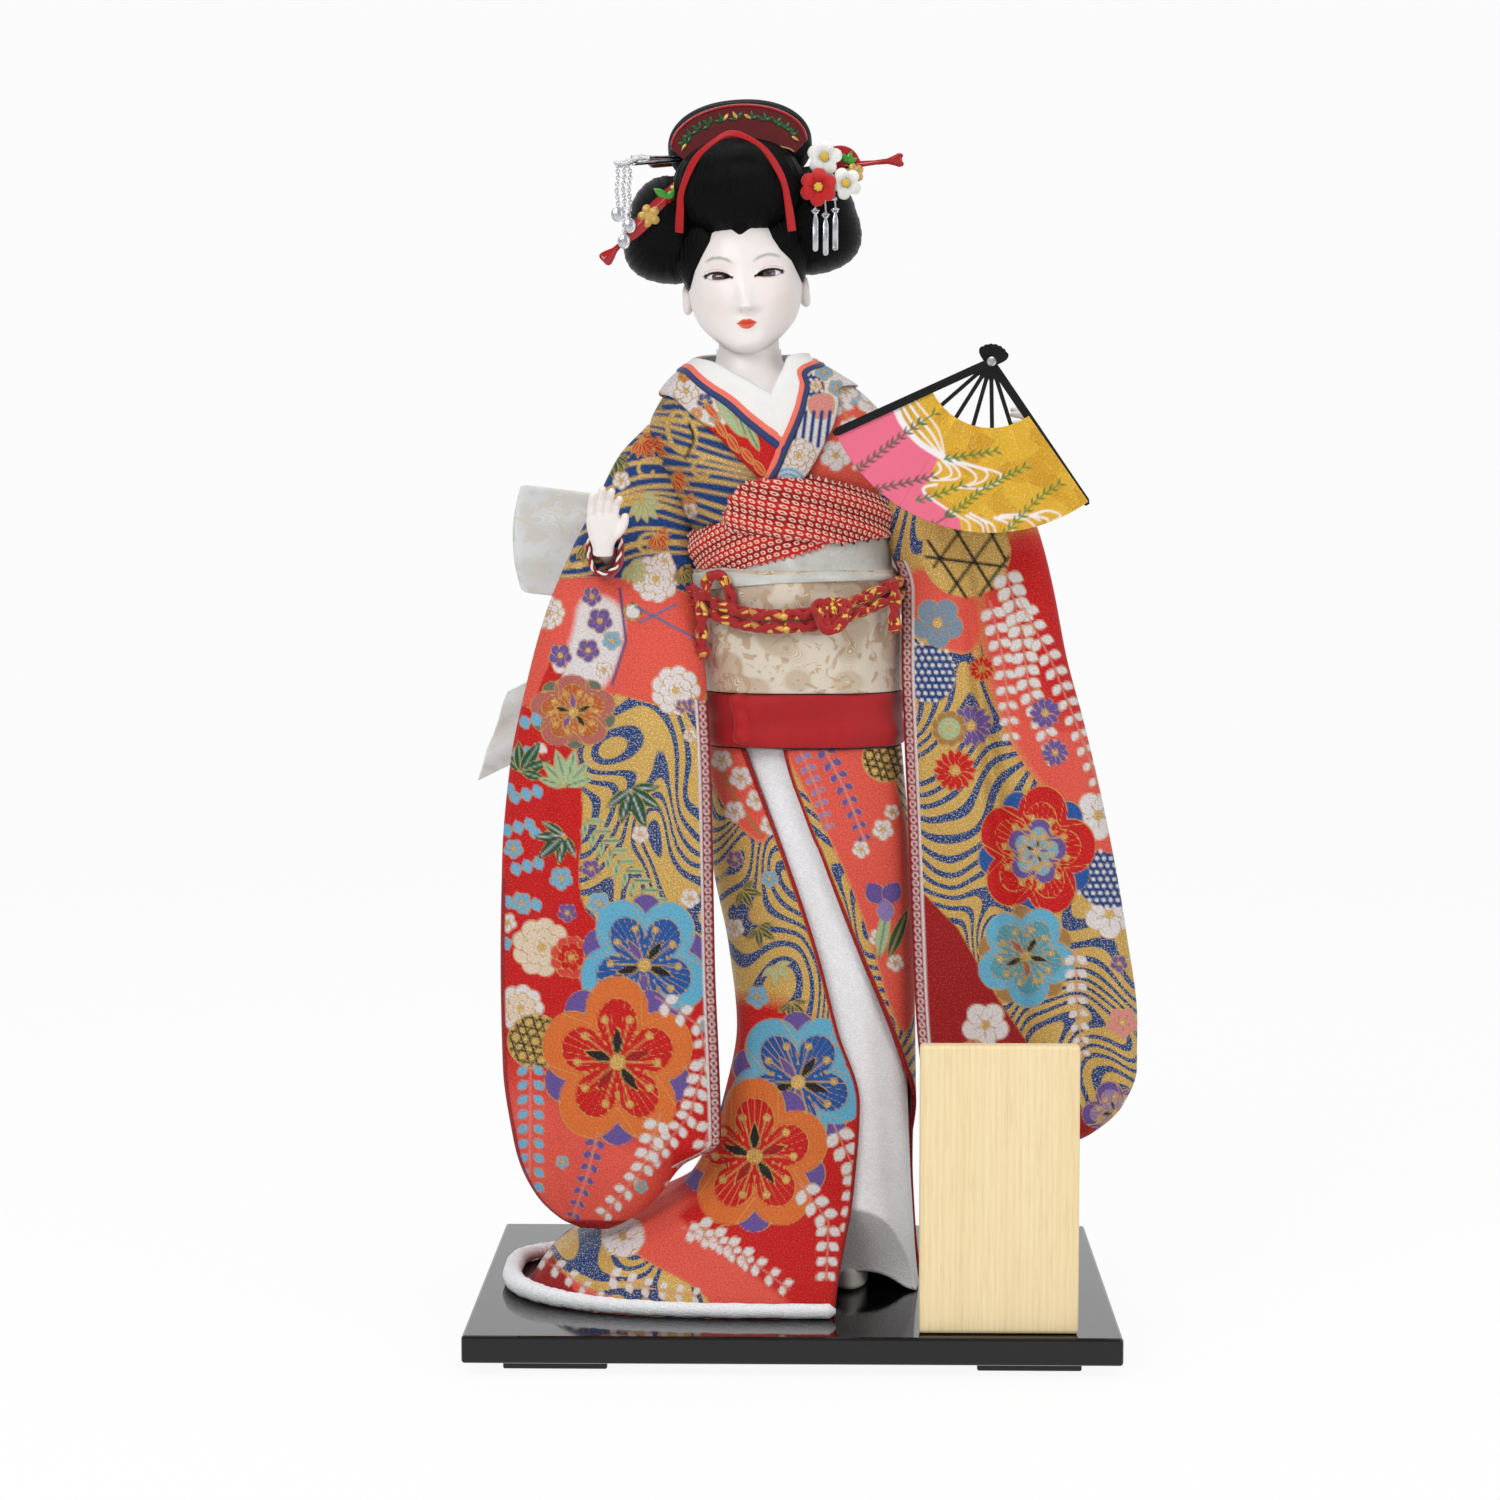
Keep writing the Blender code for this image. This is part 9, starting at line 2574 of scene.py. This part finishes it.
def slat_layer(index):
    if index == 0:
        return 0.0
    first = GUARD_THICK / 2 + PAPER_THICK + 2 * GAP + RIB_THICK / 2
    return first + SLAT_PITCH * (index - 1) + ((GUARD_THICK - RIB_THICK) / 2 if index == FAN_STEPS else 0.0)


def leaf_seat(index):
    if index == 0:
        return (GUARD_THICK + PAPER_THICK) / 2 + GAP
    thickness = GUARD_THICK if index == FAN_STEPS else RIB_THICK
    return slat_layer(index) - (thickness + PAPER_THICK) / 2 - GAP / 3


FAN_GOLD, ROSE, WILLOW, DUSK = ink(220, 160, 20), ink(228, 102, 130), ink(44, 112, 40), ink(84, 76, 66)


def print_fan(p):
    p.shape([(700, 250), (1200, 250), (1200, 650), (700, 650)], FAN_GOLD, edge=False, gold=1.0)
    p.shape([(700, 300), (884, 396), (898, 416), (907, 434), (938, 456), (931, 474), (923, 489), (946, 506),
        (959, 517), (965, 545), (700, 545)], ROSE, edge=False, gold=0.0)
    for i, width in enumerate((7.0, 3.0, 3.0, 2.2)):
        line = [(894 + 6 * i, 404 - 2 * i), (903 + 7 * i, 424 - 4 * i), (920 + 6 * i, 443 - 4 * i),
            (945, 459)]
        p.stroke(path_of(line), width, WHITE, taper=0.2, gold=0.0)
    for line in (((942, 456), (975, 466), (999, 473), (997, 482), (980, 488), (958, 487)),
            ((944, 458), (970, 470), (975, 480), (960, 487)),
            ((942, 458), (956, 468), (957, 478), (930, 480)),
            ((942, 460), (950, 469), (949, 476), (934, 480)), ((938, 463), (940, 470), (930, 478)),
            ((950, 460), (984, 470), (983, 480), (966, 486)),
            ((936, 484), (924, 487), (926, 494), (946, 508), (957, 515), (968, 522), (970, 534)),
            ((966, 515), (981, 524), (983, 535)), ((981, 519), (992, 524), (996, 535)),
            ((994, 517), (1010, 524), (1013, 533)), ((996, 517), (1023, 518), (1036, 527)),
            ((1029, 515), (1047, 510), (1060, 515), (1051, 521)), ((1034, 515), (1047, 519), (1046, 527)),
            ((970, 513), (984, 521), (989, 533)), ((1000, 515), (1024, 514), (1040, 520))):
        p.stroke(path_of(line), 3.0, WHITE, taper=0.45, gold=0.0)
    for line, colour in ((((855, 471), (900, 437), (918, 424)), DUSK), (((918, 424), (933, 414)), WILLOW),
            (((874, 489), (907, 482), (931, 476)), DUSK), (((944, 459), (970, 455), (994, 451)), WILLOW),
            (((916, 500), (935, 495), (960, 485)), WILLOW), (((931, 526), (946, 516)), DUSK),
            (((946, 516), (961, 506), (986, 487), (1023, 467)), WILLOW),
            (((1003, 535), (1023, 513), (1040, 496), (1058, 484)), WILLOW)):
        path = path_of(line)
        p.stroke(path, 1.5, colour, gold=0.0)
        length = float(np.hypot(*(path[-1] - path[0])))
        for k in np.linspace(1, 39, max(2, int(length / 7.0))).astype(int):
            heading = math.atan2(*(path[k] - path[k - 1])[::-1])
            for way in (-1, 1):
                p.petal(path[k][0] + way, path[k][1], heading + way * 0.65, 7.5, 2.4, colour, fat=0.7,
                    gold=0.0, edge=False)


def build_fan_leaf(values):
    """The leaf in six pleats, each laid between the two slats beside it."""
    made = []
    low, high = FAN_ANGLES
    margin = 0.0034 * 0.25 / 0.071
    reach = np.linspace(0.0270, 0.0700, 104)[None, :]
    for i in range(FAN_STEPS):
        start, end = i / FAN_STEPS, (i + 1) / FAN_STEPS
        t = np.linspace(0, 1, 42)[:, None]
        first = low + (high - low) * start - (margin if i == 0 else 0.0)
        last = low + (high - low) * end + (margin if i == FAN_STEPS - 1 else 0.0)
        angle = first + (last - first) * t
        seat = leaf_seat(i) + (leaf_seat(i + 1) - leaf_seat(i)) * t
        pleat = (1 - np.abs(2 * t - 1)) ** 0.8
        y = seat - values.fan_pleat_depth * pleat * np.minimum(1.0, i + t)
        grid = stack(FAN_AT.x + reach * np.cos(angle), FAN_AT.y + y + 0 * reach,
            FAN_AT.z + reach * np.sin(angle))
        item = cloth(f"gold_fan_leaf_{i + 1}", grid, 0.0003, finish_of("fan_paper"))
        mirror_fix(item)
        places = chart_places(grid)
        p = Print(*places, FAN_GOLD)
        print_fan(p)
        p.keep(item, places)
        ends = []
        for way in (first, last):
            ends.append(tuple(FAN_AT + Vector((math.cos(way), 0, math.sin(way))) * 0.027))
        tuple(ends[1])
        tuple(ends[0])
        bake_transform(item)
        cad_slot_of("fan_leaf")
        made.append(item)
    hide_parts("fan_leaf")
    return made


# ---------------------------------------------------------------- bow
def build_bow(values):
    height = 0.3230
    centre, _, depth = body_row(np.array(height))
    middle_x = float(centre)
    y = BODY_Y + float(depth) + 0.0009 + 0.0040 + 0.0052 - 0.0011 + 0.0080
    pieces = []
    for side, length in ((-1, 0.125), (1, 0.060)):
        share = np.linspace(0, 1, 90)[:, None]
        turns = np.linspace(0, 2 * math.pi, 90, endpoint=False)[None, :]
        half = 0.024 * (0.30 + 0.70 * np.sin(np.minimum(1.0, share * 1.7 + 0.05) * math.pi / 2))
        thick = 0.0040 * (0.45 + 0.55 * np.sin(math.pi * np.minimum(1.0, share * 0.9 + 0.1)))
        cy, cz = rounded(turns, 2.6)
        long_fold = 0.0011 * np.sin(9 * cz + 2.0 * share) * (1 - 0.5 * share)
        fold = long_fold + 0.0006 * np.sin(20 * share + 3 * cz)
        rise = 0.015 * share * (1.0 if side < 0 else 0.4)
        end = np.sqrt(np.clip(1 - np.clip((share - 0.965) / 0.036, 0, 1) ** 2, 0.02, 1))
        grid = stack(middle_x + side * length * share * (1 - 0.03 * cz**2),
            y + (thick * end * cy + fold * 0.8), height + rise + half * cz * (0.94 + 0.06 * end))
        pieces.append(mirror_fix(solid("loop", grid, finish_of("bow"))))
    v = np.linspace(0.03, math.pi - 0.03, 50)[:, None]
    u = np.linspace(0, 2 * math.pi, 80, endpoint=False)[None, :]
    pleat = 1 + 0.05 * np.sin(9 * np.cos(v) * 2)
    grid = stack(middle_x + 0.015 * np.sin(v) * np.cos(u) * pleat, y + 0.008 * np.sin(v) * np.sin(u) * pleat,
        height + 0.018 * np.cos(v) + 0 * u)
    pieces.append(mirror_fix(solid("knot", grid, finish_of("bow"))))
    bow = join("silver_bow", pieces)
    settle(bow, "figure", "bow")
    tail_y = y + 0.0060 + 0.0003
    share = np.linspace(0.045, 1, 150)[:, None]
    across = np.linspace(-1, 1, 60)[None, :]
    half = 0.020 * (0.5 + 0.5 * np.minimum(1.0, share * 2))
    grid = stack(middle_x - 0.135 * share + half * 0.35 * across,
        tail_y + 0.0007 * np.sin(6 * across + 8 * share) + 0 * share,
        height - 0.0108 - 0.063 * share + half * across)
    tail = cloth("silver_bow_tail", grid, 0.0016, finish_of("bow"))
    mirror_fix(tail)
    settle(tail, "figure", "bow_tail")
    return [bow, tail]


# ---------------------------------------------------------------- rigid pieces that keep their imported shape
CARRIED = {"stand_board": "stand", "stand_foot_front_free": "stand", "stand_foot_front_fan": "stand",
    "stand_foot_back_free": "stand", "stand_foot_back_fan": "stand", "name_plate": "wood",
    "body_core": "core", "flower_stem": "silver", "fan_guard_front": "ribs", "fan_guard_held": "ribs",
    "fan_rib_1": "ribs", "fan_rib_2": "ribs", "fan_rib_3": "ribs", "fan_rib_4": "ribs", "fan_rib_5": "ribs",
    "fan_rivet": "silver",}


def dress(*names):
    """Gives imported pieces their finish."""
    for name in names:
        mesh = frame["nodes"][name].data
        mesh.materials.clear()
        mesh.materials.append(finish_of(CARRIED[name]).material)


# ---------------------------------------------------------------- studio
def studio_white(colour, glow):
    """A pale surface that keeps its shadow and reads white in the picture and in reflections."""
    finish = Finish("studio_white", Roughness=0.9, Specular_Ior_Level=0.0)
    grain = finish.noise(finish.place(), 3.0, 2.0)
    finish.set("Base Color", finish.mix(grain, colour, tuple(part * 0.995 for part in colour[:3]) + (1.0,)))
    path = finish.tree.nodes.new("ShaderNodeLightPath")
    seen = Wire(finish, path.outputs["Is Camera Ray"]) + Wire(finish, path.outputs["Is Glossy Ray"])
    seen = (seen + Wire(finish, path.outputs["Is Transmission Ray"])).clamp()
    light = finish.tree.nodes.new("ShaderNodeEmission")
    light.inputs["Color"].default_value = (1, 1, 1, 1)
    light.inputs["Strength"].default_value = 1.0
    mix = finish.node("ShaderNodeMixShader", {}, {0: seen * glow})
    finish.tree.links.new(finish.shader.outputs[0], mix.socket.node.inputs[1])
    finish.tree.links.new(light.outputs[0], mix.socket.node.inputs[2])
    finish.tree.links.new(mix.socket, finish.tree.nodes["Material Output"].inputs["Surface"])
    return finish


def area_light(name, place, aim, size, power, colour=(1, 1, 1)):
    light = bpy.data.lights.new(name, "AREA")
    light.shape = "RECTANGLE"
    light.size, light.size_y = size
    light.energy = power
    light.color = colour
    item = bpy.data.objects.new(name, light)
    item.location = place
    item.rotation_euler = (Vector(aim) - Vector(place)).to_track_quat("-Z", "Y").to_euler()
    bpy.context.scene.collection.objects.link(item)
    return item


def build_stage(values):
    size = values.floor_size / 2
    profile = [(-size, 0.0), (size * 0.35, 0.0)]
    for k in range(1, 13):
        turn = math.pi / 2 * k / 12
        profile.append((size * 0.35 + 0.8 * math.sin(turn), 0.8 * (1 - math.cos(turn))))
    profile.append((size * 0.35 + 0.8, size * 1.2))
    across = np.linspace(-size, size, 9)
    grid = np.array([[(x, y, z) for x in across] for y, z in profile])
    floor = add_mesh("studio_sweep", grid.reshape(-1, 3), grid_faces(len(profile), 9, 0, False, True), (),
                     studio_white(tuple(values.floor_colour) + (1.0,), values.floor_glow))
    world = bpy.data.worlds.new("studio")
    world.use_nodes = True
    tree = world.node_tree
    tree.nodes.clear()
    output = tree.nodes.new("ShaderNodeOutputWorld")
    soft = tree.nodes.new("ShaderNodeBackground")
    soft.inputs["Color"].default_value = (0.95, 0.97, 1.0, 1.0)
    soft.inputs["Strength"].default_value = values.sky_strength
    plain = tree.nodes.new("ShaderNodeBackground")
    plain.inputs["Color"].default_value = (1, 1, 1, 1)
    plain.inputs["Strength"].default_value = 1.0
    path = tree.nodes.new("ShaderNodeLightPath")
    mix = tree.nodes.new("ShaderNodeMixShader")
    tree.links.new(path.outputs["Is Camera Ray"], mix.inputs[0])
    tree.links.new(soft.outputs[0], mix.inputs[1])
    tree.links.new(plain.outputs[0], mix.inputs[2])
    tree.links.new(mix.outputs[0], output.inputs["Surface"])
    bpy.context.scene.world = world
    aim = (0, 0, 0.28)
    lights = [
        area_light("key", (-0.9, -1.6, 1.5), aim, (1.0, 1.0), values.key_power),
        area_light("fill", (1.5, -1.2, 0.8), aim, (1.2, 1.2), values.key_power * 0.45),
        area_light("top", (0.1, 0.1, 2.2), aim, (1.6, 1.2), values.key_power * 0.7),
    ]
    eye = bpy.data.cameras.new("front_camera")
    eye.lens = EYE_LENS
    eye.sensor_width = 36.0
    camera = bpy.data.objects.new("front_camera", eye)
    camera.location = (EYE_X, EYE_Y, EYE_Z)
    camera.rotation_euler = (math.radians(90 - EYE_DROP), 0, math.radians(EYE_TURN))
    bpy.context.scene.collection.objects.link(camera)
    bpy.context.scene.camera = camera
    bpy.context.scene.view_settings.view_transform = "Standard"
    return floor


# ---------------------------------------------------------------- add-on
class DollValues(bpy.types.PropertyGroup):
    """What a user of the panel may change before building."""

    fan_pleat_depth: bpy.props.FloatProperty(name="Pleat depth",
        description="How far the fan's pleats stand forward", default=0.0003, min=0.0, max=0.003,
        subtype="DISTANCE", unit="LENGTH")
    skirt_fold: bpy.props.FloatProperty(name="Skirt folds",
        description="Depth of the skirt's folds as a share of the full depth", default=1.0, min=0.0, max=1.0,
        subtype="FACTOR")
    floor_size: bpy.props.FloatProperty(name="Floor size", description="Side of the studio floor",
        default=12.0, min=2.0, max=40.0, subtype="DISTANCE", unit="LENGTH")
    floor_colour: bpy.props.FloatVectorProperty(name="Floor colour",
        description="Colour of the studio floor and backdrop", default=(0.90, 0.90, 0.90), size=3, min=0.0,
        max=1.0, subtype="COLOR")
    floor_glow: bpy.props.FloatProperty(name="Floor glow",
        description="How much of the floor reads as plain white in the picture", default=0.92, min=0.0,
        max=1.0, subtype="FACTOR")
    sky_strength: bpy.props.FloatProperty(name="Sky strength",
        description="Strength of the light from all round", default=0.50, min=0.0, max=4.0)
    key_power: bpy.props.FloatProperty(name="Key power",
        description="Power of the main lamp; the others follow it", default=19.0, min=0.0, max=1000.0,
        unit="POWER")


class DollOperator:
    """Shared by the operators: each builds its pieces with the scene's values."""

    bl_options = {"REGISTER", "UNDO"}

    def execute(self, context):
        for make in self.makers:
            make(context.scene.doll_values)
        return {"FINISHED"}


class DOLL_OT_stand(DollOperator, bpy.types.Operator):
    """Finish the lacquered stand, the name plate and the straw core"""

    bl_idname = "doll.stand"
    bl_label = "Stand and plate"
    makers = (lambda values: dress("stand_board", "stand_foot_front_free", "stand_foot_front_fan",
        "stand_foot_back_free", "stand_foot_back_fan", "name_plate", "body_core"),)


class DOLL_OT_bodice(DollOperator, bpy.types.Operator):
    """Build the printed bodice and its four collars"""

    bl_idname = "doll.bodice"
    bl_label = "Bodice and collars"
    makers = (build_bodice, build_collars)


class DOLL_OT_waist(DollOperator, bpy.types.Operator):
    """Build the scarlet sash, the brocade band and the tied-dot scarf"""

    bl_idname = "doll.waist"
    bl_label = "Sash, band and scarf"
    makers = (build_sash, build_band, build_scarf)


class DOLL_OT_cord(DollOperator, bpy.types.Operator):
    """Build the braided cord with its knot and tails"""

    bl_idname = "doll.cord"
    bl_label = "Waist cord"
    makers = (build_cord,)


class DOLL_OT_bow(DollOperator, bpy.types.Operator):
    """Build the bow behind the band and its hanging tail"""

    bl_idname = "doll.bow"
    bl_label = "Bow"
    makers = (build_bow,)


class DOLL_OT_skirts(DollOperator, bpy.types.Operator):
    """Build the printed skirt, the white under-skirt and the padded hem"""

    bl_idname = "doll.skirts"
    bl_label = "Skirts and hem"
    makers = (build_skirt, build_under_skirt, build_hem)


class DOLL_OT_legs(DollOperator, bpy.types.Operator):
    """Build the legs in their white socks"""

    bl_idname = "doll.legs"
    bl_label = "Legs"
    makers = (build_legs,)


class DOLL_OT_sleeves(DollOperator, bpy.types.Operator):
    """Build the two hanging sleeves and the red inner ones"""

    bl_idname = "doll.sleeves"
    bl_label = "Sleeves"
    makers = (lambda values: build_sleeve(-1, values), lambda values: build_sleeve(1, values), build_cuffs)


class DOLL_OT_head(DollOperator, bpy.types.Operator):
    """Build the white head with its painted face, and its glass eyes"""

    bl_idname = "doll.head"
    bl_label = "Head and eyes"
    makers = (build_head, build_eyes)


class DOLL_OT_hair(DollOperator, bpy.types.Operator):
    """Build the combed masses of hair"""

    bl_idname = "doll.hair"
    bl_label = "Hair"
    makers = (build_hair,)


class DOLL_OT_ornaments(DollOperator, bpy.types.Operator):
    """Build the comb, the ribbon, the bar, the pins and the flowers"""

    bl_idname = "doll.ornaments"
    bl_label = "Hair ornaments"
    makers = (build_comb, build_ribbon, build_bar, build_pins, build_flowers,
        lambda values: dress("flower_stem"))


class DOLL_OT_hangings(DollOperator, bpy.types.Operator):
    """Build the silver strips and chains that swing from the pins"""

    bl_idname = "doll.hangings"
    bl_label = "Hanging silver"
    makers = (build_hangings,)


class DOLL_OT_hands(DollOperator, bpy.types.Operator):
    """Build both hands with their arms"""

    bl_idname = "doll.hands"
    bl_label = "Hands"
    makers = (build_hands,)


class DOLL_OT_fan(DollOperator, bpy.types.Operator):
    """Finish the fan's slats and build its pleated leaf"""

    bl_idname = "doll.fan"
    bl_label = "Fan"
    makers = (build_fan_leaf, lambda values: dress("fan_guard_front", "fan_guard_held", "fan_rib_1",
        "fan_rib_2", "fan_rib_3", "fan_rib_4", "fan_rib_5", "fan_rivet"))


class DOLL_OT_stage(DollOperator, bpy.types.Operator):
    """Build the studio sweep, its lamps and the camera"""

    bl_idname = "doll.stage"
    bl_label = "Studio"
    makers = (build_stage,)


OPERATORS = (DOLL_OT_stand, DOLL_OT_bodice, DOLL_OT_waist, DOLL_OT_cord, DOLL_OT_bow, DOLL_OT_skirts,
    DOLL_OT_legs, DOLL_OT_sleeves, DOLL_OT_head, DOLL_OT_hair, DOLL_OT_ornaments, DOLL_OT_hangings,
    DOLL_OT_hands, DOLL_OT_fan, DOLL_OT_stage,)


class DOLL_PT_panel(bpy.types.Panel):
    """Lists the doll's operators and values"""

    bl_idname = "DOLL_PT_panel"
    bl_label = "Costume doll"
    bl_space_type = "VIEW_3D"
    bl_region_type = "UI"
    bl_category = "Doll"

    def draw(self, context):
        values = context.scene.doll_values
        for name in ("fan_pleat_depth", "skirt_fold", "floor_size", "floor_colour", "floor_glow",
                "sky_strength", "key_power"):
            self.layout.prop(values, name)
        for operator in OPERATORS:
            self.layout.operator(operator.bl_idname)


def register():
    for kind in (DollValues, *OPERATORS, DOLL_PT_panel):
        bpy.utils.register_class(kind)
    bpy.types.Scene.doll_values = bpy.props.PointerProperty(type=DollValues)


def unregister():
    del bpy.types.Scene.doll_values
    for kind in reversed((DollValues, *OPERATORS, DOLL_PT_panel)):
        bpy.utils.unregister_class(kind)


def main():
    register()
    for operator in OPERATORS:
        group, name = operator.bl_idname.split(".")
        getattr(getattr(bpy.ops, group), name)()


if __name__ == "__main__":
    main()
